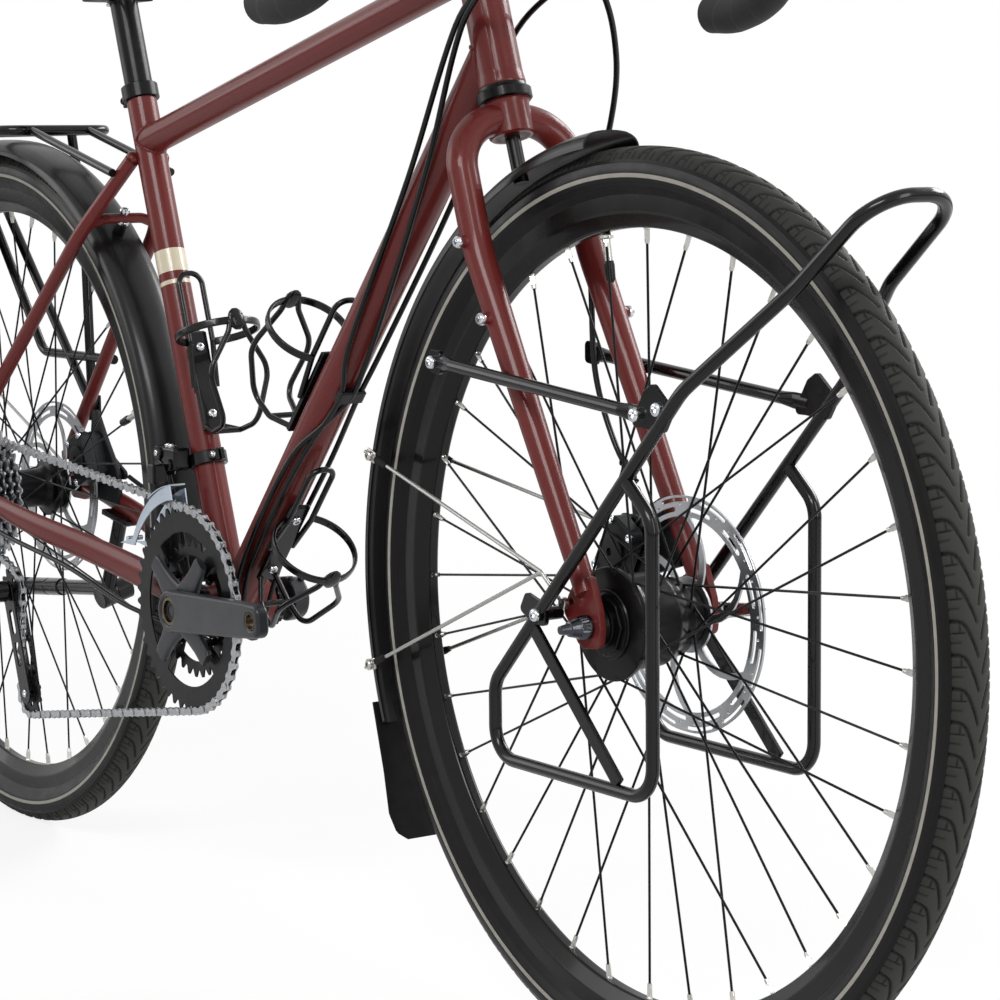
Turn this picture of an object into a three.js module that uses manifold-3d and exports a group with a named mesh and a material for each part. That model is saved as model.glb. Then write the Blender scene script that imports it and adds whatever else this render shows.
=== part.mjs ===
// Touring bicycle in millimetres: X forward, Y to the rider's left, Z up from the ground.
// The pieces are laid out from the rear axle; the last group shifts the middle of the length to X = 0.
import * as THREE from "three";
import { mergeVertices } from "three/addons/utils/BufferGeometryUtils.js";
import Module from "manifold-3d";

const wasm = await Module();
wasm.setup();

// Driving sizes of the layout
const wheelRadius = 349;
const wheelbase = 1077;
const tyreToBracket = 109;
const bottomBracketDrop = 66;
const seatAngle = 71.1;
const headAngle = 71.5;
const forkRake = 48;
const crownHeight = 420;
const headTubeLength = 125;
const seatTubeLength = 490;
const jointDrop = 41;
const postShown = 178;
const postInsert = 150;
const clearance = 0.3;
const runningGap = 0.7;
const overrun = 5;

// Wheels
const tyreWidth = 38;
const rimFlangeRadius = 317;
const rimSeatRadius = 309.2;
const rimInnerRadius = 289.5;
const rimWidth = 23;
const rimWall = 2.5;
const rimNoseWidth = 10;
const rimShoulderRadius = 301;
const spokeCount = 36;
const spokeRadius = 1.1;
const spokeStagger = 1.8;
const spokeWrap = 60;
const wheelSegments = 32;
const hubSegments = 14;
const rotorRadius = 90;
const rotorBand = 15;
const rotorHubRadius = 24;
const rotorThickness = 2;
const rotorBore = 19;
const rotorArms = 5;
const rotorArmWidth = 7;
const rotorArmSweep = 22;
const rotorSteps = 26;
const axleRadius = 5;

// Hubs: radii and places along the axle, the drive side negative
const frontDropoutWidth = 100;
const rearDropoutWidth = 135;
const frontHub = {
  flangeRadius: 42.5, flangeRight: -34, flangeThick: 4, drumRadius: 36, farRadius: 30, flangeLeft: 20,
  rotorSeat: 36, endRadius: 9, endStep: 16, stepRadius: 14, leadFirst: 1,
};
const rearHub = {
  flangeRadius: 30, flangeRight: -19, flangeThick: 4, drumRadius: 20, farRadius: 30, flangeLeft: 32,
  rotorSeat: 43.5, endRadius: 9, endStep: 44.5, stepRadius: 14, leadFirst: 1,
};
const skewerHead = 9;
const skewerNutLength = 17;
const skewerTipLength = 8;
const quickLever = { length: 50, width: 13, thick: 5, barrel: 6, head: 7 };

// Frame tubes
const seatTubeRadius = 14.3;
const seatPostRadius = 13.2;
const downTubeRadius = 17.5;
const topTubeRadius = 14.3;
const headTubeRadius = 18;
const headCupRadius = 22;
const headCupHeight = 12;
const steererRadius = 14.3;
const downTubeLift = 32;
const topTubeDrop = 24;
const shellRadius = 21;
const shellHalf = 34;
const spindleRadius = 12;
const spindleGap = 0.8;
const bottomCupRadius = 23;
const bottomCupLength = 8;
const stay = {
  frontSide: 26, rearSide: 64.5, frontWide: 8, frontTall: 15, rearWide: 5.5, rearTall: 9,
  midShare: 0.4, midSide: 40, bulgeShare: 0.72, bulgeSide: 59.5, startBack: 4, endRun: 28,
};
const seatstay = {
  radius: 7, topSide: 15, topBack: 9, kneeBack: 64, kneeDrop: 70, kneeSide: 40,
  footBack: 14, footSide: 64, footRise: 24, topDrop: 16,
};
const bridge = { radius: 5, rise: 9, above: 8 };
const dropout = { thick: 5, reach: 34, round: 15, hangerDrop: 32, hangerBack: 9 };
const seatClamp = { height: 14, wall: 4, earWidth: 12, earReach: 12, slot: 3 };

// Fork
const blade = {
  topRadius: 12.6, midRadius: 11.3, endRadius: 8.6, side: 53, archRadius: 42, archDrop: 14,
  bendHeight: 302, bendRadius: 160, endForward: 8, endRise: 24,
};
const forkTip = { thick: 6, width: 26, round: 15, slot: 10.8, eyeletBack: 24, eyeletRise: 8 };
const forkBoss = { radius: 4.5, length: 4.5, upper: 278, lower: 221, headRadius: 5.2, headHeight: 4 };

// Handlebar, stem and levers
const stem = {
  length: 90, rise: 12.5, clampHeight: 40, clampRadius: 19, arm: 15, barClamp: 21,
  barClampWidth: 44, gapUnder: 22, spacerRadius: 18, capHeight: 4,
};
const bar = {
  radius: 12.7, tapeRadius: 16.2, half: 212, flare: 8, bulge: 15.9, taper: 58,
  tapeStart: 88, cornerBack: 46, reach: 78, drop: 128, hookRadius: 58, tail: 34,
};
const hood = { length: 92, width: 30, height: 36, nose: 30, rise: 30, tilt: 14 };
const brakeLever = { length: 108, width: 13, thick: 8, pivotDown: 4, curl: 22 };
const paddle = { length: 42, width: 20, thick: 3.5, back: 9.2, down: 30, lean: -80 };

// Mudguards
const guard = {
  crest: 364, edge: 350, half: 26.4, shoulderHalf: 14, wall: 1.6, step: 13,
  stayRadius: 1.8, clip: 7, clipOut: 5, eyeRadius: 3.5, postRadius: 6, crownDrop: 37,
};
const mudflap = { angle: 199, run: 118, wide: 31, thick: 2.5, kick: 2 };
const flapShares = [[0, 0.84], [0.5, 0.9], [0.8, 1], [0.94, 0.86], [1, 0.55]];
const frontGuard = { startAngle: 201, endAngle: 97, upperStay: 164, lowerStay: 193 };
const rearGuard = { startAngle: -8, endAngle: 196, upperStay: 150, lowerStay: 178 };

// Low front rack, places from the front axle
const lowRack = {
  tube: 5, side: 74.5, frontX: 101, bottomZ: -109, rearX: -93, kneeZ: -52, joinX: 73,
  joinZ: 114, shoulderX: 135, shoulderZ: 182, narrowX: 215, narrowZ: 254, narrowSide: 42,
  topX: 289, topZ: 315, topSide: 37, bend: 24, hoopBend: 34,
  barRearX: -168, barRearZ: 186, barFrontX: 88, barFrontZ: 163, barSide: 74.5,
  braceTopX: -44, braceTopZ: -2, braceLowX: 62, braceLowZ: -104, braceWide: 11, braceThick: 4,
  plate: 4, boltRadius: 5, eyeX: -33, eyeZ: 7, standX: -86, standZ: 178.6, standInner: 65,
  bracket: [[78, 154], [92, 154], [116, 152], [126, 168], [104, 186], [94, 180]],
  lowTab: [[-41, -1], [-25, -1], [-25, 15], [-50, 22], [-58, 8]],
  rearTab: [[-176, 178], [-160, 176], [-160, 194], [-176, 196]],
};

// Rear rack, places from the rear axle
const rack = {
  tube: 5, side: 65, deckHeight: 372, deckFront: 118, deckRear: -265, deckHalf: 58,
  footX: 34, footZ: 84, railZ: 137, railFront: 86, railRear: -78, legX: 26, rearLegX: -205,
  bend: 22, footWide: 36, footTall: 28, footThick: 3, crossPlaces: 3, armRadius: 4, armHoldShare: 0.2,
};

// Drivetrain
const pitch = 12.7;
const ringTeeth = 46;
const smallRingTeeth = 30;
const sprocketTeeth = [32, 28, 24, 21, 18, 16, 14, 12, 11];
const chainSprocket = 1;
const pulleyTeeth = 11;
const ringPlace = 49.5;
const ringSpacing = 8;
const toothThick = 1.8;
const toothTip = 2.4;
const toothRoot = 4.2;
const toothHalfShare = 0.22;
const sprocketSpacing = 4.3;
const cassettePlace = 28.5;
const cassetteSpacerRadius = 17.4;
const freehubStart = -23.4;
const chainWidth = 6.1;
const chainHeight = 7.6;
const chainWindow = 4.7;
const chainRoller = 4.8;
const chainLinks = 120;
const ringBoltRadius = 55;
const smallRingBoltRadius = 42;
const ringTabWidth = 13;
const ringBand = 11;
const crank = {
  length: 170.5, angle: 4.6, hubRadius: 21, tipRadius: 15, wide: 17, wideTip: 14,
  thick: 12, inner: 58, flare: 12, pedalHole: 7, spiderArm: 9, spiderThick: 6, clampSlot: 3,
  postRadius: 3.5,
};
const pulley = { guideX: 46, guideZ: -99, tensionX: 76, tensionZ: -203, bore: 2.8, pin: 2.4 };
const cage = { thick: 2.4, gap: 4.4, round: 11, slotWide: 9, slotLong: 26 };
const derailleur = { hangerX: -9, hangerZ: -32, knuckle: 11, knuckleLong: 16, linkThick: 9, linkWide: 22 };
const frontChanger = {
  height: 138, band: 12, wall: 3.5, bodyLong: 40, bodyTall: 26, bodyThick: 20,
};
const changerCage = {
  outerRadius: 99.5, innerRadius: 84, startAngle: 96, endAngle: 150, noseX: -11, topZ: 116, tailTopX: -74,
  tailX: -112, tailHighZ: 74, tailLean: 8, tailLowZ: 48, outerY: -55, innerY: -41, thick: 1.5, padY: -30,
};

// Disc calipers
const caliper = {
  long: 52, tall: 34, wide: 30, slot: 4.4, round: 9, armLong: 44, armWide: 10, armThick: 4, tie: 6,
  frontTie: [[-78, 66], [-41, 86], [-18, 34], [-58, 22]],
  rearTie: [[52, 22], [66, 92], [88, 60], [118, 22], [118, -12], [66, -8]],
};
const frontCaliperAngle = 151;
const rearCaliperAngle = 25;
const caliperReach = 80;

// Kickstand
const kickstand = {
  mountX: 118, plateLong: 54, plateWide: 18, plateThick: 6, pivotX: 92, pivotZ: -104, pivotSide: 60,
  mountSide: 57, stayHalf: 10, toe: 0.034, splay: 0.962, lift: 0.28,
  legRadius: 8, footRadius: 9.5, footShare: 0.42, length: 238, sag: 6, boss: 12, bossWide: 18, neck: 15,
};

// Bottle cages, in the cage's own frame: X away from the tube, Z along it
const bottle = {
  wire: 2.6, sides: 4, radius: 38, plateLong: 96, plateWide: 20, plateThick: 5, standOff: 4, ringHeight: 84,
  loopTop: 150, loopHalf: 12, loopOut: 14, bandTall: 7, bandThick: 3, floor: -6, footReach: 62, footHalf: 14,
  bossRadius: 5, bossGap: 64, wireSpread: 58, footBend: 8, ringSteps: 8,
};
const seatCagePlace = 160;
const downCagePlace = 205;
const underCagePlace = 62;

// Cables
const cableRadius = 2.6;
const cableSides = 4;
const cableRun = {
  tapeForward: 14, tapeSide: 78, tapeDrop: 14, loopForward: 62, loopSide: 58, loopDrop: 70, passForward: 20,
  passSide: 30, passDrop: 70, sideRun: 520, clipRun: 292, clipLong: 14, clipWide: 26, clipHigh: 7,
    clipLean: 24,
  cageRun: 214, lowRun: 66,
  shellFront: 20, apart: 9, steps: 30,
  rightStay: [[330, -44, -80], [230, -58, -52], [110, -72, -30], [10, -84, -6], [-52, -86, -40],
    [-20, -84, -78]],
  changer: [[412, -12, -84], [394, -14, -50], [384, -17, 0], [380, -26, 50]],
  leftStay: [[414, 46, -84], [360, 58, -60], [240, 70, -32], [166, 73, 0], [126.5, 63, 19.5]],
  frontBrake: [
    [-70, -50, 520], [-72, 10, 470], [-100, 48, 420], [-140, 72, 365], [-168, 69, 300], [-150, 60, 240],
    [-136, 54, 170], [-113, 55, 119], [-87.4, 55, 89.9],
  ],
};

// Saddle
const saddle = {
  length: 272, halfWidth: 76, noseHalf: 19, height: 42, crown: 9, kick: 12, rings: 13, sides: 10,
  back: 118, railRadius: 3.5, railHalf: 22, railDrop: 26, clampLong: 38, clampWide: 58, clampTall: 17, dip: 8,
  railNoseShare: 0.82, railFrontShare: 0.66, railBackShare: 0.26, railTailShare: 0.14, railEmbed: 12,
};

// Basic vectors and lines of the layout
const rad = THREE.MathUtils.degToRad;
const at = (x, y, z) => new THREE.Vector3(x, y, z);
const along = (from, direction, run) => from.clone().addScaledVector(direction, run);
const inPlane = (angle) => at(Math.cos(rad(angle)), 0, Math.sin(rad(angle)));
const leftward = at(0, 1, 0);
const rearAxle = at(0, 0, wheelRadius);
const frontAxle = at(wheelbase, 0, wheelRadius);
const chainstayRun = wheelRadius + tyreToBracket;
const seatJoint = seatTubeLength - jointDrop;
const bridgeReach = guard.crest + bridge.above;
const saddleHeight = seatTubeLength + postShown;
const bottomBracket = at(Math.sqrt(chainstayRun ** 2 - bottomBracketDrop ** 2), 0,
  wheelRadius - bottomBracketDrop);
const steerUp = inPlane(180 - headAngle);
const steerForward = inPlane(90 - headAngle);
const steerFoot = along(frontAxle, steerForward, -forkRake);
const onSteer = (height) => along(steerFoot, steerUp, height);
const seatUp = inPlane(180 - seatAngle);
const onSeat = (height) => along(bottomBracket, seatUp, height);
const headBottom = crownHeight + headCupHeight + clearance;
const headTop = headBottom + headTubeLength;
const stemMiddle = headTop + headCupHeight + stem.gapUnder + stem.clampHeight / 2;
const steererEnd = stemMiddle + stem.clampHeight / 2 - runningGap;
const downTubeTop = onSteer(headBottom + downTubeLift);
const topTubeFront = onSteer(headTop - topTubeDrop);
const topTubeRear = onSeat(seatJoint);
const fromFront = (x, y, z) => at(x, y, z).add(frontAxle);
const fromRear = (x, y, z) => at(x, y, z).add(rearAxle);
const shift = (wheelbase + wheelRadius - guard.crest) / 2;

// Colours
const paint = (color, roughness,
  metalness) => new THREE.MeshStandardMaterial({ color, roughness, metalness });
const frameRed = paint(0x5e2a2a, 0.25, 0.3);
const satinBlack = paint(0x1b1c1f, 0.45, 0.3);
const guardBlack = paint(0x16171a, 0.4, 0);
const rubber = paint(0x202123, 0.85, 0);
const steel = paint(0xc4c6ca, 0.25, 1);
const darkAlloy = paint(0x4a4b50, 0.45, 0.7);
const anodised = paint(0x1d1e22, 0.4, 0.6);
const leather = paint(0x1c1a19, 0.7, 0);
const tapeBlack = paint(0x1a1a1b, 0.9, 0);

// Solids: a geometry becomes a closed solid and back
function solid(geometry) {
  if (geometry instanceof wasm.Manifold) return geometry;
  const bare = geometry.clone();
  bare.deleteAttribute("normal");
  bare.deleteAttribute("uv");
  const merged = mergeVertices(bare, 1e-3);
  return new wasm.Manifold(
    new wasm.Mesh({
      numProp: 3,
      vertProperties: new Float32Array(merged.attributes.position.array),
      triVerts: new Uint32Array(merged.index.array),
    }),
  );
}

function surface(manifold) {
  const made = manifold.getMesh();
  const geometry = new THREE.BufferGeometry();
  geometry.setAttribute("position", new THREE.BufferAttribute(new Float32Array(made.vertProperties), 3));
  geometry.setIndex(new THREE.BufferAttribute(new Uint32Array(made.triVerts), 1));
  return geometry;
}

// Radius of a many-sided tool whose flats stand the given distance from its axis
const across = (radius, sides) => radius / Math.cos(Math.PI / sides);
const join = (parts) => parts.map(solid).reduce((whole, next) => whole.add(next));
const carve = (body, tools) => tools.map(solid).reduce((whole, next) => whole.subtract(next), solid(body));

// Turns a closed surface so that its faces point out
function outward(geometry) {
  const place = geometry.attributes.position;
  const index = geometry.index.array;
  const [a, b, c] = [at(0, 0, 0), at(0, 0, 0), at(0, 0, 0)];
  let volume = 0;
  for (let i = 0; i < index.length; i += 3) {
    a.fromBufferAttribute(place, index[i]);
    b.fromBufferAttribute(place, index[i + 1]);
    c.fromBufferAttribute(place, index[i + 2]);
    volume += a.dot(b.cross(c));
  }
  if (volume < 0)
    for (let i = 0; i < index.length; i += 3) [index[i + 1], index[i + 2]] = [index[i + 2], index[i + 1]];
  return geometry;
}

// Triangles that fill an outline, turning the same way as its points
function capFaces(outline) {
  const faces = THREE.ShapeUtils.triangulateShape(outline, []);
  return THREE.ShapeUtils.isClockWise(outline) ? faces.map(([a, b, c]) => [a, c, b]) : faces;
}

// Closed surface through rings of equal count; open ends get flat caps cut from the flat outline given
function loft(rings, closed, capStart, capEnd = capStart) {
  const sides = rings[0].length;
  const positions = rings.flat().flatMap((p) => [p.x, p.y, p.z]);
  const index = [];
  const last = closed ? rings.length : rings.length - 1;
  for (let i = 0; i < last; i++)
    for (let j = 0; j < sides; j++) {
      const next = ((i + 1) % rings.length) * sides;
      const k = (j + 1) % sides;
      index.push(i * sides + j, i * sides + k, next + j, i * sides + k, next + k, next + j);
    }
  if (!closed) {
    const end = (rings.length - 1) * sides;
    for (const [p, q, r] of capFaces(capStart)) index.push(p, r, q);
    for (const [p, q, r] of capFaces(capEnd)) index.push(end + p, end + q, end + r);
  }
  const geometry = new THREE.BufferGeometry();
  geometry.setAttribute("position", new THREE.BufferAttribute(new Float32Array(positions), 3));
  geometry.setIndex(new THREE.BufferAttribute(new Uint32Array(index), 1));
  return outward(geometry);
}

// Sweeps an outline along points; the outline's first axis starts towards the given side
function sweep(points, outlineAt, closed = false, first = leftward) {
  let side = first.clone();
  const outlines = [];
  const rings = points.map((point, i) => {
    const before = points[closed ? (i + points.length - 1) % points.length : Math.max(i - 1, 0)];
    const after = points[closed ? (i + 1) % points.length : Math.min(i + 1, points.length - 1)];
    const ahead = after.clone().sub(before).normalize();
    side = side.clone().addScaledVector(ahead, -side.dot(ahead)).normalize();
    const up = ahead.clone().cross(side);
    const outline = outlineAt(i / (points.length - 1), i);
    outlines.push(outline);
    return outline.map((o) => point.clone().addScaledVector(side, o.x).addScaledVector(up, o.y));
  });
  return loft(rings, closed, outlines[0], outlines[outlines.length - 1]);
}

const oval = (wide, tall, sides) =>
  Array.from({ length: sides }, (_, i) => {
    const turn = (2 * Math.PI * (i + 0.5)) / sides;
    return new THREE.Vector2(wide * Math.cos(turn), tall * Math.sin(turn));
  });
const block = (wide, tall) =>
  [[-1, -1], [1, -1], [1, 1], [-1, 1]].map(([u, v]) => new THREE.Vector2((u * wide) / 2, (v * tall) / 2));

// Points along straight runs with round bends
function route(corners, bends, closed = false, turnStep = 24) {
  const points = [];
  corners.forEach((corner, i) => {
    const bend = Array.isArray(bends) ? bends[i] : bends;
    if (!closed && (i === 0 || i === corners.length - 1)) return points.push(corner.clone());
    if (!bend) return points.push(corner.clone());
    const back = corners[(i + corners.length - 1) % corners.length].clone().sub(corner).normalize();
    const ahead = corners[(i + 1) % corners.length].clone().sub(corner).normalize();
    const turn = Math.PI - back.angleTo(ahead);
    if (turn < 0.02) return points.push(corner.clone());
    const trim = bend * Math.tan(turn / 2);
    const middle = back.clone().add(ahead).normalize();
    const centre = along(corner, middle, bend / Math.cos(turn / 2));
    const from = along(corner, back, trim).sub(centre);
    const axis = from.clone().cross(along(corner, ahead, trim).sub(centre)).normalize();
    const steps = Math.max(1, Math.round(turn / rad(turnStep)));
    for (let k = 0; k <= steps; k++)
      points.push(from.clone().applyAxisAngle(axis, (turn * k) / steps).add(centre));
  });
  return points;
}

const pipe = (points, radius, sides = 8, closed = false, first = leftward) =>
  sweep(points, () => oval(radius, radius, sides), closed, first);
const smooth = (points, steps) => new THREE.CatmullRomCurve3(points, false,
  "centripetal").getSpacedPoints(steps);

// Straight round bar between two points
function rod(from, to, radius, sides = 12, endRadius = radius) {
  const run = to.clone().sub(from);
  const geometry = new THREE.CylinderGeometry(endRadius, radius, run.length(), sides);
  geometry.applyQuaternion(new THREE.Quaternion().setFromUnitVectors(at(0, 1, 0), run.clone().normalize()));
  return geometry.translate(...from.clone().add(to).multiplyScalar(1 / 2).toArray());
}

// Box with its length along one direction and its width along another
function slab(centre, lengthway, widthway, long, wide, thick) {
  const x = lengthway.clone().normalize();
  const y = widthway.clone().addScaledVector(x, -widthway.dot(x)).normalize();
  const turn = new THREE.Matrix4().makeBasis(x, y, x.clone().cross(y)).setPosition(centre);
  return new THREE.BoxGeometry(long, wide, thick).applyMatrix4(turn);
}

// Plate with its outline in the X-Z plane, between two places across the bicycle
function plate(points, fromY, toY) {
  const shape = new THREE.Shape(points.map((p) => new THREE.Vector2(p.x, p.z)));
  const geometry = new THREE.ExtrudeGeometry(shape, { depth: Math.abs(toY - fromY), bevelEnabled: false });
  geometry.rotateX(Math.PI / 2);
  return geometry.translate(0, Math.max(fromY, toY), 0);
}

// Outline round two circles, such as a crank arm's or a cage plate's
function strapOutline(a, radiusA, b, radiusB, steps = 5) {
  const direction = Math.atan2(b.z - a.z, b.x - a.x);
  const arc = (centre, radius, start) =>
    Array.from({ length: steps + 1 }, (_, i) => {
      const turn = start + (Math.PI * i) / steps;
      return at(centre.x + radius * Math.cos(turn), 0, centre.z + radius * Math.sin(turn));
    });
  return [...arc(a, radiusA, direction + Math.PI / 2), ...arc(b, radiusB, direction - Math.PI / 2)];
}

const acrossY = (centre, fromY, toY, radius, sides = 12, endRadius = radius) =>
  rod(at(centre.x, fromY, centre.z), at(centre.x, toY, centre.z), radius, sides, endRadius);

const bicycle = new THREE.Group();
function add(name, geometry, material, group = bicycle) {
  const mesh = new THREE.Mesh(surface(solid(geometry)), material);
  mesh.name = name;
  group.add(mesh);
  return mesh;
}

// Tyre: the bead sits in the rim's channel and the casing swells over its flanges
function tyre() {
  const half = tyreWidth / 2;
  const centre = wheelRadius - half;
  const bead = rimWidth / 2 - rimWall - clearance;
  const neck = rimFlangeRadius + 2 * clearance;
  const widest = Math.acos((neck - centre) / half);
  const arcPoints = 5;
  const casing = Array.from({ length: arcPoints }, (_, i) => {
    const turn = widest - (2 * widest * i) / (arcPoints - 1);
    return new THREE.Vector2(centre + half * Math.cos(turn), half * Math.sin(turn));
  });
  const foot = rimSeatRadius + clearance;
  const profile = [
    new THREE.Vector2(foot, -bead), new THREE.Vector2(foot, bead), new THREE.Vector2(neck, bead),
    ...casing, new THREE.Vector2(neck, -bead), new THREE.Vector2(foot, -bead),
  ];
  return wheelLathe(profile, wheelSegments);
}

function wheelLathe(profile, segments) {
  const geometry = new THREE.LatheGeometry(profile, segments);
  geometry.rotateY(Math.PI / 2);
  geometry.deleteAttribute("uv");
  geometry.deleteAttribute("normal");
  return outward(mergeVertices(geometry, 1e-3));
}

// Rim with a deep nose, side walls and the channel that holds the tyre
function rim() {
  const half = rimWidth / 2;
  const right = [
    [rimInnerRadius, rimNoseWidth / 2], [rimShoulderRadius, half], [rimFlangeRadius, half],
      [rimSeatRadius, half - rimWall],
  ];
  const profile = [
    ...right.map(([r, y]) => new THREE.Vector2(r, y)),
    ...right.slice().reverse().map(([r, y]) => new THREE.Vector2(r, -y)),
  ];
  return wheelLathe([...profile, profile[0]], wheelSegments);
}

// Spokes of both sides, laced so that each crosses its neighbours of the same flange
function spokes(hub) {
  const reach = rimInnerRadius * Math.cos(Math.PI / wheelSegments) - 2 * clearance;
  const bars = [];
  for (let i = 0; i < spokeCount; i++) {
    const rimAngle = (360 * i) / spokeCount;
    const isRight = i % 2 === 0;
    const lead = Math.floor(i / 2) % 2 === 0 ? hub.leadFirst : -hub.leadFirst;
    const flange = isRight ? hub.flangeRight : hub.flangeLeft;
    const holeRadius = (isRight ? hub.flangeRadius : hub.farRadius) - 3 * spokeRadius;
    const hole = inPlane(rimAngle + lead * spokeWrap).multiplyScalar(holeRadius);
    hole.y = flange + lead * spokeStagger;
    bars.push(rod(hole, inPlane(rimAngle).multiplyScalar(reach), spokeRadius, 3));
  }
  return bars;
}

// Hub shell: end, flange, drum, the other flange and the seat of the brake disc
function hubShell(hub, width) {
  const end = width / 2 - runningGap;
  const right = hub.endStep - end;
  const bore = axleRadius + runningGap;
  const thick = hub.flangeThick / 2;
  const points = [
    [bore, hub.endStep > end / 2 ? right : -end], [hub.endRadius, hub.endStep > end / 2 ? right : -end],
    [hub.stepRadius, right], [hub.drumRadius, hub.flangeRight - thick - runningGap],
    [hub.flangeRadius, hub.flangeRight - thick], [hub.flangeRadius, hub.flangeRight + thick],
    [hub.drumRadius, hub.flangeRight + 2 * thick], [hub.drumRadius, hub.flangeLeft - 2 * thick],
    [hub.farRadius, hub.flangeLeft - thick], [hub.farRadius, hub.flangeLeft + thick],
    [rotorHubRadius, hub.flangeLeft + 2 * thick], [rotorHubRadius, hub.rotorSeat],
    [rotorBore - runningGap, hub.rotorSeat], [rotorBore - runningGap, hub.rotorSeat + 2 * rotorThickness],
    [hub.endRadius, end], [bore, end],
  ];
  return wheelLathe([...points, points[0]].map(([r, y]) => new THREE.Vector2(r, y)), hubSegments);
}

// Brake disc: a band on swept arms
function rotor() {
  const ring = (radius, steps) =>
    Array.from({ length: steps }, (_, i) => {
      const turn = (2 * Math.PI * i) / steps;
      return new THREE.Vector2(radius * Math.cos(turn), radius * Math.sin(turn));
    });
  const disc = new THREE.Shape(ring(rotorRadius, rotorSteps));
  disc.holes.push(new THREE.Path(ring(rotorBore, hubSegments)));
  const inner = rotorHubRadius + rotorArmWidth / 2;
  const outer = rotorRadius - rotorBand;
  for (let i = 0; i < rotorArms; i++) {
    const start = (2 * Math.PI * i) / rotorArms;
    const end = start + (2 * Math.PI) / rotorArms;
    const lean = rad(rotorArmSweep);
    const far = rotorArmWidth / outer;
    const near = rotorArmWidth / inner;
    const corners = [
      ...[0, 1 / 3, 2 / 3, 1].map((share) => [outer,
        THREE.MathUtils.lerp(start + far / 2, end - far / 2, share) + lean]),
      [inner, end - near / 2], [inner, (start + end) / 2], [inner, start + near / 2],
    ];
    disc.holes.push(new THREE.Path(corners.map(([r, turn]) => new THREE.Vector2(r * Math.cos(turn),
      r * Math.sin(turn)))));
  }
  const geometry = new THREE.ExtrudeGeometry(disc, { depth: rotorThickness, bevelEnabled: false });
  return geometry.rotateX(Math.PI / 2);
}

function buildWheel(name, hub, width, centre) {
  const wheel = new THREE.Group();
  wheel.position.copy(centre);
  bicycle.add(wheel);
  add(name + "_tyre", tyre(), rubber, wheel);
  add(name + "_rim", rim(), anodised, wheel);
  add(name + "_hub_and_spokes", join([hubShell(hub, width), ...spokes(hub)]), anodised, wheel);
  const disc = add(name + "_brake_disc", rotor(), steel, wheel);
  disc.position.y = hub.rotorSeat + rotorThickness + clearance;
}

buildWheel("front", frontHub, frontDropoutWidth, frontAxle);
buildWheel("rear", rearHub, rearDropoutWidth, rearAxle);

// Axle with the skewer's domed nut on the right and, on the left, the head that its cam presses on
function skewer(centre, width, tipThick) {
  const outside = width / 2 + tipThick + clearance;
  const nutEnd = outside + skewerNutLength;
  return join([
    acrossY(centre, -nutEnd, outside + clearance, axleRadius - runningGap / 2, 10),
    acrossY(centre, -nutEnd, -outside, skewerHead * (2 / 3), 10, skewerHead),
    acrossY(centre, -nutEnd - skewerTipLength, -nutEnd + clearance, skewerHead / 3, 10, skewerHead / 2),
    acrossY(centre, outside, outside + quickLever.head, skewerHead, 10),
  ]);
}

// Quick-release lever: a cam barrel lying across the skewer, and the arm closed along the wheel
function leverArm(centre, width, tipThick, direction) {
  const root = centre.clone();
  root.y = width / 2 + tipThick + 2 * clearance + quickLever.head + quickLever.barrel;
  const reach = direction.clone().cross(leftward).normalize().multiplyScalar(quickLever.width / 2);
  const arm = sweep(
    [root, along(root, direction, quickLever.length / 2), along(root, direction, quickLever.length)],
    (share) => block(quickLever.thick, quickLever.width * (1 - share / 3)),
  );
  return join([rod(root.clone().sub(reach), root.clone().add(reach), quickLever.barrel, 12), arm]);
}

const frontLeverAngle = 8;
const rearLeverAngle = 200;
add("front_axle_skewer", skewer(frontAxle, frontDropoutWidth, forkTip.thick), steel);
add("front_quick_release_lever",
  leverArm(frontAxle, frontDropoutWidth, forkTip.thick, inPlane(frontLeverAngle)), steel);
add("rear_axle_skewer", skewer(rearAxle, rearDropoutWidth, dropout.thick), steel);
add("rear_quick_release_lever",
  leverArm(rearAxle, rearDropoutWidth, dropout.thick, inPlane(rearLeverAngle)), steel);

// Head tube with its pressed headset cups
function headTube() {
  const tube = [
    rod(onSteer(headBottom), onSteer(headTop), headTubeRadius, 16),
    rod(onSteer(headBottom - headCupHeight), onSteer(headBottom + clearance), headCupRadius, 16,
      headCupRadius),
    rod(onSteer(headTop - clearance), onSteer(headTop + headCupHeight), headCupRadius, 16, headTubeRadius),
  ];
  const bore = steererRadius + runningGap;
  return carve(join(tube), [rod(onSteer(headBottom - 2 * headCupHeight),
    onSteer(headTop + 2 * headCupHeight), bore, 16)]);
}
add("head_tube", headTube(), frameRed);

// Cutters: a neighbour's tube grown by the clearance
const headCutter = join([
  rod(onSteer(headBottom - headCupHeight), onSteer(headTop + headCupHeight),
    across(headTubeRadius + clearance, 16), 16),
  rod(onSteer(headBottom - 2 * headCupHeight), onSteer(headBottom + 2 * clearance),
    across(headCupRadius + clearance, 16), 16),
]);
const seatCutter = (grow) => rod(onSeat(-shellRadius), onSeat(seatTubeLength + overrun),
  seatTubeRadius + grow, 16);
const shellCutter = join([
  acrossY(bottomBracket, -shellHalf - clearance, shellHalf + clearance, across(shellRadius + clearance, 16),
    16),
  acrossY(bottomBracket, shellHalf - clearance, 2 * shellHalf, across(bottomCupRadius + clearance, 16), 16),
  acrossY(bottomBracket, -2 * shellHalf, clearance - shellHalf, across(bottomCupRadius + clearance, 16), 16),
]);
add(
  "down_tube",
  carve(rod(bottomBracket, downTubeTop, downTubeRadius, 14),
    [headCutter, shellCutter, seatCutter(clearance)]),
  frameRed,
);
add("top_tube", carve(rod(topTubeRear, topTubeFront, topTubeRadius, 14),
  [headCutter, seatCutter(clearance)]), frameRed);

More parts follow.
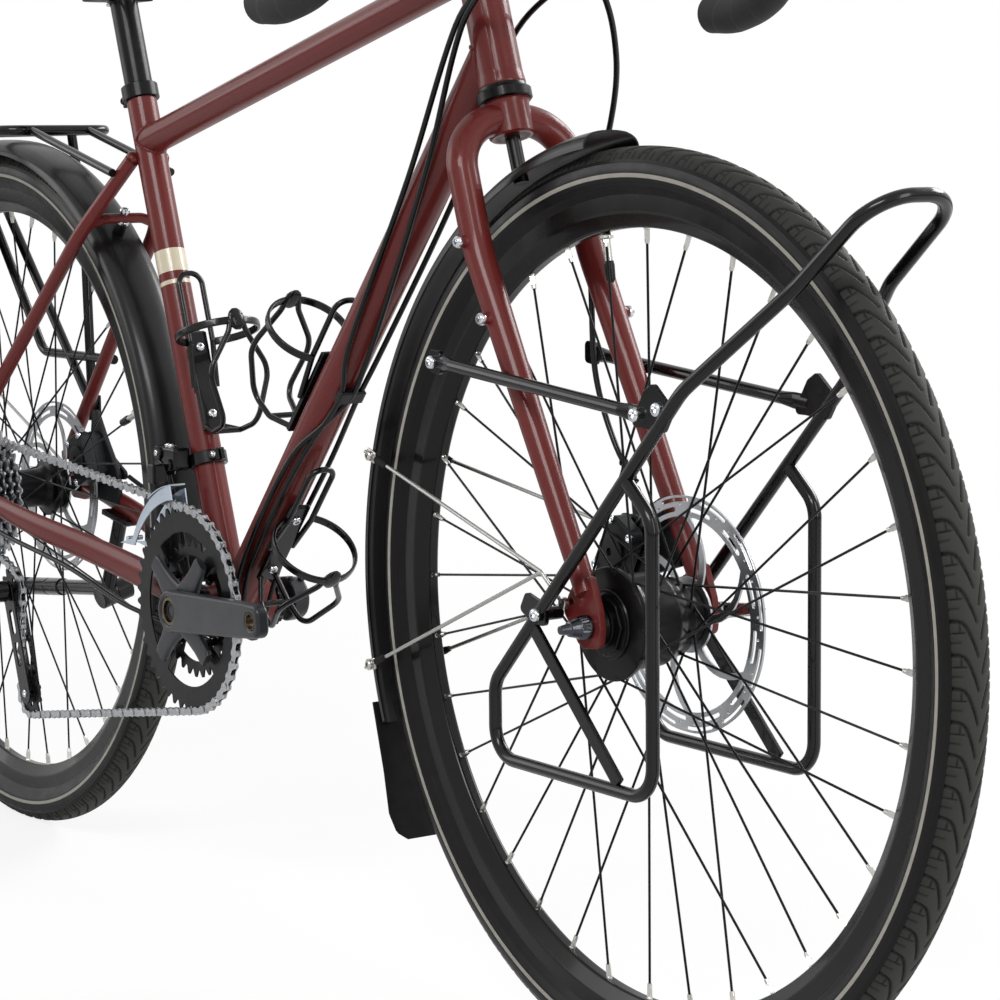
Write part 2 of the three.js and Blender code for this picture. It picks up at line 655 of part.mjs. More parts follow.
// Seat tube with the bottom bracket shell and its bearing cups, bored for the post and the spindle
function seatTube() {
  const whole = join([
    rod(bottomBracket, onSeat(seatTubeLength), seatTubeRadius, 16),
    acrossY(bottomBracket, -shellHalf, shellHalf, shellRadius, 16),
    acrossY(bottomBracket, shellHalf - clearance, shellHalf + bottomCupLength, bottomCupRadius, 16),
    acrossY(bottomBracket, -shellHalf - bottomCupLength, clearance - shellHalf, bottomCupRadius, 16),
  ]);
  return carve(whole, [
    rod(onSeat(seatTubeLength / 2), onSeat(seatTubeLength + overrun),
      across(seatPostRadius + clearance, 16), 16),
    acrossY(bottomBracket, -2 * shellHalf, 2 * shellHalf, spindleRadius + spindleGap, 16),
  ]);
}
add("seat_tube", seatTube(), frameRed);

// Seat clamp: a split collar with two ears and a bolt behind
function seatCollar() {
  const low = onSeat(seatTubeLength + clearance);
  const high = onSeat(seatTubeLength + clearance + seatClamp.height);
  const middle = low.clone().add(high).multiplyScalar(1 / 2);
  const back = inPlane(270 - seatAngle);
  const outerRadius = seatPostRadius + clearance + seatClamp.wall;
  const ears = along(middle, back, outerRadius + seatClamp.earReach / 2 - seatClamp.wall / 2);
  const collar = join([
    rod(low, high, outerRadius, 16),
    slab(ears, back, leftward, seatClamp.earReach, seatClamp.earWidth, seatClamp.height * (4 / 5)),
  ]);
  return carve(collar, [
    rod(along(low, seatUp, -overrun), along(high, seatUp, overrun), across(seatPostRadius + clearance, 16),
      16),
    slab(along(middle, back, outerRadius), back, leftward, 2 * seatClamp.earReach, seatClamp.slot,
      2 * seatClamp.height),
  ]);
}
add("seat_clamp", seatCollar(), anodised);

// Chainstay, oval and drawn in beside the tyre, with its dropout plate
function chainstayTube(hand, grow) {
  const start = at(bottomBracket.x - stay.startBack, hand * stay.frontSide, bottomBracket.z);
  const tip = fromRear(stay.endRun, hand * stay.rearSide, 0);
  tip.z += stay.rearTall / 2;
  const middle = start.clone().lerp(tip, stay.midShare);
  middle.y = hand * stay.midSide;
  const bulge = start.clone().lerp(tip, stay.bulgeShare);
  bulge.y = hand * stay.bulgeSide;
  const points = smooth([start, middle, bulge, tip], 9);
  return sweep(points, (share) =>
    oval(
      THREE.MathUtils.lerp(stay.frontWide, stay.rearWide, share) + grow,
      THREE.MathUtils.lerp(stay.frontTall, stay.rearTall, share ** 2) + grow,
      10,
    ),
  );
}
function chainstay(hand) {
  const tube = chainstayTube(hand, 0);
  const inner = hand * (rearDropoutWidth / 2);
  const outer = hand * (rearDropoutWidth / 2 + dropout.thick);
  const outline = [
    fromRear(dropout.reach + stay.rearTall, 0, stay.rearTall), fromRear(dropout.round, 0, dropout.round),
    fromRear(-seatstay.footBack + seatstay.radius, 0, seatstay.footRise + seatstay.radius),
    fromRear(-seatstay.footBack - seatstay.radius, 0, seatstay.footRise + seatstay.radius),
    fromRear(-dropout.round - seatstay.radius, 0, 0), fromRear(-dropout.round, 0, -dropout.round),
    ...(hand < 0
      ? [fromRear(derailleur.hangerX - dropout.hangerBack, 0, -dropout.hangerDrop - dropout.hangerBack),
         fromRear(derailleur.hangerX + dropout.hangerBack, 0, -dropout.hangerDrop - dropout.hangerBack)]
      : []),
    fromRear(dropout.round, 0, -dropout.round),
      fromRear(dropout.reach + stay.rearTall, 0, -stay.rearTall / 2),
  ];
  const tab = plate(outline, inner, outer);
  const slotRadius = axleRadius + clearance;
  const slot = slab(
    fromRear(dropout.round / 3, (inner + outer) / 2, -dropout.round), inPlane(-70), leftward,
    4 * dropout.round, 4 * dropout.thick, 2 * slotRadius,
  );
  const slotTop = acrossY(rearAxle, inner - hand * overrun, outer + hand * overrun, slotRadius, 12);
  const cuts = [shellCutter, seatCutter(clearance), slotTop];
  if (hand > 0) cuts.push(slot);
  return carve(join([tube, tab]), cuts);
}
add("chainstay_right", chainstay(-1), frameRed);
add("chainstay_left", chainstay(1), frameRed);

// Seatstay, flaring out past the mudguard and then straight to the dropout
function seatstayLine(hand) {
  const top = along(onSeat(seatJoint - seatstay.topDrop), at(-1, 0, 0), seatstay.topBack);
  top.y = hand * seatstay.topSide;
  const knee = at(top.x - seatstay.kneeBack, hand * seatstay.kneeSide, top.z - seatstay.kneeDrop);
  const foot = fromRear(-seatstay.footBack, hand * seatstay.footSide, seatstay.footRise + seatstay.radius);
  return [top, knee, foot];
}
function seatstayTube(hand) {
  const tube = pipe(route(seatstayLine(hand), seatstay.kneeBack * 2), seatstay.radius, 10);
  return tube;
}
function bridgePlace() {
  const points = route(seatstayLine(1), seatstay.kneeBack * 2);
  const inside = points.findIndex((point) => point.clone().sub(rearAxle).setY(0).length() < bridgeReach);
  const above = points[inside - 1];
  const run = points[inside].clone().sub(above);
  const offset = above.clone().sub(rearAxle).setY(0);
  const flat = run.clone().setY(0);
  const half = offset.dot(flat) / flat.lengthSq();
  const share = -half - Math.sqrt(half ** 2 - (offset.lengthSq() - bridgeReach ** 2) / flat.lengthSq());
  const start = along(above, run, share);
  return { start, out: start.clone().sub(rearAxle).setY(0).normalize() };
}
function stayBridge() {
  const { start, out } = bridgePlace();
  const top = along(start, out, bridge.rise);
  top.y = start.y / 2;
  const mirror = (p) => at(p.x, -p.y, p.z);
  return pipe(route([mirror(start), mirror(top), top, start], 2 * bridge.rise), bridge.radius, 8);
}
const dropoutCutter = (hand) =>
  plate(
    [fromRear(-4 * dropout.round, 0, -2 * dropout.round), fromRear(2 * dropout.round, 0, -2 * dropout.round),
     fromRear(2 * dropout.round, 0, seatstay.footRise + seatstay.radius + clearance),
     fromRear(-4 * dropout.round, 0, seatstay.footRise + seatstay.radius + clearance)],
    hand * (rearDropoutWidth / 2 - clearance), hand * (rearDropoutWidth / 2 + dropout.thick + clearance),
  );
const grownStay = pipe(route(seatstayLine(-1), seatstay.kneeBack * 2), seatstay.radius + clearance, 10);
const stayCuts = (hand) => [seatCutter(clearance), dropoutCutter(hand)];
add("seatstay_right", carve(seatstayTube(-1), stayCuts(-1)), frameRed);
add("seatstay_left", carve(join([seatstayTube(1), stayBridge()]), [...stayCuts(1), grownStay]), frameRed);

// Fork: steerer, arched blades that lean forward below the bend, tips with slots and bosses
function bladeLine(hand) {
  const crownAt = (height, side) => {
    const p = onSteer(height);
    p.y = hand * side;
    return p;
  };
  const end = fromFront(blade.endForward - forkTip.width / 2, hand * blade.side, blade.endRise);
  return route(
    [crownAt(crownHeight - blade.archDrop, 0), crownAt(crownHeight - blade.archDrop, blade.side - 1),
     crownAt(blade.bendHeight, blade.side), end],
    [0, blade.archRadius, blade.bendRadius, 0],
  );
}
function forkBlade(hand) {
  const line = bladeLine(hand);
  const lengths = [0];
  for (let i = 1; i < line.length; i++) lengths.push(lengths[i - 1] + line[i].distanceTo(line[i - 1]));
  const total = lengths[lengths.length - 1];
  return sweep(line, (_, i) => {
    const share = lengths[i] / total;
    const radius = share < 0.5
      ? THREE.MathUtils.lerp(blade.topRadius, blade.midRadius, 2 * share)
      : THREE.MathUtils.lerp(blade.midRadius, blade.endRadius, 2 * share - 1);
    return oval(radius, radius, 8);
  }, false, steerForward);
}
function forkTipPlate(hand) {
  const inner = hand * (frontDropoutWidth / 2);
  const outer = hand * (frontDropoutWidth / 2 + forkTip.thick);
  const half = forkTip.width / 2;
  const outline = [
    fromFront(blade.endForward - forkTip.width / 2 - half * (3 / 5), 0, blade.endRise + half),
    fromFront(-forkTip.eyeletBack, 0, forkTip.eyeletRise + half),
    fromFront(-forkTip.eyeletBack - half / 2, 0, forkTip.eyeletRise),
      fromFront(-forkTip.eyeletBack + half / 3, 0, -half / 3),
    fromFront(-half, 0, -half), fromFront(-half / 2, 0, -forkTip.round - 2),
      fromFront(half, 0, -forkTip.round),
    fromFront(forkTip.round, 0, 0), fromFront(half, 0, half),
    fromFront(blade.endForward - forkTip.width / 2 + half * (3 / 5), 0, blade.endRise + half),
  ];
  const tab = plate(outline, inner, outer);
  const middleY = (inner + outer) / 2;
  const slot = slab(fromFront(forkTip.slot / 4, middleY, -forkTip.round), inPlane(-80), leftward,
    2 * forkTip.round, 4 * forkTip.thick, forkTip.slot);
  const round = acrossY(frontAxle, inner - hand * overrun, outer + hand * overrun, forkTip.slot / 2, 12);
  return { tab, cuts: [slot, round] };
}
function bossOn(hand, height) {
  const line = bladeLine(hand);
  const upper = line.find((p, i) => i + 1 < line.length && line[i + 1].z < wheelRadius + height);
  const lower = line[line.indexOf(upper) + 1];
  const share = (upper.z - wheelRadius - height) / (upper.z - lower.z);
  const centre = upper.clone().lerp(lower, share);
  const faceY = hand * (blade.side + blade.midRadius);
  return [
    acrossY(centre, faceY - hand * blade.midRadius, faceY + hand * forkBoss.length, forkBoss.radius, 8),
    acrossY(centre, faceY + hand * (forkBoss.length - clearance),
      faceY + hand * (forkBoss.length + forkBoss.headHeight),
      forkBoss.headRadius, 8, forkBoss.headRadius / 2),
  ];
}
function fork() {
  const tips = [forkTipPlate(-1), forkTipPlate(1)];
  const steerer = rod(onSteer(crownHeight - 2 * blade.archDrop), onSteer(steererEnd), steererRadius, 16);
  const crown = rod(onSteer(crownHeight - 2 * blade.archDrop), onSteer(crownHeight - clearance),
    headTubeRadius, 16);
  const bosses = [-1, 1].flatMap((hand) => [...bossOn(hand, forkBoss.upper),
    ...bossOn(hand, forkBoss.lower)]);
  return carve(
    join([steerer, crown, forkBlade(-1), forkBlade(1), tips[0].tab, tips[1].tab, ...bosses]),
    [...tips[0].cuts, ...tips[1].cuts],
  );
}
add("fork", fork(), frameRed);

// Stem: spacers, clamp on the steerer, arm, and the clamp round the bar
const stemDirection = inPlane(stem.rise);
const barCentre = along(onSteer(stemMiddle), stemDirection, stem.length);
const barClampOuter = stem.barClamp;
function stemPiece() {
  const low = headTop + headCupHeight + clearance;
  const clampLow = stemMiddle - stem.clampHeight / 2;
  const clampHigh = stemMiddle + stem.clampHeight / 2;
  const whole = join([
    rod(onSteer(low), onSteer(clampLow + clearance), stem.spacerRadius, 14),
    rod(onSteer(clampLow), onSteer(clampHigh), stem.clampRadius, 14),
    rod(onSteer(clampHigh - clearance), onSteer(clampHigh + stem.capHeight), stem.spacerRadius, 14),
    rod(onSteer(stemMiddle), barCentre, stem.arm, 12),
    acrossY(barCentre, -stem.barClampWidth / 2, stem.barClampWidth / 2, barClampOuter, 14),
  ]);
  return carve(whole, [
    rod(onSteer(low - overrun), onSteer(clampHigh), across(steererRadius + clearance, 16), 16),
    acrossY(barCentre, -stem.barClampWidth, stem.barClampWidth, across(bar.bulge + clearance, 16), 16),
  ]);
}
add("stem", stemPiece(), anodised);

// Drop handlebar with its wrapped tape as one sweep
function barLine() {
  const side = bar.half - bar.flare;
  const half = (hand) => [
    at(barCentre.x, hand * bar.taper, barCentre.z),
    at(barCentre.x, hand * (side - bar.cornerBack), barCentre.z),
    at(barCentre.x + bar.cornerBack * (3 / 10), hand * (side - bar.cornerBack * (1 / 10)), barCentre.z - 1),
    at(barCentre.x + bar.reach - bar.hookRadius * (2 / 5), hand * side, barCentre.z - bar.drop * (1 / 20)),
    at(barCentre.x + bar.reach, hand * side, barCentre.z - bar.drop * (7 / 20)),
    at(barCentre.x + bar.reach - bar.hookRadius / 2, hand * (side + bar.flare / 2),
      barCentre.z - bar.drop * (17 / 20)),
    at(barCentre.x, hand * bar.half, barCentre.z - bar.drop),
    at(barCentre.x - bar.tail, hand * bar.half, barCentre.z - bar.drop),
  ];
  return [...half(1).reverse(), ...half(-1)];
}
const barSteps = 30;
const barPoints = smooth(barLine(), barSteps);
function handlebar() {
  return sweep(barPoints, (_, i) => {
    const fromMiddle = Math.abs(barPoints[i].y);
    const onTop = fromMiddle < bar.half - 2 * bar.cornerBack;
    let radius = bar.tapeRadius;
    if (onTop && fromMiddle < bar.tapeStart) radius = bar.radius;
    if (onTop && fromMiddle < bar.taper) radius = bar.bulge;
    return oval(radius, radius, 7);
  }, false, at(0, 0, 1));
}
add("handlebar", handlebar(), tapeBlack);

// Brake hood, lever and shift paddle on each hook of the bar
const hoodBase = at(barCentre.x + bar.reach - bar.hookRadius * (1 / 5), 0, barCentre.z - bar.drop * (3 / 20));
const hoodForward = inPlane(hood.tilt);
const hoodUp = inPlane(90 + hood.tilt);
const hoodSide = bar.half - bar.flare;
const hoodPoint = (hand, forward, up, out = 0) => {
  const p = along(along(hoodBase, hoodForward, forward), hoodUp, up);
  p.y = hand * (hoodSide + out);
  return p;
};
const leverPivot = (hand) => hoodPoint(hand, hood.length - hood.nose, -brakeLever.pivotDown);
function brakeHood(hand) {
  const body = sweep(
    [hoodPoint(hand, 0, 0), hoodPoint(hand, hood.length * (2 / 5), 0),
      hoodPoint(hand, hood.length * (3 / 4), hood.rise * (1 / 3)),
     hoodPoint(hand, hood.length, hood.rise)],
    (share) => oval((hood.width / 2) * (1 - share / 3), (hood.height / 2) * (1 - share / 3), 8),
  );
  const grip = bar.tapeRadius + clearance;
  const barHole = sweep(barPoints, () => oval(grip, grip, 7), false, at(0, 0, 1));
  const mouth = slab(along(leverPivot(hand), hoodUp, brakeLever.thick - hood.height / 2), hoodForward,
    leftward,
    2 * hood.nose, brakeLever.width * Math.cos(Math.PI / 8) + 2 * runningGap, hood.height + brakeLever.thick);
  return carve(body, [barHole, mouth]);
}
function leverBlade(hand) {
  const root = leverPivot(hand);
  const down = inPlane(-78);
  const points = smooth(
    [root, along(root, down, brakeLever.length * (2 / 5)),
      along(along(root, down, brakeLever.length * (4 / 5)), at(-1, 0, 0), brakeLever.curl / 3),
     along(along(root, down, brakeLever.length), at(-1, 0, 0), brakeLever.curl)],
    5,
  );
  return sweep(points, (share) => oval((brakeLever.width / 2) * (1 - share / 4),
    (brakeLever.thick / 2) * (1 - share / 4), 8));
}
function shiftPaddle(hand) {
  const top = along(along(leverPivot(hand), hoodForward, -paddle.back), hoodUp, -paddle.down);
  const end = along(top, inPlane(paddle.lean), paddle.length);
  return slab(top.clone().add(end).multiplyScalar(1 / 2), end.clone().sub(top), leftward, paddle.length,
    paddle.width, paddle.thick);
}
for (const [name, hand] of [["right", -1], ["left", 1]]) {
  add("brake_hood_" + name, brakeHood(hand), rubber);
  add("brake_lever_" + name, leverBlade(hand), anodised);
  add("shift_paddle_" + name, shiftPaddle(hand), anodised);
}

// Mudguard: a thin rolled section along an arc, with wire stays to the axle's eyelets
function guardArc(centre, startAngle, endAngle) {
  const steps = Math.ceil(Math.abs(endAngle - startAngle) / guard.step);
  const angles = Array.from({ length: steps + 1 },
    (_, i) => startAngle + ((endAngle - startAngle) * i) / steps);
  const outer = [
    [-guard.half, guard.edge], [-guard.shoulderHalf, guard.crest], [guard.shoulderHalf, guard.crest],
      [guard.half, guard.edge],
  ];
  const inner = outer.map(([y, r]) => [y * (1 - guard.wall / guard.half), r - guard.wall]).reverse();
  const outline = [...outer, ...inner];
  const rings = angles.map((angle) =>
    outline.map(([y, r]) => {
      const p = along(centre, inPlane(angle), r);
      p.y = y;
      return p;
    }),
  );
  return loft(rings, false, outline.map(([y, r]) => new THREE.Vector2(y, r)));
}
function guardStay(centre, angle, hand, foot) {
  const clip = along(centre, inPlane(angle), guard.edge);
  clip.y = hand * (guard.half + guard.stayRadius);
  const socket = slab(clip, inPlane(angle), leftward, guard.clip, guard.clipOut, guard.clip);
  const past = clip.clone().lerp(foot.end, (-2 * guard.clip) / clip.distanceTo(foot.end));
  const face = at(foot.bolt.x, foot.face, foot.bolt.z);
  return [
    rod(past, foot.end, guard.stayRadius, 4), socket, rod(foot.end, foot.bolt, guard.stayRadius, 4),
    rod(face, along(foot.bolt, leftward, hand * guard.stayRadius), guard.eyeRadius, 8),
  ];
}
const frontEye = (hand) => ({
  end: fromFront(-forkTip.eyeletBack - 17, hand * (frontDropoutWidth / 2 + forkTip.thick + 12),
    forkTip.eyeletRise + 29),
  bolt: fromFront(4 - forkTip.eyeletBack, hand * (frontDropoutWidth / 2 + forkTip.thick + 8),
    forkTip.eyeletRise + 8),
  face: hand * (frontDropoutWidth / 2 + forkTip.thick + clearance),
});
const rearEye = (hand) => ({
  end: fromRear(-seatstay.footBack - 12, hand * (rearDropoutWidth / 2 + dropout.thick + 4), 8),
  bolt: fromRear(-seatstay.footBack, hand * (rearDropoutWidth / 2 + dropout.thick + 4), 8),
  face: hand * (rearDropoutWidth / 2 + dropout.thick + clearance),
});
// Rubber flap that hangs from the front mudguard's lower end and spreads to the sides
function flap() {
  const m = mudflap;
  const radius = guard.crest - guard.wall / 2;
  const root = along(frontAxle, inPlane(m.angle - m.kick / 2), radius);
  const tangent = inPlane(m.angle + 90);
  return sweep(
    flapShares.map(([down]) => along(root, tangent, m.run * down)),
    (_, i) => block(2 * m.wide * flapShares[i][1], m.thick),
  );
}
function frontMudguard() {
  const stays = [-1, 1].flatMap((hand) =>
    [frontGuard.upperStay, frontGuard.lowerStay].flatMap((angle) => guardStay(frontAxle, angle, hand,
      frontEye(hand))));
  const crown = crownHeight - 2 * blade.archDrop - clearance;
  const post = rod(onSteer(crown), onSteer(crown - guard.crownDrop), guard.postRadius, 8);
  return join([guardArc(frontAxle, frontGuard.startAngle, frontGuard.endAngle), flap(), post, ...stays]);
}
function rearMudguard() {
  const stays = [-1, 1].flatMap((hand) =>
    [rearGuard.upperStay, rearGuard.lowerStay].flatMap((angle) => guardStay(rearAxle, angle, hand,
      rearEye(hand))));
  const { out } = bridgePlace();
  const post = rod(along(rearAxle, out, guard.crest - 3 * guard.wall),
    along(rearAxle, out, bridgeReach + bridge.rise - bridge.radius - clearance), guard.postRadius, 8);
  return join([guardArc(rearAxle, rearGuard.startAngle, rearGuard.endAngle), post, ...stays]);
}
add("front_mudguard", frontMudguard(), guardBlack);
add("rear_mudguard", rearMudguard(), guardBlack);

// Low front rack: one bent tube that loops on each side and meets over the tyre
function lowRider() {
  const r = lowRack;
  const half = (hand) => [
    fromFront(r.joinX, hand * r.side, r.joinZ), fromFront(r.frontX, hand * r.side, r.joinZ - r.bend),
    fromFront(r.frontX, hand * r.side, r.bottomZ), fromFront(r.rearX, hand * r.side, r.bottomZ),
    fromFront(r.rearX, hand * r.side, r.kneeZ), fromFront(r.shoulderX, hand * r.side, r.shoulderZ),
    fromFront(r.narrowX, hand * r.narrowSide, r.narrowZ), fromFront(r.topX, hand * r.topSide, r.topZ),
  ];
  const bends = [0, r.bend, r.bend, r.bend, r.bend, 2 * r.bend, 2 * r.bend, r.hoopBend];
  const loop = pipe(route([...half(-1), ...half(1).reverse()], [...bends, ...bends.slice().reverse()],
    false, 45), r.tube, 5);
  const pieces = [loop];
  const tab = (points, side, hand) =>
    plate(points.map(([x, z]) => fromFront(x, 0, z)), hand * (side - r.plate / 2),
      hand * (side + r.plate / 2));
  for (const hand of [-1, 1]) {
    pieces.push(
      tab(r.bracket, r.side, hand), tab(r.lowTab, r.side, hand), tab(r.rearTab, r.side, hand),
      acrossY(fromFront(r.eyeX, 0, r.eyeZ), hand * (frontDropoutWidth / 2 + forkTip.thick + clearance),
        hand * (r.side + r.tube), r.boltRadius, 6),
      acrossY(fromFront(r.standX, 0, r.standZ), hand * r.standInner, hand * r.side, r.boltRadius * (4 / 5),
        6),
    );
    const barRear = fromFront(r.barRearX, hand * r.barSide, r.barRearZ);
    const barFront = fromFront(r.barFrontX, hand * r.barSide, r.barFrontZ);
    pieces.push(rod(barRear, barFront, r.tube, 6));
    const brace = [fromFront(r.braceTopX, hand * r.side, r.braceTopZ),
      fromFront(r.braceLowX, hand * r.side, r.braceLowZ)];
    pieces.push(
      slab(brace[0].clone().add(brace[1]).multiplyScalar(1 / 2), brace[1].clone().sub(brace[0]), leftward,
        brace[0].distanceTo(brace[1]), r.braceThick, r.braceWide),
    );
  }
  return join(pieces);
}
add("low_front_rack", lowRider(), satinBlack);

// Rear rack: a deck hoop with cross rods, and legs and a pannier rail on each side
function rearRack() {
  const r = rack;
  const deck = [
    fromRear(r.deckFront, -r.deckHalf, r.deckHeight), fromRear(r.deckRear, -r.deckHalf, r.deckHeight),
    fromRear(r.deckRear, r.deckHalf, r.deckHeight), fromRear(r.deckFront, r.deckHalf, r.deckHeight),
  ];
  const pieces = [pipe(route(deck, r.bend, true, 45), r.tube, 5, true)];
  for (let i = 1; i <= r.crossPlaces; i++) {
    const x = THREE.MathUtils.lerp(r.deckRear, r.deckFront, i / (r.crossPlaces + 1));
    pieces.push(rod(fromRear(x, -r.deckHalf, r.deckHeight), fromRear(x, r.deckHalf, r.deckHeight),
      r.tube * (4 / 5), 6));
  }
  for (const hand of [-1, 1]) {
    const foot = fromRear(r.footX, hand * (r.side + r.tube), r.footZ);
    pieces.push(
      pipe(route([foot, fromRear(r.legX, hand * (r.side + r.tube), r.deckHeight * (3 / 4)),
        fromRear(r.legX, hand * r.deckHalf, r.deckHeight)], r.bend, false, 45), r.tube, 5),
      pipe(route([foot, fromRear(r.rearLegX, hand * (r.side + r.tube), r.deckHeight * (9 / 10)),
        fromRear(r.rearLegX - r.bend, hand * r.deckHalf, r.deckHeight)], r.bend, false, 45), r.tube, 5),
      pipe(route([fromRear(r.railFront, hand * (r.side + r.tube), r.railZ),
        fromRear(r.railRear, hand * (r.side + r.tube), r.railZ),
        fromRear(r.rearLegX - 2 * r.bend, hand * r.deckHalf, r.deckHeight)], r.bend, false, 45), r.tube, 5),
      slab(foot, at(0, 0, 1), leftward, r.footTall, r.footThick, r.footWide),
    );
    const [stayTop, stayKnee] = seatstayLine(hand);
    const hold = stayTop.clone().lerp(stayKnee, r.armHoldShare);
    hold.y += hand * (seatstay.radius + r.armRadius + clearance);
    pieces.push(rod(fromRear(r.deckFront, hold.y, r.deckHeight), hold, r.armRadius, 6));
  }
  return join(pieces);
}
add("rear_rack", rearRack(), satinBlack);

// Toothed wheel in the X-Z plane about the origin, a gap between teeth at the given angle
const pitchRadius = (teeth) => pitch / (2 * Math.sin(Math.PI / teeth));
function toothOutline(teeth, phase, meshed) {
  const radius = pitchRadius(teeth);
  const step = (2 * Math.PI) / teeth;
  const points = [];
  for (let i = 0; i < teeth; i++) {
    const middle = phase + step * (i + 1 / 2);
    const places = meshed ? [[-toothHalfShare, -toothRoot], [0, toothTip],
      [toothHalfShare, -toothRoot]] : [[0, toothTip / 2]];
    for (const [share, rise] of places) {
      const turn = middle + share * step;
      points.push(at((radius + rise) * Math.cos(turn), 0, (radius + rise) * Math.sin(turn)));
    }
  }
  return points;
}

// The chain's closed path: arcs on the toothed wheels and straight runs, measured in links
function tangentRun(a, radiusA, b, radiusB, sideA, sideB) {
  const gap = b.clone().sub(a);
  const heading = Math.atan2(gap.z,
    gap.x) + Math.asin((sideA * radiusA - sideB * radiusB) / Math.hypot(gap.x, gap.z));
  return [heading - (sideA * Math.PI) / 2, heading - (sideB * Math.PI) / 2];
}
const chainWheels = (tensionPoint) => [
  { centre: bottomBracket, teeth: ringTeeth, side: 1, y: -ringPlace },
  { centre: rearAxle, teeth: sprocketTeeth[chainSprocket], side: 1,
    y: -cassettePlace - chainSprocket * sprocketSpacing },
  { centre: guidePoint, teeth: pulleyTeeth, side: -1, y: -cassettePlace - chainSprocket * sprocketSpacing },
  { centre: tensionPoint, teeth: pulleyTeeth, side: 1, y: -cassettePlace - chainSprocket * sprocketSpacing },
];
const guidePoint = fromRear(pulley.guideX, 0, pulley.guideZ);
function chainPath(tensionPoint) {
  const wheels = chainWheels(tensionPoint);
  const runs = wheels.map((wheel, i) => {
    const next = wheels[(i + 1) % wheels.length];
    return tangentRun(wheel.centre, pitchRadius(wheel.teeth), next.centre, pitchRadius(next.teeth),
      wheel.side, next.side);
  });
  const parts = [];
  wheels.forEach((wheel, i) => {
    const next = wheels[(i + 1) % wheels.length];
    const arrive = runs[(i + wheels.length - 1) % wheels.length][1];
    let turn = runs[i][0] - arrive;
    while (wheel.side * turn < 0) turn += wheel.side * 2 * Math.PI;
    while (wheel.side * turn > 2 * Math.PI) turn -= wheel.side * 2 * Math.PI;
    parts.push({ kind: "arc", wheel, start: arrive, turn,
      links: (Math.abs(turn) * wheel.teeth) / (2 * Math.PI) });
    const on = (w, angle) => at(w.centre.x + pitchRadius(w.teeth) * Math.cos(angle), w.y,
      w.centre.z + pitchRadius(w.teeth) * Math.sin(angle));
    const from = on(wheel, runs[i][0]);
    const to = on(next, runs[i][1]);
    parts.push({ kind: "run", from, to, links: from.distanceTo(to) / pitch });
  });
  return parts;
}
const linkTotal = (parts) => parts.reduce((sum, part) => sum + part.links, 0);

// The tension pulley swings about the guide pulley until the chain is a whole number of links long
const cageLength = Math.hypot(pulley.tensionX - pulley.guideX, pulley.tensionZ - pulley.guideZ);
function settledCage() {
  let low = -150;
  let high = -30;
  for (let i = 0; i < 60; i++) {
    const middle = (low + high) / 2;
    const total = linkTotal(chainPath(along(guidePoint, inPlane(middle), cageLength)));
    if (total > chainLinks) low = middle;
    else high = middle;
  }
  return (low + high) / 2;
}
const cageAngle = settledCage();
const tensionPoint = along(guidePoint, inPlane(cageAngle), cageLength);
const chainParts = chainPath(tensionPoint);
function chainPoint(link) {
  let left = link;
  for (const part of chainParts) {
    if (left <= part.links + 1e-9) {
      if (part.kind === "run") return part.from.clone().lerp(part.to, left / part.links);
      const angle = part.start + (part.turn * left) / part.links;
      const radius = pitchRadius(part.wheel.teeth);
      return at(part.wheel.centre.x + radius * Math.cos(angle), part.wheel.y,
        part.wheel.centre.z + radius * Math.sin(angle));
    }
    left -= part.links;
  }
  return chainPoint(0);
}
// The angle at which a pin of the chain lies on the given wheel
function chainPhase(order) {
  const before = chainParts.slice(0, 2 * order).reduce((sum, part) => sum + part.links, 0);
  const part = chainParts[2 * order];
  return part.start + (part.turn * (Math.ceil(before - 1e-9) - before)) / part.links;
}
function chain() {
  const pins = Array.from({ length: chainLinks }, (_, i) => chainPoint(i));
  const isStraight = (i) => {
    const [a, b, c] = [-1, 0, 1].map((k) => pins[(i + k + chainLinks) % chainLinks]);
    return a.clone().sub(b).angleTo(b.clone().sub(c)) < 1e-4;
  };
  const stations = pins.filter((_, i) => !isStraight(i));
  const band = sweep(stations, () => block(chainWidth, chainHeight), true);
  const near = (i) => [-2, -1, 0, 1, 2, 3].some((k) => !isStraight((i + k + chainLinks) % chainLinks));
  const engaged = pins.map((_, i) => i).filter(near);
  const windows = engaged.map((i) => {
    const pin = pins[i];
    const next = pins[(i + 1) % chainLinks];
    return slab(pin.clone().add(next).multiplyScalar(1 / 2), next.clone().sub(pin), leftward,
      pitch - chainRoller, chainWindow, 2 * chainHeight);
  });
  return carve(band, windows);
}
add("chain", chain(), steel);

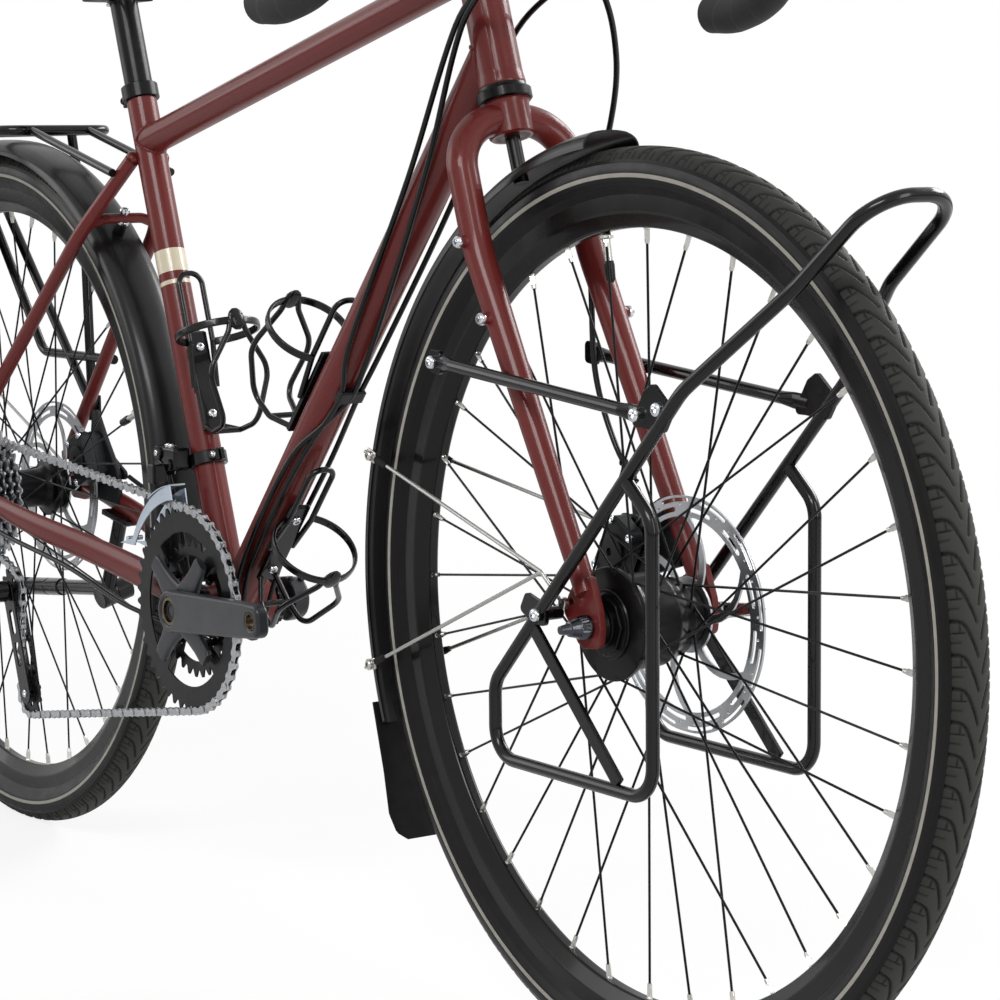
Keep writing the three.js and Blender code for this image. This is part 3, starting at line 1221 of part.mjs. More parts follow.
// Chainrings with teeth and four tabs, bolted to the arms of the right crank
const crankTurn = (i) => rad(crank.angle + 45 + 90 * i);
function chainring(teeth, phase, boltRadius, y) {
  const shape = new THREE.Shape(toothOutline(teeth, phase,
    teeth === ringTeeth).map((p) => new THREE.Vector2(p.x, p.z)));
  const inner = pitchRadius(teeth) - toothRoot - ringBand;
  const hole = new THREE.Path();
  const tab = ringTabWidth / 2;
  const reach = boltRadius - tab;
  for (let i = 0; i < 4; i++) {
    const middle = crankTurn(i);
    const corner = (turn, radius) => [radius * Math.cos(turn), radius * Math.sin(turn)];
    const half = tab / inner;
    if (i === 0) hole.moveTo(...corner(middle - half, inner));
    hole.lineTo(...corner(middle - half, inner));
    hole.lineTo(...corner(middle - tab / reach, reach));
    hole.lineTo(...corner(middle + tab / reach, reach));
    hole.lineTo(...corner(middle + half, inner));
    for (let k = 1; k < 6; k++) hole.lineTo(...corner(middle + half + ((Math.PI / 2 - 2 * half) * k) / 6,
      inner));
  }
  shape.holes.push(hole);
  const geometry = new THREE.ExtrudeGeometry(shape, { depth: toothThick, bevelEnabled: false });
  geometry.rotateX(Math.PI / 2);
  return geometry.translate(bottomBracket.x, y + toothThick / 2, bottomBracket.z);
}
const spiderNear = ringPlace + toothThick / 2 + clearance;
function smallChainring() {
  const posts = [0, 1, 2, 3].map((i) => {
    const centre = along(bottomBracket, at(Math.cos(crankTurn(i)), 0, Math.sin(crankTurn(i))),
      smallRingBoltRadius);
    return acrossY(centre, ringSpacing - ringPlace, clearance - spiderNear, crank.postRadius, 6);
  });
  return join([chainring(smallRingTeeth, 0, smallRingBoltRadius, ringSpacing - ringPlace), ...posts]);
}
add("chainring_large", chainring(ringTeeth, chainPhase(0), ringBoltRadius, -ringPlace), anodised);
add("chainring_small", smallChainring(), anodised);

// Crank arm: a boss on the spindle, a tapering arm that leans out, and the pedal's threaded eye
const crankForward = (hand) => inPlane(crank.angle + (hand > 0 ? 180 : 0));
function crankArm(hand) {
  const forward = crankForward(hand);
  const middleY = (share) => hand * (crank.inner + crank.thick / 2 + crank.flare * share);
  const point = (share) => {
    const p = along(bottomBracket, forward, crank.length * share);
    p.y = middleY(share);
    return p;
  };
  const arm = sweep([point(0), point(1 / 2), point(1)], (share) =>
    oval(crank.thick / 2 / Math.cos(Math.PI / 8),
      THREE.MathUtils.lerp(crank.wide, crank.wideTip, share) / Math.cos(Math.PI / 8), 8), false);
  const eye = along(bottomBracket, forward, crank.length);
  const tipY = middleY(1);
  const hubStart = hand * (crank.inner - crank.spiderThick);
  return {
    pieces: [
      arm,
      acrossY(bottomBracket, hubStart, hand * (crank.inner + crank.thick), crank.hubRadius, 16),
      acrossY(eye, tipY - (hand * crank.thick) / 2, tipY + (hand * crank.thick) / 2, crank.tipRadius, 14),
    ],
    cuts: [acrossY(eye, tipY - hand * crank.thick, tipY + hand * crank.thick, crank.pedalHole, 12)],
  };
}
const spindleInset = crank.inner + crank.thick;
function crankRight() {
  const { pieces, cuts } = crankArm(-1);
  const spiderFar = crank.inner;
  for (let i = 0; i < 4; i++) {
    const direction = at(Math.cos(crankTurn(i)), 0, Math.sin(crankTurn(i)));
    const centre = along(bottomBracket, direction, ringBoltRadius / 2);
    centre.y = -(spiderNear + spiderFar) / 2;
    pieces.push(slab(centre, direction, leftward, ringBoltRadius + crank.spiderArm, spiderFar - spiderNear,
      2 * crank.spiderArm));
  }
  pieces.push(acrossY(bottomBracket, -spindleInset + clearance, spindleInset - crank.thick, spindleRadius,
    16));
  return carve(join(pieces), cuts);
}
function crankLeft() {
  const { pieces, cuts } = crankArm(1);
  const bore = acrossY(bottomBracket, 0, spindleInset - crank.thick + clearance, spindleRadius + clearance,
    16);
  const slot = slab(along(bottomBracket, crankForward(1), -crank.hubRadius), crankForward(1), leftward,
    crank.hubRadius, 4 * crank.inner, crank.clampSlot);
  return carve(join(pieces), [...cuts, bore, slot]);
}
add("crank_right", crankRight(), darkAlloy);
add("crank_left", crankLeft(), darkAlloy);

// Cassette: nine sprockets on the freehub body, which runs on the axle
function cassette() {
  const discs = sprocketTeeth.map((teeth, i) => {
    const y = -cassettePlace - i * sprocketSpacing;
    const phase = i === chainSprocket ? chainPhase(1) : 0;
    return plate(toothOutline(teeth, phase, i === chainSprocket), y - toothThick / 2, y + toothThick / 2);
  });
  const last = -cassettePlace - (sprocketTeeth.length - 1) * sprocketSpacing;
  const end = runningGap - rearDropoutWidth / 2;
  const body = [
    acrossY(at(0, 0, 0), last - sprocketSpacing / 2, freehubStart, cassetteSpacerRadius, 10),
    acrossY(at(0, 0, 0), end, last, rearHub.endRadius, 10),
  ];
  const bore = acrossY(at(0, 0, 0), end - overrun, overrun + freehubStart, axleRadius + runningGap, 8);
  return carve(join([...body, ...discs]), [bore]).translate([0, 0, wheelRadius]);
}
add("cassette", cassette(), anodised);

// Derailleur pulleys, running on the cage's pins in the chain's plane
const pulleyPlace = cassettePlace + chainSprocket * sprocketSpacing;
function pulleyWheel(centre, order) {
  const outline = toothOutline(pulleyTeeth, chainPhase(order),
    true).map((p) => at(p.x + centre.x, 0, p.z + centre.z));
  return carve(plate(outline, -pulleyPlace - toothThick / 2, toothThick / 2 - pulleyPlace), [
    acrossY(centre, -2 * pulleyPlace, 0, pulley.bore, 10),
  ]);
}
add("guide_pulley", pulleyWheel(guidePoint, 2), anodised);
add("tension_pulley", pulleyWheel(tensionPoint, 3), anodised);

// Derailleur cage: two long plates with slots, joined by the pulleys' pins and a stop
function derailleurCage() {
  const far = -pulleyPlace + cage.gap;
  const near = -pulleyPlace - cage.gap;
  const outline = strapOutline(guidePoint, cage.round, tensionPoint, cage.round);
  const direction = tensionPoint.clone().sub(guidePoint).normalize();
  const plates = [plate(outline, far, far + cage.thick), plate(outline, near, near - cage.thick)];
  const pins = [guidePoint, tensionPoint].map((p) => acrossY(p, near - cage.thick / 2, far + cage.thick / 2,
    pulley.pin, 10));
  const slots = [3 / 10, 3 / 5].map((share) => {
    const centre = along(guidePoint, direction, cageLength * share);
    centre.y = -pulleyPlace;
    return slab(centre, direction, leftward, cage.slotLong, 6 * cage.gap, cage.slotWide);
  });
  return join([carve(plates[0], slots), carve(plates[1], slots), ...pins]);
}
add("derailleur_cage", derailleurCage(), satinBlack);

// Rear derailleur body: the knuckle on the hanger and the link down to the cage
function rearDerailleur() {
  const hanger = fromRear(derailleur.hangerX, 0, derailleur.hangerZ);
  const near = -(rearDropoutWidth / 2 + dropout.thick + clearance);
  const cageFace = -pulleyPlace - cage.gap - cage.thick - clearance;
  const lower = guidePoint.clone();
  return join([
    acrossY(hanger, near, near - derailleur.knuckleLong, derailleur.knuckle, 12),
    slab(
      at((hanger.x + lower.x) / 2, near - derailleur.knuckleLong / 2, (hanger.z + lower.z) / 2),
      lower.clone().sub(hanger).setY(0), leftward, hanger.distanceTo(lower), derailleur.linkThick,
        derailleur.linkWide,
    ),
    acrossY(lower, cageFace, near - derailleur.knuckleLong, derailleur.knuckle, 12),
  ]);
}
add("rear_derailleur", rearDerailleur(), satinBlack);

// Front derailleur: a clamp band with its body, and the cage that moves the chain
const changerCentre = onSeat(frontChanger.height);
function frontDerailleur() {
  const half = frontChanger.band / 2;
  const outerRadius = seatTubeRadius + clearance + frontChanger.wall;
  const bandLow = along(changerCentre, seatUp, -half);
  const bandHigh = along(changerCentre, seatUp, half);
  const body = slab(
    at(changerCentre.x - frontChanger.bodyLong / 2,
      -outerRadius - frontChanger.bodyThick / 2 + 2 * clearance, changerCentre.z),
    at(1, 0, 0), leftward, frontChanger.bodyLong, frontChanger.bodyThick, frontChanger.bodyTall,
  );
  return carve(join([rod(bandLow, bandHigh, outerRadius, 16), body]), [seatCutter(clearance)]);
}
add("front_derailleur", frontDerailleur(), satinBlack);
const cageArc = (radius, fromAngle, toAngle, steps) =>
  Array.from({ length: steps + 1 },
    (_, i) => along(bottomBracket, inPlane(fromAngle + ((toAngle - fromAngle) * i) / steps), radius));
function frontDerailleurCage() {
  const c = changerCage;
  const top = [[c.noseX, c.topZ], [c.tailTopX, c.topZ], [c.tailX, c.tailHighZ],
    [c.tailX - c.tailLean, c.tailLowZ]]
    .map(([x, z]) => at(bottomBracket.x + x, 0, bottomBracket.z + z));
  const sidePlate = (radius, y, out) => {
    const low = cageArc(radius, c.endAngle, c.startAngle, 6);
    return plate([...low, ...top], y, y + out * c.thick);
  };
  const bridge = (points) => plate(points, c.outerY - c.thick, c.innerY + c.thick);
  const roof = [top[0], top[1], at(top[1].x, 0, top[1].z - c.thick), at(top[0].x, 0, top[0].z - c.thick)];
  const tail = [top[2], top[3], at(top[3].x + c.thick, 0, top[3].z),
    at(top[2].x + c.thick, 0, top[2].z - c.topZ / 4)];
  const under = changerCentre.z - frontChanger.bodyTall / 2 - clearance;
  const padLow = bottomBracket.z + c.topZ - c.thick;
  const pad = slab(
    at(changerCentre.x - frontChanger.bodyLong / 2, (c.outerY + c.padY) / 2, (under + padLow) / 2),
    at(1, 0, 0), leftward, frontChanger.bodyLong / 2, c.padY - c.outerY, under - padLow,
  );
  return join([
    sidePlate(c.outerRadius, c.outerY, -1), sidePlate(c.innerRadius, c.innerY, 1), bridge(roof),
      bridge(tail), pad,
  ]);
}
add("front_derailleur_cage", frontDerailleurCage(), steel);

// Disc calipers with their actuating arms
function caliperFrame(axle, hub, angle) {
  const y = hub.rotorSeat + clearance + rotorThickness / 2;
  const centre = along(axle, inPlane(angle), caliperReach);
  centre.y = y;
  return { centre, out: inPlane(angle), round: inPlane(angle + 90) };
}
function caliperBody(axle, hub, angle, bracket, cuts) {
  const { centre, out, round } = caliperFrame(axle, hub, angle);
  const corners = [[-1, -1], [1, -1], [1, 1], [-1, 1]].map(([u, v]) =>
    along(along(centre, round, (u * caliper.long) / 2), out, (v * caliper.tall) / 2 + caliper.round / 2));
  const outline = route(corners.map((p) => p.clone().setY(0)), caliper.round, true, 45);
  const body = plate(outline, centre.y - caliper.wide / 2, centre.y + caliper.wide / 2);
  const tie = plate(bracket.map(([x, z]) => at(axle.x + x, 0, axle.z + z)),
    centre.y + caliper.wide / 2 - caliper.tie, centre.y + caliper.wide / 2);
  const slot = acrossY(axle, centre.y - caliper.slot / 2, centre.y + caliper.slot / 2,
    rotorRadius + 2 * runningGap, 24);
  return carve(join([body, tie]), [slot, ...cuts]);
}
function caliperArm(axle, hub, angle) {
  const { centre, out, round } = caliperFrame(axle, hub, angle);
  const pivot = along(centre, out, caliper.round / 2);
  const tip = along(pivot, round.clone().multiplyScalar(-1).add(out).normalize(), caliper.armLong);
  const face = centre.y + caliper.wide / 2 + clearance;
  const outline = strapOutline(pivot.clone().setY(0), caliper.armWide, tip.clone().setY(0),
    caliper.armWide / 2);
  return plate(outline, face, face + caliper.armThick);
}
const bladeCutter = sweep(bladeLine(1), () => oval(blade.midRadius, blade.midRadius, 8), false, steerForward);
const stayCutter = pipe(route(seatstayLine(1), seatstay.kneeBack * 2),
  across(seatstay.radius + clearance, 10), 10);
add("front_caliper", caliperBody(frontAxle, frontHub, frontCaliperAngle, caliper.frontTie, [bladeCutter]),
  anodised);
add("front_caliper_arm", caliperArm(frontAxle, frontHub, frontCaliperAngle), anodised);
add("rear_caliper", caliperBody(rearAxle, rearHub, rearCaliperAngle, caliper.rearTie,
  [stayCutter, chainstayTube(1, clearance)]), anodised);
add("rear_caliper_arm", caliperArm(rearAxle, rearHub, rearCaliperAngle), anodised);

// Kickstand: a mount under the left chainstay and a telescopic leg folded back
const kickPivot = fromRear(kickstand.pivotX, kickstand.pivotSide, kickstand.pivotZ);
const kickAxis = at(-kickstand.toe, kickstand.splay, 1).setZ(kickstand.lift).normalize();
const legDirection = inPlane(180 + kickstand.sag);
function kickstandMount() {
  const share = (kickstand.mountX - stay.endRun) / (bottomBracket.x - stay.endRun);
  const under = fromRear(kickstand.mountX, kickstand.mountSide, 0);
  under.z -= bottomBracketDrop * share + kickstand.stayHalf + kickstand.plateThick / 2 - stay.rearTall / 2;
  const slope = at(stay.endRun - bottomBracket.x, 0, bottomBracketDrop);
  const inner = along(kickPivot, kickAxis, -kickstand.bossWide / 2 - clearance);
  const body = join([
    slab(under, slope, leftward, kickstand.plateLong, kickstand.plateWide, kickstand.plateThick),
    rod(under, inner, kickstand.neck / 2, 8, kickstand.neck / 2),
    rod(along(kickPivot, kickAxis, -kickstand.bossWide), along(kickPivot, kickAxis, -clearance),
      kickstand.boss, 12),
  ]);
  const face = along(kickPivot, kickAxis, -clearance);
  return carve(body, [chainstayTube(1, clearance),
    rod(face, along(face, kickAxis, 2 * kickstand.boss), 2 * kickstand.boss, 12)]);
}
add("kickstand_mount", kickstandMount(), satinBlack);
function kickstandLeg() {
  const start = along(kickPivot, kickAxis, clearance + kickstand.footRadius);
  const joint = along(start, legDirection, kickstand.length * (1 - kickstand.footShare));
  const end = along(start, legDirection, kickstand.length);
  return join([
    rod(start, along(joint, legDirection, overrun), kickstand.legRadius, 10),
    rod(joint, end, kickstand.footRadius, 10),
    rod(kickPivot, along(kickPivot, kickAxis, 2 * kickstand.footRadius), kickstand.boss, 12),
  ]);
}
add("kickstand_leg", kickstandLeg(), satinBlack);

// Bottle cage: a back plate, a tall wire loop, a flat band round the bottle and wires to its foot
function bottleCage() {
  const b = bottle;
  const axisX = b.standOff + b.plateThick + b.radius;
  const steps = b.ringSteps;
  const ring = Array.from({ length: steps + 1 }, (_, i) => {
    const turn = rad(-160 + (320 * i) / steps);
    return at(axisX + b.radius * Math.cos(turn), b.radius * Math.sin(turn), b.ringHeight);
  });
  const pieces = [
    new THREE.BoxGeometry(b.plateThick, b.plateWide, b.plateLong).translate(b.standOff + b.plateThick / 2,
      0, b.plateLong / 2),
    pipe(route([at(b.standOff + b.plateThick / 2, -b.loopHalf, b.ringHeight / 2),
      at(b.loopOut, -b.loopHalf, b.ringHeight), at(b.loopOut, -b.loopHalf, b.loopTop),
      at(b.loopOut, b.loopHalf, b.loopTop), at(b.loopOut, b.loopHalf, b.ringHeight),
        at(b.standOff + b.plateThick / 2, b.loopHalf, b.ringHeight / 2)],
      b.loopHalf * (9 / 10), false, 45), b.wire, b.sides, false, at(1, 0, 0)),
    sweep(ring, () => block(b.bandTall, b.bandThick), false, at(0, 0, 1)),
  ];
  for (const hand of [-1, 1]) {
    const turn = rad(hand * b.wireSpread);
    const high = at(axisX + b.radius * Math.cos(turn), b.radius * Math.sin(turn), b.ringHeight);
    const corners = [
      high, at(b.footReach, hand * b.footHalf, b.floor), at(b.footReach / 2, hand * b.footHalf, b.floor),
      at(b.standOff + b.plateThick / 2, hand * (b.plateWide / 2 - b.wire), b.wire * 2),
    ];
    pieces.push(pipe(route(corners, b.footBend, false, 45), b.wire, b.sides));
  }
  for (const end of [-1, 1]) {
    const height = b.plateLong / 2 + (end * b.bossGap) / 2;
    pieces.push(rod(at(clearance, 0, height), at(b.standOff + b.plateThick / 2, 0, height), b.bossRadius, 8));
  }
  pieces.push(rod(at(b.footReach / 2, -b.footHalf, b.floor), at(b.footReach / 2, b.footHalf, b.floor),
    b.wire, b.sides));
  return join(pieces);
}
const cageSolid = bottleCage();
function placeCage(name, base, tubeDirection, away) {
  const mesh = add(name, cageSolid, satinBlack);
  mesh.applyMatrix4(new THREE.Matrix4().makeBasis(away, tubeDirection.clone().cross(away),
    tubeDirection).setPosition(base));
}
const downDirection = downTubeTop.clone().sub(bottomBracket).normalize();
const downOut = at(downDirection.z, 0, -downDirection.x);
const seatOut = at(seatUp.z, 0, -seatUp.x);
placeCage("bottle_cage_seat_tube", along(onSeat(seatCagePlace), seatOut, seatTubeRadius), seatUp, seatOut);
placeCage("bottle_cage_down_tube", along(along(bottomBracket, downDirection, downCagePlace), downOut,
  -downTubeRadius), downDirection, downOut.clone().negate());
placeCage("bottle_cage_under_tube", along(along(bottomBracket, downDirection, underCagePlace), downOut,
  downTubeRadius), downDirection, downOut);

// Control cables: from under the tape, past the head tube and along the down tube under one clip,
// then to the rear derailleur, the front derailleur and the rear brake
const onDown = (run, out, side) => {
  const p = along(along(bottomBracket, downDirection, run), downOut, out);
  p.y = side;
  return p;
};
const tubeHug = downTubeRadius + 2 * cableRadius;
const hugging = (run, lean) => onDown(run, tubeHug * Math.cos(rad(lean)), -tubeHug * Math.sin(rad(lean)));
function cableStart(hand) {
  const c = cableRun;
  return [
    at(barCentre.x + c.tapeForward, hand * c.tapeSide, barCentre.z - c.tapeDrop),
    at(barCentre.x + c.loopForward, hand * c.loopSide, barCentre.z - c.loopDrop),
    at(onSteer(headTop).x + c.passForward, hand * c.passSide, onSteer(headTop).z - c.passDrop),
  ];
}
const underShell = (x, side) => at(bottomBracket.x + x, side,
  bottomBracket.z - shellRadius - 3 * cableRadius);
function controlCables() {
  const c = cableRun;
  const right = [
    ...cableStart(-1), hugging(c.sideRun, 100), hugging(c.clipRun + 3 * c.clipLong, 50),
      hugging(c.clipRun, c.clipLean),
    hugging(c.cageRun, 44), hugging(c.lowRun, 44), underShell(c.shellFront, -12),
      underShell(-c.shellFront, -18),
    ...c.rightStay.map((p) => fromRear(...p)),
  ];
  const middle = [
    ...cableStart(-1).map((p) => p.clone().add(at(c.apart, 0, 0))), hugging(c.sideRun + c.clipLong, 62),
    hugging(c.clipRun + 2 * c.clipLong, 0), hugging(c.clipRun, 0), hugging((c.clipRun + c.cageRun) / 2, 34),
      hugging(c.cageRun, 64), hugging(c.lowRun, 64),
    underShell(c.shellFront, -22), underShell(-c.shellFront, -26), ...c.changer.map((p) => fromRear(...p)),
  ];
  const left = [
    ...cableStart(1), hugging(c.sideRun, -70), hugging(c.clipRun + 3 * c.clipLong, -30),
      hugging(c.clipRun, -c.clipLean),
    hugging(c.cageRun, -44), hugging(c.lowRun, -44), underShell(c.shellFront, 12),
      underShell(-c.shellFront, 20), ...c.leftStay.map((p) => fromRear(...p)),
  ];
  const clip = slab(onDown(c.clipRun, downTubeRadius + clearance + c.clipHigh / 2, 0), downDirection,
    leftward,
    c.clipLong, c.clipWide, c.clipHigh);
  const cables = [right, middle, left].map((points) => pipe(smooth(points, c.steps), cableRadius,
    cableSides));
  return join([...cables, clip]);
}
add("control_cables", controlCables(), rubber);

// Front brake cable: from under the right-hand tape down behind the left blade to the caliper
function frontBrakeCable() {
  const points = [
    at(barCentre.x + cableRun.tapeForward, 2 * cableRun.apart - cableRun.tapeSide,
      barCentre.z - cableRun.tapeDrop),
    ...cableRun.frontBrake.map((p) => fromFront(...p)),
  ];
  return pipe(smooth(points, 22), cableRadius, cableSides);
}
add("front_brake_cable", frontBrakeCable(), rubber);

// Seat post with its head, and the saddle on two rails
const saddleBase = onSeat(saddleHeight - saddle.height);
function saddleRail(hand, grow) {
  const s = saddle;
  const low = saddleBase.z - s.railDrop;
  const x = (share) => saddleBase.x - s.back + s.length * share;
  const corners = [
    at(x(s.railNoseShare), (hand * s.noseHalf) / 2, saddleBase.z + s.railEmbed),
      at(x(s.railFrontShare), hand * s.railHalf, low),
    at(x(s.railBackShare), hand * s.railHalf, low),
      at(x(s.railTailShare), hand * s.railHalf * 2, saddleBase.z + s.railEmbed),
  ];
  return pipe(route(corners, s.railDrop, false, 36), s.railRadius + grow, 7);
}
function seatPost() {
  const railZ = saddleBase.z - saddle.railDrop;
  const headCentre = at(saddleBase.x, 0, railZ);
  const whole = join([
    rod(onSeat(seatTubeLength - postInsert), onSeat(saddleHeight - saddle.height - saddle.railDrop),
      seatPostRadius, 16),
    slab(headCentre, at(1, 0, 0), leftward, saddle.clampLong, saddle.clampWide, saddle.clampTall),
  ]);
  return carve(whole, [saddleRail(-1, 2 * clearance), saddleRail(1, 2 * clearance)]);
}
add("seatpost", seatPost(), anodised);
function saddleTop() {
  const s = saddle;
  const rings = [];
  const outline = [];
  for (let i = 0; i < s.rings; i++) {
    const share = i / (s.rings - 1);
    const x = saddleBase.x - s.back + s.length * share;
    const flare = 1 / (1 + Math.exp(14 * (share - 0.42)));
    const endRound = Math.sqrt(Math.max(1 - (2 * share - 1) ** 6, 0.12));
    const half = (s.noseHalf + (s.halfWidth - s.noseHalf) * flare) * endRound;
    const top = saddleBase.z + s.height + s.kick * (1 - share) ** 3 - s.dip * Math.sin(Math.PI * share);
    const ring = [];
    for (let j = 0; j < s.sides; j++) {
      const turn = (2 * Math.PI * (j + 0.5)) / s.sides;
      const up = Math.sin(turn);
      const depth = up > 0 ? s.crown : s.height - s.crown - s.dip;
      ring.push(at(x, half * Math.sign(Math.cos(turn)) * Math.abs(Math.cos(turn)) ** 0.7,
        top - s.crown + depth * up * endRound));
    }
    rings.push(ring);
    if (i === 0) outline.push(...ring.map((p) => new THREE.Vector2(p.y, p.z)));
  }
  const endOutline = rings[rings.length - 1].map((p) => new THREE.Vector2(p.y, p.z));
  return join([loft(rings, false, outline, endOutline), saddleRail(-1, 0), saddleRail(1, 0)]);
}
add("saddle", saddleTop(), leather);

bicycle.position.x = -shift;
const part = new THREE.Group();
part.add(bicycle);
export default part;
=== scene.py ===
"""A touring bicycle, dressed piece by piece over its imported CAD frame.

Lengths are millimetres in the layout of the CAD source: X forward from the rear axle, Y to the rider's left,
Z up from the ground. build() turns them into the scene's metres.
"""

import math

import bmesh
import bpy
import numpy as np
from mathutils import Matrix
from mathutils.geometry import delaunay_2d_cdt


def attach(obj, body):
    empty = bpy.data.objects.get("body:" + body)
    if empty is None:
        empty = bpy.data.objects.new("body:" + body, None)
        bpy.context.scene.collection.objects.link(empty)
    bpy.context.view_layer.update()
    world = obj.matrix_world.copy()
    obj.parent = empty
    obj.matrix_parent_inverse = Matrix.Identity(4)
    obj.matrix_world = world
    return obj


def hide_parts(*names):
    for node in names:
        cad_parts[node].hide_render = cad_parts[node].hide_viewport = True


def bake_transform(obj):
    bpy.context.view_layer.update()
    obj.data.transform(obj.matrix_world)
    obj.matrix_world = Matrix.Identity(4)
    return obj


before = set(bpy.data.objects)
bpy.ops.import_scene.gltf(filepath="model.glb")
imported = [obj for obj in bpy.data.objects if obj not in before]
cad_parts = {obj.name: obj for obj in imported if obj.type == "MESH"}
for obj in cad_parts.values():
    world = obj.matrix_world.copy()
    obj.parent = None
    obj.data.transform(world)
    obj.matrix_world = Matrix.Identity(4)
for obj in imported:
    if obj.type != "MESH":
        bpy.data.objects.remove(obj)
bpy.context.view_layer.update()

# Layout
MIDDLE = 531.0
WHEEL_RADIUS = 349.0
WHEELBASE = 1077.0
SEAT_ANGLE = 71.1
HEAD_ANGLE = 71.5
CROWN_HEIGHT = 420.0
HEAD_BOTTOM = CROWN_HEIGHT + 12.3
HEAD_TOP = HEAD_BOTTOM + 125.0
STEM_MIDDLE = HEAD_TOP + 54.0
WHEEL_TO_BRACKET = 458.0
BRACKET_DROP = 66.0
FORK_RAKE = 48.0
SEAT_TUBE_LENGTH = 490.0
SEAT_JOINT = SEAT_TUBE_LENGTH - 41.0
POST_TOP = SEAT_TUBE_LENGTH + 178.0
SEAT_RADIUS = TOP_RADIUS = 14.3
DOWN_RADIUS = 17.5
HEAD_RADIUS = 18.0
POST_RADIUS = 13.2
CRANK_LENGTH = 170.5
CRANK_TURN = 4.6
CHAIN_LINKS = 120
LARGE_TEETH, LARGE_BOLTS = 46, 55
SMALL_TEETH, SMALL_BOLTS = 30, 42
PULLEY_TEETH = 11
DISC_RADIUS = 90
FORK_END = 56.0
FRAME_END = 72.5
RACK_TUBE = 5.0
CAGE_WIRE = 2.6
HOUSING_RADIUS = 2.4
RING_PLACE = 49.5
CHAIN_PITCH = 12.7
BAR_HALF = 204.0
RIGHT, LEFT = -1, 1
SIDES = (RIGHT, "right"), (LEFT, "left")


def vec(*parts):
    return np.array(parts, float)


def full_turn(steps):
    """Angles of equal steps round a full turn."""
    return 2 * math.pi * np.arange(steps) / steps


def plane(angle):
    """Unit direction in the bicycle's own plane, at an angle up from straight ahead."""
    turn = math.radians(angle)
    return vec(math.cos(turn), 0, math.sin(turn))


def unit(vector):
    vector = np.asarray(vector, float)
    return vector / np.linalg.norm(vector, axis=-1, keepdims=True)


SIDEWAYS = vec(0, 1, 0)
UPRIGHT = vec(0, 0, 1)
REAR_AXLE = vec(0, 0, WHEEL_RADIUS)
FRONT_AXLE = vec(WHEELBASE, 0, WHEEL_RADIUS)
BOTTOM_BRACKET = vec(math.sqrt(WHEEL_TO_BRACKET**2 - BRACKET_DROP**2), 0, WHEEL_RADIUS - BRACKET_DROP)
STEER_UP = plane(180 - HEAD_ANGLE)
STEER_AHEAD = plane(90 - HEAD_ANGLE)
STEER_FOOT = FRONT_AXLE - FORK_RAKE * STEER_AHEAD
SEAT_UP = plane(180 - SEAT_ANGLE)
SEAT_AHEAD = plane(90 - SEAT_ANGLE)


def on_steer(height, side=0.0):
    return STEER_FOOT + height * STEER_UP + side * SIDEWAYS


def on_seat(height):
    return BOTTOM_BRACKET + height * SEAT_UP


def front(x, y, z):
    return FRONT_AXLE + vec(x, y, z)


def rear(x, y, z):
    return REAR_AXLE + vec(x, y, z)


DOWN_TOP = on_steer(HEAD_BOTTOM + 32)
DOWN_ALONG = unit(DOWN_TOP - BOTTOM_BRACKET)
DOWN_OUT = vec(DOWN_ALONG[2], 0, -DOWN_ALONG[0])
STEM_ALONG = plane(12.5)
BAR_CENTRE = on_steer(STEM_MIDDLE) + 90 * STEM_ALONG


# Paths

def resample(path, count):
    """Points spaced evenly by arc length along a polyline."""
    run = np.concatenate([[0], np.cumsum(np.linalg.norm(np.diff(path, axis=0), axis=1))])
    wanted = np.linspace(0, run[-1], count)
    return np.stack([np.interp(wanted, run, path[:, k]) for k in range(3)], 1)


def curve(points, count):
    """Centripetal Catmull-Rom curve: each span is a Hermite cubic whose end slopes weigh the neighbours
    by the roots of their distances."""
    p = np.array(points, float)
    p = np.vstack([2 * p[0] - p[1], p, 2 * p[-1] - p[-2]])
    gap = np.sqrt(np.linalg.norm(np.diff(p, axis=0), axis=1))
    t = np.linspace(0, 1, 24, endpoint=False)[:, None]
    spans = []
    for i in range(1, len(p) - 2):
        a, b, c = gap[i - 1 : i + 2]
        leave = ((p[i] - p[i - 1]) / a - (p[i + 1] - p[i - 1]) / (a + b) + (p[i + 1] - p[i]) / b) * b
        arrive = ((p[i + 1] - p[i]) / b - (p[i + 2] - p[i]) / (b + c) + (p[i + 2] - p[i + 1]) / c) * b
        spans.append(
            (2 * t**3 - 3 * t**2 + 1) * p[i] + (t**3 - 2 * t**2 + t) * leave
            + (3 * t**2 - 2 * t**3) * p[i + 1] + (t**3 - t**2) * arrive
        )
    return resample(np.vstack(spans + [p[-2][None]]), count)


def bent(corners, bends, closed=False, step=7.5):
    """Straight runs joined by arcs: the arc at a corner touches both runs, bend*tan(turn/2) from the
    corner."""
    corners = [np.asarray(c, float) for c in corners]
    count = len(corners)
    bends = bends if np.ndim(bends) else [bends] * count
    path = []
    for i, (corner, bend) in enumerate(zip(corners, bends)):
        if (not closed and i in (0, count - 1)) or not bend:
            path.append(corner[None])
            continue
        back = unit(corners[i - 1] - corner)
        ahead = unit(corners[(i + 1) % count] - corner)
        turn = math.pi - math.acos(np.clip(back @ ahead, -1, 1))
        if turn < 0.02:
            path.append(corner[None])
            continue
        centre = corner + unit(back + ahead) * bend / math.cos(turn / 2)
        start = corner + back * bend * math.tan(turn / 2) - centre
        finish = corner + ahead * bend * math.tan(turn / 2) - centre
        axis = unit(np.cross(start, finish))
        angle = np.linspace(0, turn, max(2, round(math.degrees(turn) / step)) + 1)[:, None]
        path.append(centre + start * np.cos(angle) + np.cross(axis, start) * np.sin(angle))
    return np.vstack(path)


# Surfaces: each returns points and faces

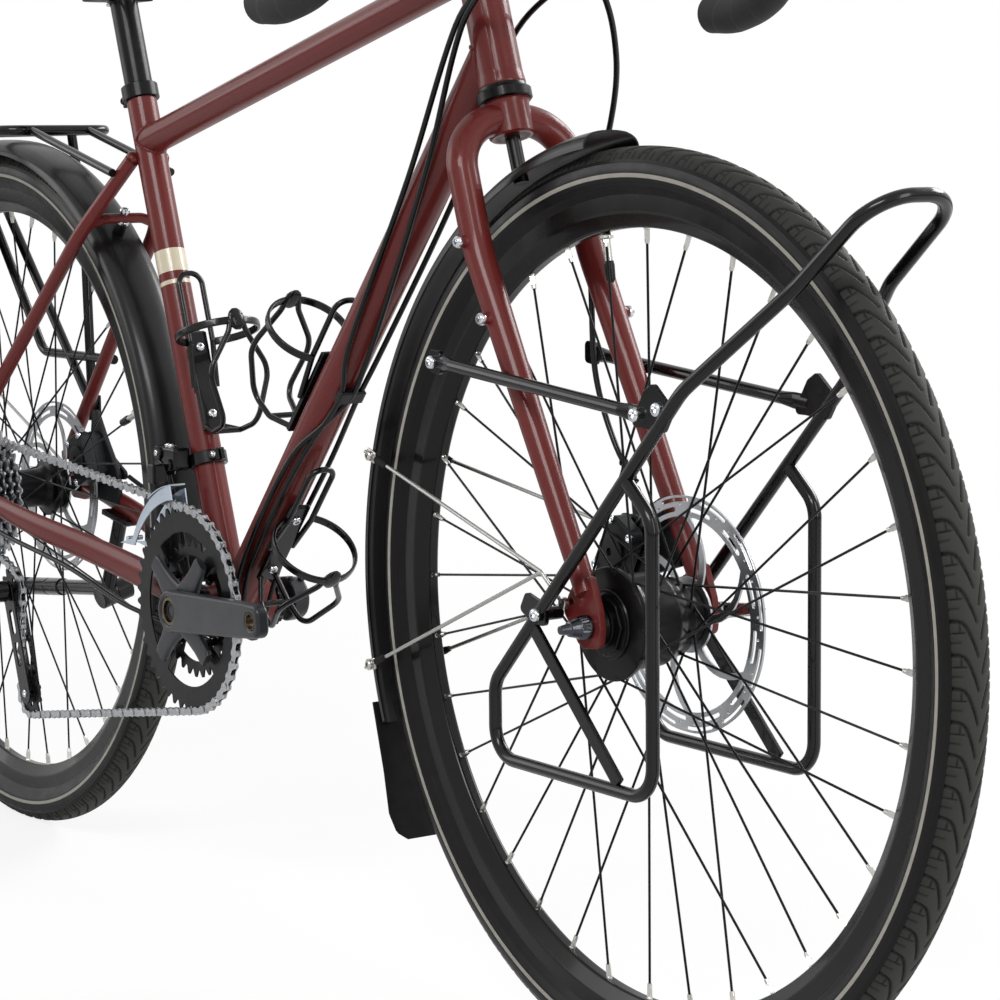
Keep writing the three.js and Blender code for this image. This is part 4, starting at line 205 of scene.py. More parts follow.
def grid(rows, columns, closed=False):
    """Quads of a grid whose columns wrap round, and whose rows wrap too when it is closed."""
    i = np.arange(rows if closed else rows - 1)[:, None]
    j = np.arange(columns)[None]
    ni, nj = (i + 1) % rows, (j + 1) % columns
    return np.stack(
        [i * columns + j, i * columns + nj, ni * columns + nj, ni * columns + j], -1
    ).reshape(-1, 4)


def skin(rings, closed=False):
    """Joins rings of places, in rows and columns, into a surface with flat ends or one that closes on
    itself."""
    rows, columns = rings.shape[:2]
    faces = grid(rows, columns, closed).tolist()
    if not closed:
        faces += [list(range(columns))[::-1], list(range((rows - 1) * columns, rows * columns))]
    return rings.reshape(-1, 3), faces


def circle(radius, sides=20):
    """Outline of a circle; with an array of radii, one outline for each."""
    turn = full_turn(sides)
    return np.asarray(radius, float)[..., None, None] * np.stack([np.cos(turn), np.sin(turn)], 1)


def oval(wide, tall, sides=24, power=2.0):
    """Superellipse |x/wide|^power + |y/tall|^power = 1, for one size or an array of sizes."""
    turn = 2 * math.pi * (np.arange(sides) + 0.5) / sides
    c, s = np.cos(turn), np.sin(turn)
    shape = np.stack([np.sign(c) * np.abs(c) ** (2 / power), np.sign(s) * np.abs(s) ** (2 / power)], 1)
    return shape * np.stack([np.asarray(wide, float), np.asarray(tall, float)], -1)[..., None, :]


def sweep(path, outline, first=SIDEWAYS, closed=False):
    """Carries an outline along a path; the frame's side vector is projected on from station to station,
    so it turns least."""
    path = np.asarray(path, float)
    count = len(path)
    index = np.arange(count)
    if closed:
        ahead = path[(index + 1) % count] - path[index - 1]
    else:
        ahead = path[np.minimum(index + 1, count - 1)] - path[np.maximum(index - 1, 0)]
    ahead = unit(ahead)
    side, sides = np.asarray(first, float), []
    for direction in ahead:
        side = unit(side - direction * (side @ direction))
        sides.append(side)
    side = np.array(sides)
    up = np.cross(ahead, side)
    outline = np.broadcast_to(outline, (count,) + np.shape(outline)[-2:])
    points = path[:, None] + outline[..., :1] * side[:, None] + outline[..., 1:] * up[:, None]
    return skin(points, closed)


def pipe(path, radius, sides=16, first=SIDEWAYS, closed=False):
    return sweep(path, circle(radius, sides), first, closed)


def turned(start, direction, rings, sides=32):
    """Rings (height, radius) stacked along an axis; a radius may vary round the turn as an array.

    Rings that come back to the height they began at make a hollow sleeve, and others get flat ends.
    """
    direction = unit(direction)
    helper = SIDEWAYS if abs(direction[1]) < 0.9 else UPRIGHT
    side = unit(np.cross(helper, direction))
    up = np.cross(direction, side)
    turn = full_turn(sides)
    radii = np.stack([
        np.interp(turn, full_turn(np.size(r)), np.atleast_1d(r), period=2 * math.pi) for _, r in rings
    ])
    heights = np.array([height for height, _ in rings], float)
    points = (
        np.asarray(start, float) + heights[:, None, None] * direction
        + (radii * np.cos(turn))[..., None] * side + (radii * np.sin(turn))[..., None] * up
    )
    return skin(points, rings[0][0] == rings[-1][0])


def polygon(flats, half, sides=32):
    """Radius round the turn of a regular polygon whose flats lie at the given half width: half /
    cos(angle from the flat)."""
    turn = full_turn(sides)
    part = 2 * math.pi / flats
    return half / np.cos((turn % part) - part / 2)


def bar(a, b, radius, chamfer=0.6, sides=24):
    """Round bar with chamfered ends."""
    a, b = np.asarray(a, float), np.asarray(b, float)
    length = np.linalg.norm(b - a)
    rings = [(0, radius - chamfer), (chamfer, radius), (length - chamfer, radius), (length, radius - chamfer)]
    return turned(a, b - a, rings, sides)


def bolt(start, direction, radius, height, socket=None):
    """Domed bolt head with a hexagon socket sunk into it."""
    hexagon = polygon(6, socket if socket else radius * 0.42)
    dome = [(-1, 0.7), (0, 1), (0.45, 1), (0.8, 0.9), (1, 0.72)]
    rings = [(height * up, radius * out) for up, out in dome]
    return turned(start, direction, rings + [(height, hexagon), (height * 0.3, hexagon * 0.96)])


def lathe(profile, centre, segments=192):
    """Closed profile of (radius, side) turned about the wheel's axis through the centre."""
    profile = np.asarray(profile, float)
    turn = full_turn(segments)
    radius, side = profile[:, 0, None], profile[:, 1, None] + 0 * turn
    points = np.stack([radius * np.cos(turn), side, radius * np.sin(turn)], -1) + np.asarray(centre)
    return skin(points, True)


def rounded(profile, bends, step=15):
    """Corners of a closed flat profile replaced by arcs."""
    flat = [(a, b, 0) for a, b in profile]
    return bent(flat, bends, True, step)[:, :2]


def within(places, start, end):
    """Even-odd rule: a place is inside when a ray towards +X crosses an odd number of the edges from
    start to end."""
    x, y = places[:, :1], places[:, 1:]
    spans = (start[:, 1] > y) != (end[:, 1] > y)
    rise = np.where(start[:, 1] == end[:, 1], 1.0, end[:, 1] - start[:, 1])
    return np.sum(
        spans & (x < (end[:, 0] - start[:, 0]) * (y - start[:, 1]) / rise + start[:, 0]), axis=1
    ) % 2 == 1


def sheet_metal(loops, low, high, bevel=0.3, steps=1):
    """Plate in the X-Z plane from side place low to high: outline and holes, whose edges follow a
    quarter circle of the bevel."""
    rims, inward, following, count = [], [], [], 0
    for loop in loops:
        flat = np.asarray(loop, float)[:, [0, -1]]
        flat = flat[np.linalg.norm(flat - np.roll(flat, 1, 0), axis=1) > 1e-4]
        after = np.roll(flat, -1, 0)
        turned_left = np.sum(flat[:, 0] * after[:, 1] - flat[:, 1] * after[:, 0]) > 0
        if turned_left != (not rims):
            flat = flat[::-1]
        ahead = unit(np.roll(flat, -1, 0) - flat)
        normal = np.stack([-ahead[:, 1], ahead[:, 0]], 1)
        mitre = unit(normal + np.roll(normal, 1, 0))
        inward.append(mitre / np.clip(np.sum(mitre * normal, 1), 0.5, 1)[:, None])
        rims.append(flat)
        following.append(count + np.roll(np.arange(len(flat)), -1))
        count += len(flat)
    rim, inward, following = np.vstack(rims), np.vstack(inward), np.concatenate(following)
    angle = np.linspace(math.pi / 2, 0, steps + 1)
    inset, depth = bevel * (1 - np.cos(angle)), bevel * (1 - np.sin(angle))
    inset, side = np.concatenate([inset, inset[::-1]]), np.concatenate([low + depth, (high - depth)[::-1]])
    flat = rim + inset[:, None, None] * inward
    points = np.stack([flat[..., 0], side[:, None] + 0 * flat[..., 0], flat[..., 1]], -1).reshape(-1, 3)
    here = np.arange(count)
    firsts = count * np.arange(len(inset) - 1)
    walls = [np.stack([here + k, here + k + count, following + k + count, following + k], 1) for k in firsts]
    edges = np.stack([here, following], 1).tolist()
    _, _, mesh_faces, origins, _, _ = delaunay_2d_cdt(flat[0].tolist(), edges, [], 0, 1e-6)
    triangles = np.array([origin[0] if origin else -1 for origin in origins])[np.array(mesh_faces)]
    triangles = triangles[(triangles >= 0).all(axis=1)]
    triangles = triangles[within(flat[0][triangles].mean(axis=1), flat[0], flat[0][following])]
    faces = np.vstack(walls).tolist() + triangles.tolist() + (
        triangles[:, ::-1] + (len(inset) - 1) * count
    ).tolist()
    return points, faces


def around(centre, radius, turn):
    """Places in the X-Z plane at a radius and an angle round a centre, for one of each or for arrays."""
    return np.stack([centre[0] + radius * np.cos(turn), centre[-1] + radius * np.sin(turn)], -1)


def disc_outline(centre, radius, steps=24):
    return around(centre, radius, full_turn(steps))


def notches(count, radius, depth, steps=96):
    """Radius round the turn of a ring with square notches."""
    return radius + depth * np.sign(np.sin(count * 2 * math.pi * np.arange(steps) / steps))


def strap(a, radius_a, b, radius_b, steps=14):
    """Outline of two circles in the X-Z plane joined by their outer tangents."""
    gap = (b - a)[[0, 2]]
    heading = math.atan2(gap[1], gap[0])
    lean = math.acos(np.clip((radius_a - radius_b) / np.hypot(*gap), -1, 1))
    first = np.linspace(heading + lean, heading + 2 * math.pi - lean, steps)
    second = np.linspace(heading - lean, heading + lean, steps)
    return np.vstack([around(a, radius_a, first), around(b, radius_b, second)])


def box(centre, along, across, long, wide, thick, bevel=0.8):
    """Block with chamfered edges: superelliptic rings along its length, the end ones drawn in by the
    bevel."""
    along = unit(along)
    across = unit(across - along * (across @ along))
    path = centre + along * (np.array([-long / 2, bevel - long / 2, long / 2 - bevel, long / 2])[:, None])
    inset = np.array([bevel, 0, 0, bevel])
    outline = oval(wide / 2 - inset, thick / 2 - inset, 24, 9)
    return sweep(path, outline, across)


def moved(part, basis, origin):
    """Carries a part made in its own axes to the given basis (rows: where X, Y and Z point) and origin."""
    return part[0] @ np.asarray(basis) + origin, part[1]


def in_metres(places):
    """Places of the layout, in millimetres from the rear wheel, as the scene's metres from the middle."""
    return (places - vec(MIDDLE, 0, 0)) / 1000


def build(name, body, material, parts, stands_for=(), sharp=38.0, uv=None, keep=False):
    """A piece rides on one body; given two bodies and two places instead, its transform is baked in place and
    it rides on none.
    """
    offset, points, faces = 0, [], []
    for part_points, part_faces in parts:
        points.append(part_points)
        faces.extend([[index + offset for index in face] for face in part_faces])
        offset += len(part_points)
    points = in_metres(np.vstack(points))
    mesh = bpy.data.meshes.new(name)
    mesh.from_pydata(points.tolist(), [], faces)
    if uv is None and not keep:
        work = bmesh.new()
        work.from_mesh(mesh)
        bmesh.ops.remove_doubles(work, verts=work.verts, dist=2e-6)
        bmesh.ops.recalc_face_normals(work, faces=work.faces)
        work.to_mesh(mesh)
        work.free()
    if uv is not None:
        layer = mesh.uv_layers.new(name="UVMap")
        layer.data.foreach_set("uv", np.asarray(uv, np.float32).ravel())
    mesh.shade_smooth()
    mesh.set_sharp_from_angle(angle=math.radians(sharp))
    mesh.materials.append(material)
    made = bpy.data.objects.new(name, mesh)
    bpy.context.scene.collection.objects.link(made)
    made.modifiers.new("normals", "WEIGHTED_NORMAL").keep_sharp = True
    if isinstance(body, str):
        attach(made, body)
    else:
        first, second, start, end = body
        in_metres(start)
        in_metres(end)
        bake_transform(made)
    if stands_for:
        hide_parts(*([stands_for] if isinstance(stands_for, str) else stands_for))
    return made


# Materials


def linear(code):
    """sRGB hex value as linear light: c/12.92 up to 0.04045, ((c+0.055)/1.055)^2.4 above."""
    srgb = np.array([int(code[i : i + 2], 16) for i in (0, 2, 4)]) / 255
    return (*np.where(srgb <= 0.04045, srgb / 12.92, ((srgb + 0.055) / 1.055) ** 2.4).tolist(), 1.0)


def add(tree, kind, values=None, links=None, **settings):
    """Adds a node with its settings; values fill sockets and links join other nodes' outputs to sockets."""
    made = tree.nodes.new(kind)
    for key, value in settings.items():
        setattr(made, key, value)
    for key, value in (values or {}).items():
        made.inputs[key].default_value = value
    for key, source in (links or {}).items():
        tree.links.new(source, made.inputs[key])
    return made


def finish(name, slot, colour, roughness, metallic=0.0, **values):
    """A new material; its slot argument, the CAD slot it stands for, is not used. Other values are set on the
    shader's own sockets.
    """
    made = bpy.data.materials.new(name)
    made.use_nodes = True
    shader = made.node_tree.nodes["Principled BSDF"]
    shader.inputs["Base Color"].default_value = linear(colour)
    shader.inputs["Roughness"].default_value = roughness
    shader.inputs["Metallic"].default_value = metallic
    for key, value in values.items():
        shader.inputs[key.replace("_", " ")].default_value = value
    made.diffuse_color = linear(colour)
    return made


def shade(material, dark, light, size):
    """Lets the colour drift between two hex values in patches of the given size in millimetres."""
    tree = material.node_tree
    place = add(tree, "ShaderNodeTexCoord").outputs["Object"]
    patches = add(tree, "ShaderNodeTexNoise", {"Scale": 1000 / size, "Detail": 3.0}, {"Vector": place})
    mix = add(
        tree, "ShaderNodeMix", {6: linear(dark), 7: linear(light)}, {0: patches.outputs[0]},
        data_type="RGBA"
    )
    tree.links.new(mix.outputs[2], tree.nodes["Principled BSDF"].inputs["Base Color"])


def painted_groove_shade(material, raised, sunk):
    """Painted shade: mixes two colours by the mesh's own "groove" value, so that grooves are painted darker
    than the blocks between them, as shade in the recesses."""
    tree = material.node_tree
    depth = add(tree, "ShaderNodeAttribute", attribute_name="groove").outputs["Fac"]
    mix = add(tree, "ShaderNodeMix", {6: linear(raised), 7: linear(sunk)}, {0: depth}, data_type="RGBA")
    tree.links.new(mix.outputs[2], tree.nodes["Principled BSDF"].inputs["Base Color"])


def scuff(material, low, high, size):
    """Lets the roughness drift between two values in patches of the given size in millimetres."""
    tree = material.node_tree
    place = add(tree, "ShaderNodeTexCoord").outputs["Object"]
    patches = add(tree, "ShaderNodeTexNoise", {"Scale": 1000 / size, "Detail": 4.0}, {"Vector": place})
    span = add(tree, "ShaderNodeMapRange", {"From Min": 0.3, "From Max": 0.7, "To Min": low, "To Max": high},
               {"Value": patches.outputs[0]})
    tree.links.new(span.outputs[0], tree.nodes["Principled BSDF"].inputs["Roughness"])


def grain(material, size, depth, detail=2.0):
    """Raises an even grain of the given size and depth in millimetres."""
    tree = material.node_tree
    place = add(tree, "ShaderNodeTexCoord").outputs["Object"]
    bumps = add(tree, "ShaderNodeTexNoise", {"Scale": 1000 / size, "Detail": detail}, {"Vector": place})
    lift = add(
        tree, "ShaderNodeBump", {"Strength": 1.0, "Distance": depth / 1000}, {"Height": bumps.outputs[0]}
    )
    tree.links.new(lift.outputs[0], tree.nodes["Principled BSDF"].inputs["Normal"])


def turning_marks(material, centre, pitch, depth):
    """Rings left by turning about the wheel's axis: a wave of the distance from the centre, one ring
    each pitch."""
    tree = material.node_tree
    place = add(tree, "ShaderNodeTexCoord").outputs["Object"]
    shift = add(tree, "ShaderNodeMapping", {"Location": tuple(-in_metres(centre))}, {"Vector": place})
    rings = add(tree, "ShaderNodeTexWave", {"Scale": 314.0 / pitch, "Distortion": 0.6, "Detail": 1.0},
                {"Vector": shift.outputs[0]}, wave_type="RINGS", rings_direction="Y")
    lift = add(
        tree, "ShaderNodeBump", {"Strength": 1.0, "Distance": depth / 1000}, {"Height": rings.outputs[1]}
    )
    tree.links.new(lift.outputs[0], tree.nodes["Principled BSDF"].inputs["Normal"])


# Stove enamel over steel: an even coat under clear lacquer, whose slight orange peel breaks up the highlights
enamel = finish(
    "stove_enamel_maroon", "frame_paint", "5c1d1b", 0.36, 0.0, Coat_Weight=0.22, Coat_Roughness=0.1,
    Specular_IOR_Level=0.15
)
shade(enamel, "4f1715", "6c2724", 1.3)
grain(enamel, 3.5, 0.012)
# Powder coat: a satin black film with the fine pebble of baked powder
powder = finish(
    "powder_coat_black", "satin_black", "050506", 0.26, 0.0, Coat_Weight=0.3, Coat_Roughness=0.07,
    Specular_IOR_Level=0.15
)
scuff(powder, 0.2, 0.3, 25)
grain(powder, 0.8, 0.014)
# Polycarbonate sheet rolled into mudguards: smooth and slightly glossy, with a faint wave from rolling
guard_sheet = finish(
    "rolled_polycarbonate_black", "guard_plastic", "060607", 0.34, 0.0, Coat_Weight=0.15,
    Coat_Roughness=0.16, Specular_IOR_Level=0.2
)
scuff(guard_sheet, 0.32, 0.42, 40)
grain(guard_sheet, 18, 0.05)
# Vulcanised tread rubber: dull, slightly grey, with mould texture
tread = finish("tread_rubber", "tyre", "202020", 0.66, 0.0, Specular_IOR_Level=0.22)
# Painted shade and light: grooves and shoulders get the darker colour, and the crown the lighter one, as if
# lit from above
painted_groove_shade(tread, "2e2e2c", "030303")
grain(tread, 1.1, 0.05)
# Sidewall rubber from a polished mould: blacker and glossier than the tread
sidewall = finish("sidewall_rubber", "tyre", "080809", 0.32, 0.0, Specular_IOR_Level=0.17)
scuff(sidewall, 0.28, 0.42, 14)
grain(sidewall, 6.0, 0.03)
# Reflective tape bonded to the sidewall
reflex = finish("reflective_tape_grey", "tyre", "8a8880", 0.5, 0.0)
shade(reflex, "7a7870", "9b988f", 9)
# Natural rubber of hoods, flap and sleeves
soft_rubber = finish("moulded_rubber_black", "rubber", "0d0d0e", 0.7, 0.0, Specular_IOR_Level=0.15)
grain(soft_rubber, 0.9, 0.03)
scuff(soft_rubber, 0.62, 0.8, 12)
# Black anodised rim, extruded and satin
rim_black = finish(
    "anodised_rim_black", "black_alloy", "060607", 0.28, 0.1, Coat_Weight=0.2, Coat_Roughness=0.08,
    Specular_IOR_Level=0.15
)
scuff(rim_black, 0.2, 0.32, 30)
# Drawn stainless spoke wire, blackened
spoke_black = finish("blackened_spoke_wire", "black_alloy", "0e0e10", 0.36, 0.4, Specular_IOR_Level=0.2)
scuff(spoke_black, 0.32, 0.45, 20)
# Nickel-plated brass of nipples and small bolts
nickel = finish("nickel_plate", "steel", "b9b7b2", 0.28, 1.0)
scuff(nickel, 0.2, 0.36, 4)
# Black anodised aluminium, turned and bead-blasted
anodised = finish(
    "anodised_aluminium_black", "black_alloy", "08080a", 0.28, 0.25, Coat_Weight=0.1, Coat_Roughness=0.1,
    Specular_IOR_Level=0.15
)
scuff(anodised, 0.28, 0.42, 15)
grain(anodised, 0.5, 0.008)
# The crank's grey: forged aluminium with a satin grey lacquer
forged = finish(
    "lacquered_forging_grey", "grey_alloy", "2a2b2f", 0.38, 0.35, Coat_Weight=0.2, Coat_Roughness=0.22,
    Specular_IOR_Level=0.2
)
scuff(forged, 0.33, 0.44, 18)
grain(forged, 0.7, 0.01)
# Polished steel: skewers, chromed bolts, stay wire
polished = finish("polished_steel", "steel", "c3c5c8", 0.18, 1.0)
scuff(polished, 0.13, 0.26, 8)
# Drawn stainless wire of the mudguard stays: pulled through a die, so satin along its length
stay_steel = finish("drawn_stainless_wire", "steel", "a3a3a0", 0.42, 1.0)
scuff(stay_steel, 0.36, 0.5, 6)
# Nickel-plated steel of chain and sprockets, a little oily
plated = finish("nickel_plated_chain_steel", "steel", "a9abae", 0.3, 1.0)
shade(plated, "8f9194", "bcbec0", 7)
scuff(plated, 0.22, 0.4, 5)
# Ground disc steel: rings from grinding the braking band
front_disc_steel = finish("ground_disc_steel_front", "steel", "aeb0b3", 0.3, 1.0)
turning_marks(front_disc_steel, FRONT_AXLE, 0.9, 0.01)
rear_disc_steel = finish("ground_disc_steel_rear", "steel", "aeb0b3", 0.3, 1.0)
turning_marks(rear_disc_steel, REAR_AXLE, 0.9, 0.01)
# Die-cast aluminium of brake bodies, painted dark grey
cast_grey = finish("die_cast_dark_grey", "black_alloy", "17181a", 0.42, 0.3, Specular_IOR_Level=0.2)
grain(cast_grey, 0.9, 0.02)
scuff(cast_grey, 0.36, 0.5, 10)
# Cable housing: extruded polymer, glossy
housing = finish(
    "cable_housing_black", "rubber", "060607", 0.3, 0.0, Coat_Weight=0.2, Specular_IOR_Level=0.15
)
scuff(housing, 0.24, 0.36, 25)
# Synthetic leather of the saddle: small pebbles
leather = finish("saddle_leathercloth_black", "leather", "111011", 0.5, 0.0, Specular_IOR_Level=0.2)
scuff(leather, 0.42, 0.6, 20)
grain(leather, 1.6, 0.09, 1.0)
# Dark chrome of the skewer nuts
dark_chrome = finish("dark_chrome", "steel", "4a4b50", 0.2, 1.0)
scuff(dark_chrome, 0.14, 0.28, 5)
# Satin steel of the derailleur cage, with the cold tint of its plating
blue_steel = finish("satin_plated_steel", "steel", "bcc6d2", 0.32, 1.0)
scuff(blue_steel, 0.26, 0.38, 10)
# Cream enamel of the painted bands
cream = finish("cream_enamel", "frame_paint", "c4baa2", 0.35, 0.0, Coat_Weight=0.6, Coat_Roughness=0.1)
shade(cream, "bcb29a", "ccc2aa", 12)
# Threaded brass seen in the pedal eyes and bearing rings
brass = finish("turned_brass", "steel", "6b5f49", 0.36, 1.0)
scuff(brass, 0.22, 0.4, 3)


def tape_finish():
    """Handlebar tape: overlapping turns every 24 mm along the bar, read from the tape's own UV map, with
    a soft foam grain."""
    made = finish("handlebar_tape_black", "rubber", "141416", 0.78, 0.0)
    tree = made.node_tree
    place = add(tree, "ShaderNodeUVMap", uv_map="UVMap").outputs[0]
    split = add(tree, "ShaderNodeSeparateXYZ", None, {0: place})
    spiral = add(tree, "ShaderNodeMath", None, {0: split.outputs[0], 1: split.outputs[1]}, operation="ADD")
    turn = add(tree, "ShaderNodeMath", None, {0: spiral.outputs[0]}, operation="FRACT")
    edge = add(
        tree, "ShaderNodeMapRange", {"From Min": 0.0, "From Max": 0.12, "To Min": 0.0, "To Max": 1.0},
        {"Value": turn.outputs[0]}
    )
    whole = add(tree, "ShaderNodeTexCoord").outputs["Object"]
    foam = add(tree, "ShaderNodeTexNoise", {"Scale": 900.0, "Detail": 2.0}, {"Vector": whole})
    small = add(tree, "ShaderNodeBump", {"Strength": 1.0, "Distance": 0.00006}, {"Height": foam.outputs[0]})
    lift = add(
        tree, "ShaderNodeBump", {"Strength": 1.0, "Distance": 0.0006},
        {"Height": edge.outputs[0], "Normal": small.outputs[0]}
    )
    tree.links.new(lift.outputs[0], tree.nodes["Principled BSDF"].inputs["Normal"])
    return made


tape = tape_finish()


# Camera and studio

def put(name, data, right, up, back, place):
    """Adds an object at a place in metres, with its own axes pointing right, up and back."""
    made = bpy.data.objects.new(name, data)
    bpy.context.scene.collection.objects.link(made)
    matrix = np.eye(4)
    matrix[:3] = np.stack([right, up, back, place], 1)
    made.matrix_world = Matrix(matrix.tolist())
    return made


def camera():
    """Looks along azimuth and elevation with a small roll; the focal length is the fitted one in pixels
    times 36 mm over 1000."""
    azimuth, elevation, roll = (math.radians(a) for a in (145.316, -6.893, -0.569))
    flat = math.cos(elevation)
    ahead = vec(flat * math.cos(azimuth), flat * math.sin(azimuth), math.sin(elevation))
    right = unit(np.cross(ahead, UPRIGHT))
    up = np.cross(right, ahead)
    level = math.cos(roll) * right + math.sin(roll) * up
    raised = math.cos(roll) * up - math.sin(roll) * right
    data = bpy.data.cameras.new("view")
    data.sensor_width = 36.0
    data.lens = 36.0 * 2.8615
    data.clip_end = 100.0
    place = in_metres(vec(2739.1, -1283.0, 692.8))
    bpy.context.scene.camera = put("view", data, level, raised, -ahead, place)


def lamp(name, place, target, size, power):
    data = bpy.data.lights.new(name, "AREA")
    data.shape = "RECTANGLE"
    data.size, data.size_y = size
    data.energy = power
    back = unit(np.subtract(place, target))
    right = unit(np.cross(UPRIGHT, back))
    put(name, data, right, np.cross(back, right), back, place)


def studio():
    """Pale floor, a white surround that the camera and reflections see, and soft lamps."""
    scene = bpy.context.scene
    scene.view_settings.view_transform = "Standard"
    world = bpy.data.worlds.new("surround")
    scene.world = world
    world.use_nodes = True
    tree = world.node_tree
    tree.nodes.clear()
    light = add(tree, "ShaderNodeBackground", {"Color": (1, 1, 1, 1), "Strength": 0.2})
    seen = add(tree, "ShaderNodeBackground", {"Color": (1, 1, 1, 1), "Strength": 1.0})
    rays = add(tree, "ShaderNodeLightPath")
    shown = add(
        tree, "ShaderNodeMath", None, {0: rays.outputs["Is Camera Ray"], 1: rays.outputs["Is Glossy Ray"]},
        operation="MAXIMUM"
    )
    mix = add(
        tree, "ShaderNodeMixShader", None, {0: shown.outputs[0], 1: light.outputs[0], 2: seen.outputs[0]}
    )
    add(tree, "ShaderNodeOutputWorld", None, {0: mix.outputs[0]})
    pale = bpy.data.materials.new("pale_floor")
    pale.use_nodes = True
    tree = pale.node_tree
    tree.nodes.clear()
    matt = add(tree, "ShaderNodeBsdfDiffuse", {"Color": (0.93, 0.93, 0.93, 1)})
    glow = add(tree, "ShaderNodeEmission", {"Color": (1, 1, 1, 1), "Strength": 1.0})
    rays = add(tree, "ShaderNodeLightPath")
    place = add(tree, "ShaderNodeTexCoord").outputs["Object"]
    away = add(tree, "ShaderNodeVectorMath", None, {0: place}, operation="LENGTH")
    fade = add(
        tree, "ShaderNodeMapRange", {"From Min": 0.9, "From Max": 2.6, "To Min": 0.84, "To Max": 1.0},
        {"Value": away.outputs["Value"]}
    )
    share = add(
        tree, "ShaderNodeMath", None, {0: rays.outputs["Is Camera Ray"], 1: fade.outputs[0]},
        operation="MULTIPLY"
    )
    mix = add(
        tree, "ShaderNodeMixShader", None, {0: share.outputs[0], 1: matt.outputs[0], 2: glow.outputs[0]}
    )
    add(tree, "ShaderNodeOutputMaterial", None, {0: mix.outputs[0]})
    mesh = bpy.data.meshes.new("floor")
    mesh.from_pydata([(-30, -30, 0), (30, -30, 0), (30, 30, 0), (-30, 30, 0)], [], [(0, 1, 2, 3)])
    mesh.materials.append(pale)
    floor = bpy.data.objects.new("floor", mesh)
    scene.collection.objects.link(floor)
    lamp("key", (2.6, -3.2, 3.4), (0.2, 0, 0.5), (2.4, 1.2), 130)
    lamp("fill", (-3.0, -2.6, 1.8), (0, 0, 0.5), (2.2, 2.2), 38)
    lamp("back", (0.5, 3.4, 2.6), (0.2, 0, 0.6), (3.0, 1.2), 150)
    lamp("strip", (3.6, 0.6, 1.6), (0.5, 0, 0.4), (1.0, 2.2), 40)


camera()
studio()


# Wheels

TYRE_HALF = 19.0
TYRE_CENTRE = WHEEL_RADIUS - TYRE_HALF
FRONT_HUB = {"flange": 42.5, "right": -34.0, "far": 30.0, "left": 20.0, "seat": 36.0}
REAR_HUB = {"flange": 30.0, "right": -19.0, "far": 30.0, "left": 32.0, "seat": 43.5}
SPOKES = 36
TREAD_REPEATS = 98
LEAF = [(0, 20.5), (0.3, 15.5), (1.6, 12.0), (4.6, 9.4), (9.4, 7.0), (15, 4.6), (20, 2.8), (24, 1.6)]
SIPES = [[(1, 14.2), (8.2, 14.2)], [(8.2, 19.5), (8.2, 10.6)], [(14.6, 20.0), (14.6, 13.6)]]


def groove_depth(along, across, pitch):
    """Depth at a place on the tread: the deepest of depth*exp(-(distance/width)^2) over the strokes and
    their repeats."""
    leaf = np.array(LEAF, float)
    strokes = [(leaf[i], leaf[i + 1], 1.8, 1.05 - 0.05 * i) for i in range(len(leaf) - 1)]
    strokes += [(np.array(a, float), np.array(b, float), 1.0, 0.62) for a, b in SIPES]
    deepest = np.zeros_like(along)
    for hand, lag in ((-1, 0.0), (1, 0.5)):
        for repeat in (-3, -2, -1, 0):
            for a, b, depth, width in strokes:
                start = np.array([a[0] + (repeat + lag) * pitch, hand * a[1]])
                run = np.array([b[0] - a[0], hand * (b[1] - a[1])])
                off = np.stack([along - start[0], across - start[1]], -1)
                share = np.clip(off @ run / (run @ run), 0, 1)
                distance = np.linalg.norm(off - share[..., None] * run, axis=-1)
                deepest = np.maximum(deepest, depth * np.exp(-((distance / width) ** 2)))
    return deepest


def tread_belt(centre):
    """Belt over the crown: r = 330.3 + 18.7 cos(s), y = 18.7 sin(s), sunk along the grooves, closed by a
    smooth underside."""
    arc = np.radians(np.linspace(-63, 63, 43))
    per = 22
    pitch = 2 * math.pi * WHEEL_RADIUS / TREAD_REPEATS
    along, across = np.meshgrid(-np.arange(per) * pitch / per, arc * TYRE_HALF, indexing="ij")
    sink_and_shade = groove_depth(along, across, pitch)
    radius = TYRE_HALF - 0.3 - sink_and_shade
    under = np.radians([58.0, 0.0, -58.0])
    rise = np.hstack([radius * np.cos(arc), np.tile(15.6 * np.cos(under), (per, 1))]) + TYRE_CENTRE + 0.3
    side = np.hstack([radius * np.sin(arc), np.tile(15.6 * np.sin(under), (per, 1))])
    # Painted shade mask for the colour: the groove depth, plus a term growing towards the shoulders that
    # paints them darker and leaves the crown lighter, as if lit from above
    sink_and_shade = np.hstack([np.clip(sink_and_shade / 1.3 + 0.45 * (across / 20) ** 2, 0, 1), np.zeros((per, 3))])
    rise, side, sink_and_shade = (np.tile(part, (TREAD_REPEATS, 1)) for part in (rise, side, sink_and_shade))
    turn = 2 * math.pi * np.arange(len(rise))[:, None] / len(rise)
    points = np.stack([rise * np.cos(turn), side, rise * np.sin(turn)], -1) + centre
    return skin(points, True), sink_and_shade.ravel()


def tyre_casing(centre):
    """Sidewalls r = 330.3 + 18.8 cos(s), y = 18.8 sin(s) with fine ribs, down to the beads inside the rim."""
    widest = math.acos((317.6 - TYRE_CENTRE) / TYRE_HALF)
    arc = np.linspace(math.radians(50), widest, 44)
    width = arc * TYRE_HALF
    ribs = 0.25 * np.exp(-(((width - 23.5) / 0.8) ** 2)) - 0.2 * np.exp(-(((width - 38.5) / 1.0) ** 2))
    radius = TYRE_HALF - 0.2 + ribs - 1.6 * (arc < math.radians(60))
    half = np.stack([TYRE_CENTRE + 0.3 + radius * np.cos(arc), radius * np.sin(arc)], 1)
    foot = np.array([[309.8, 8.6]])
    flip = np.array([1, -1])
    return lathe(np.vstack([half, foot, foot * flip, (half * flip)[::-1]]), centre, 360)


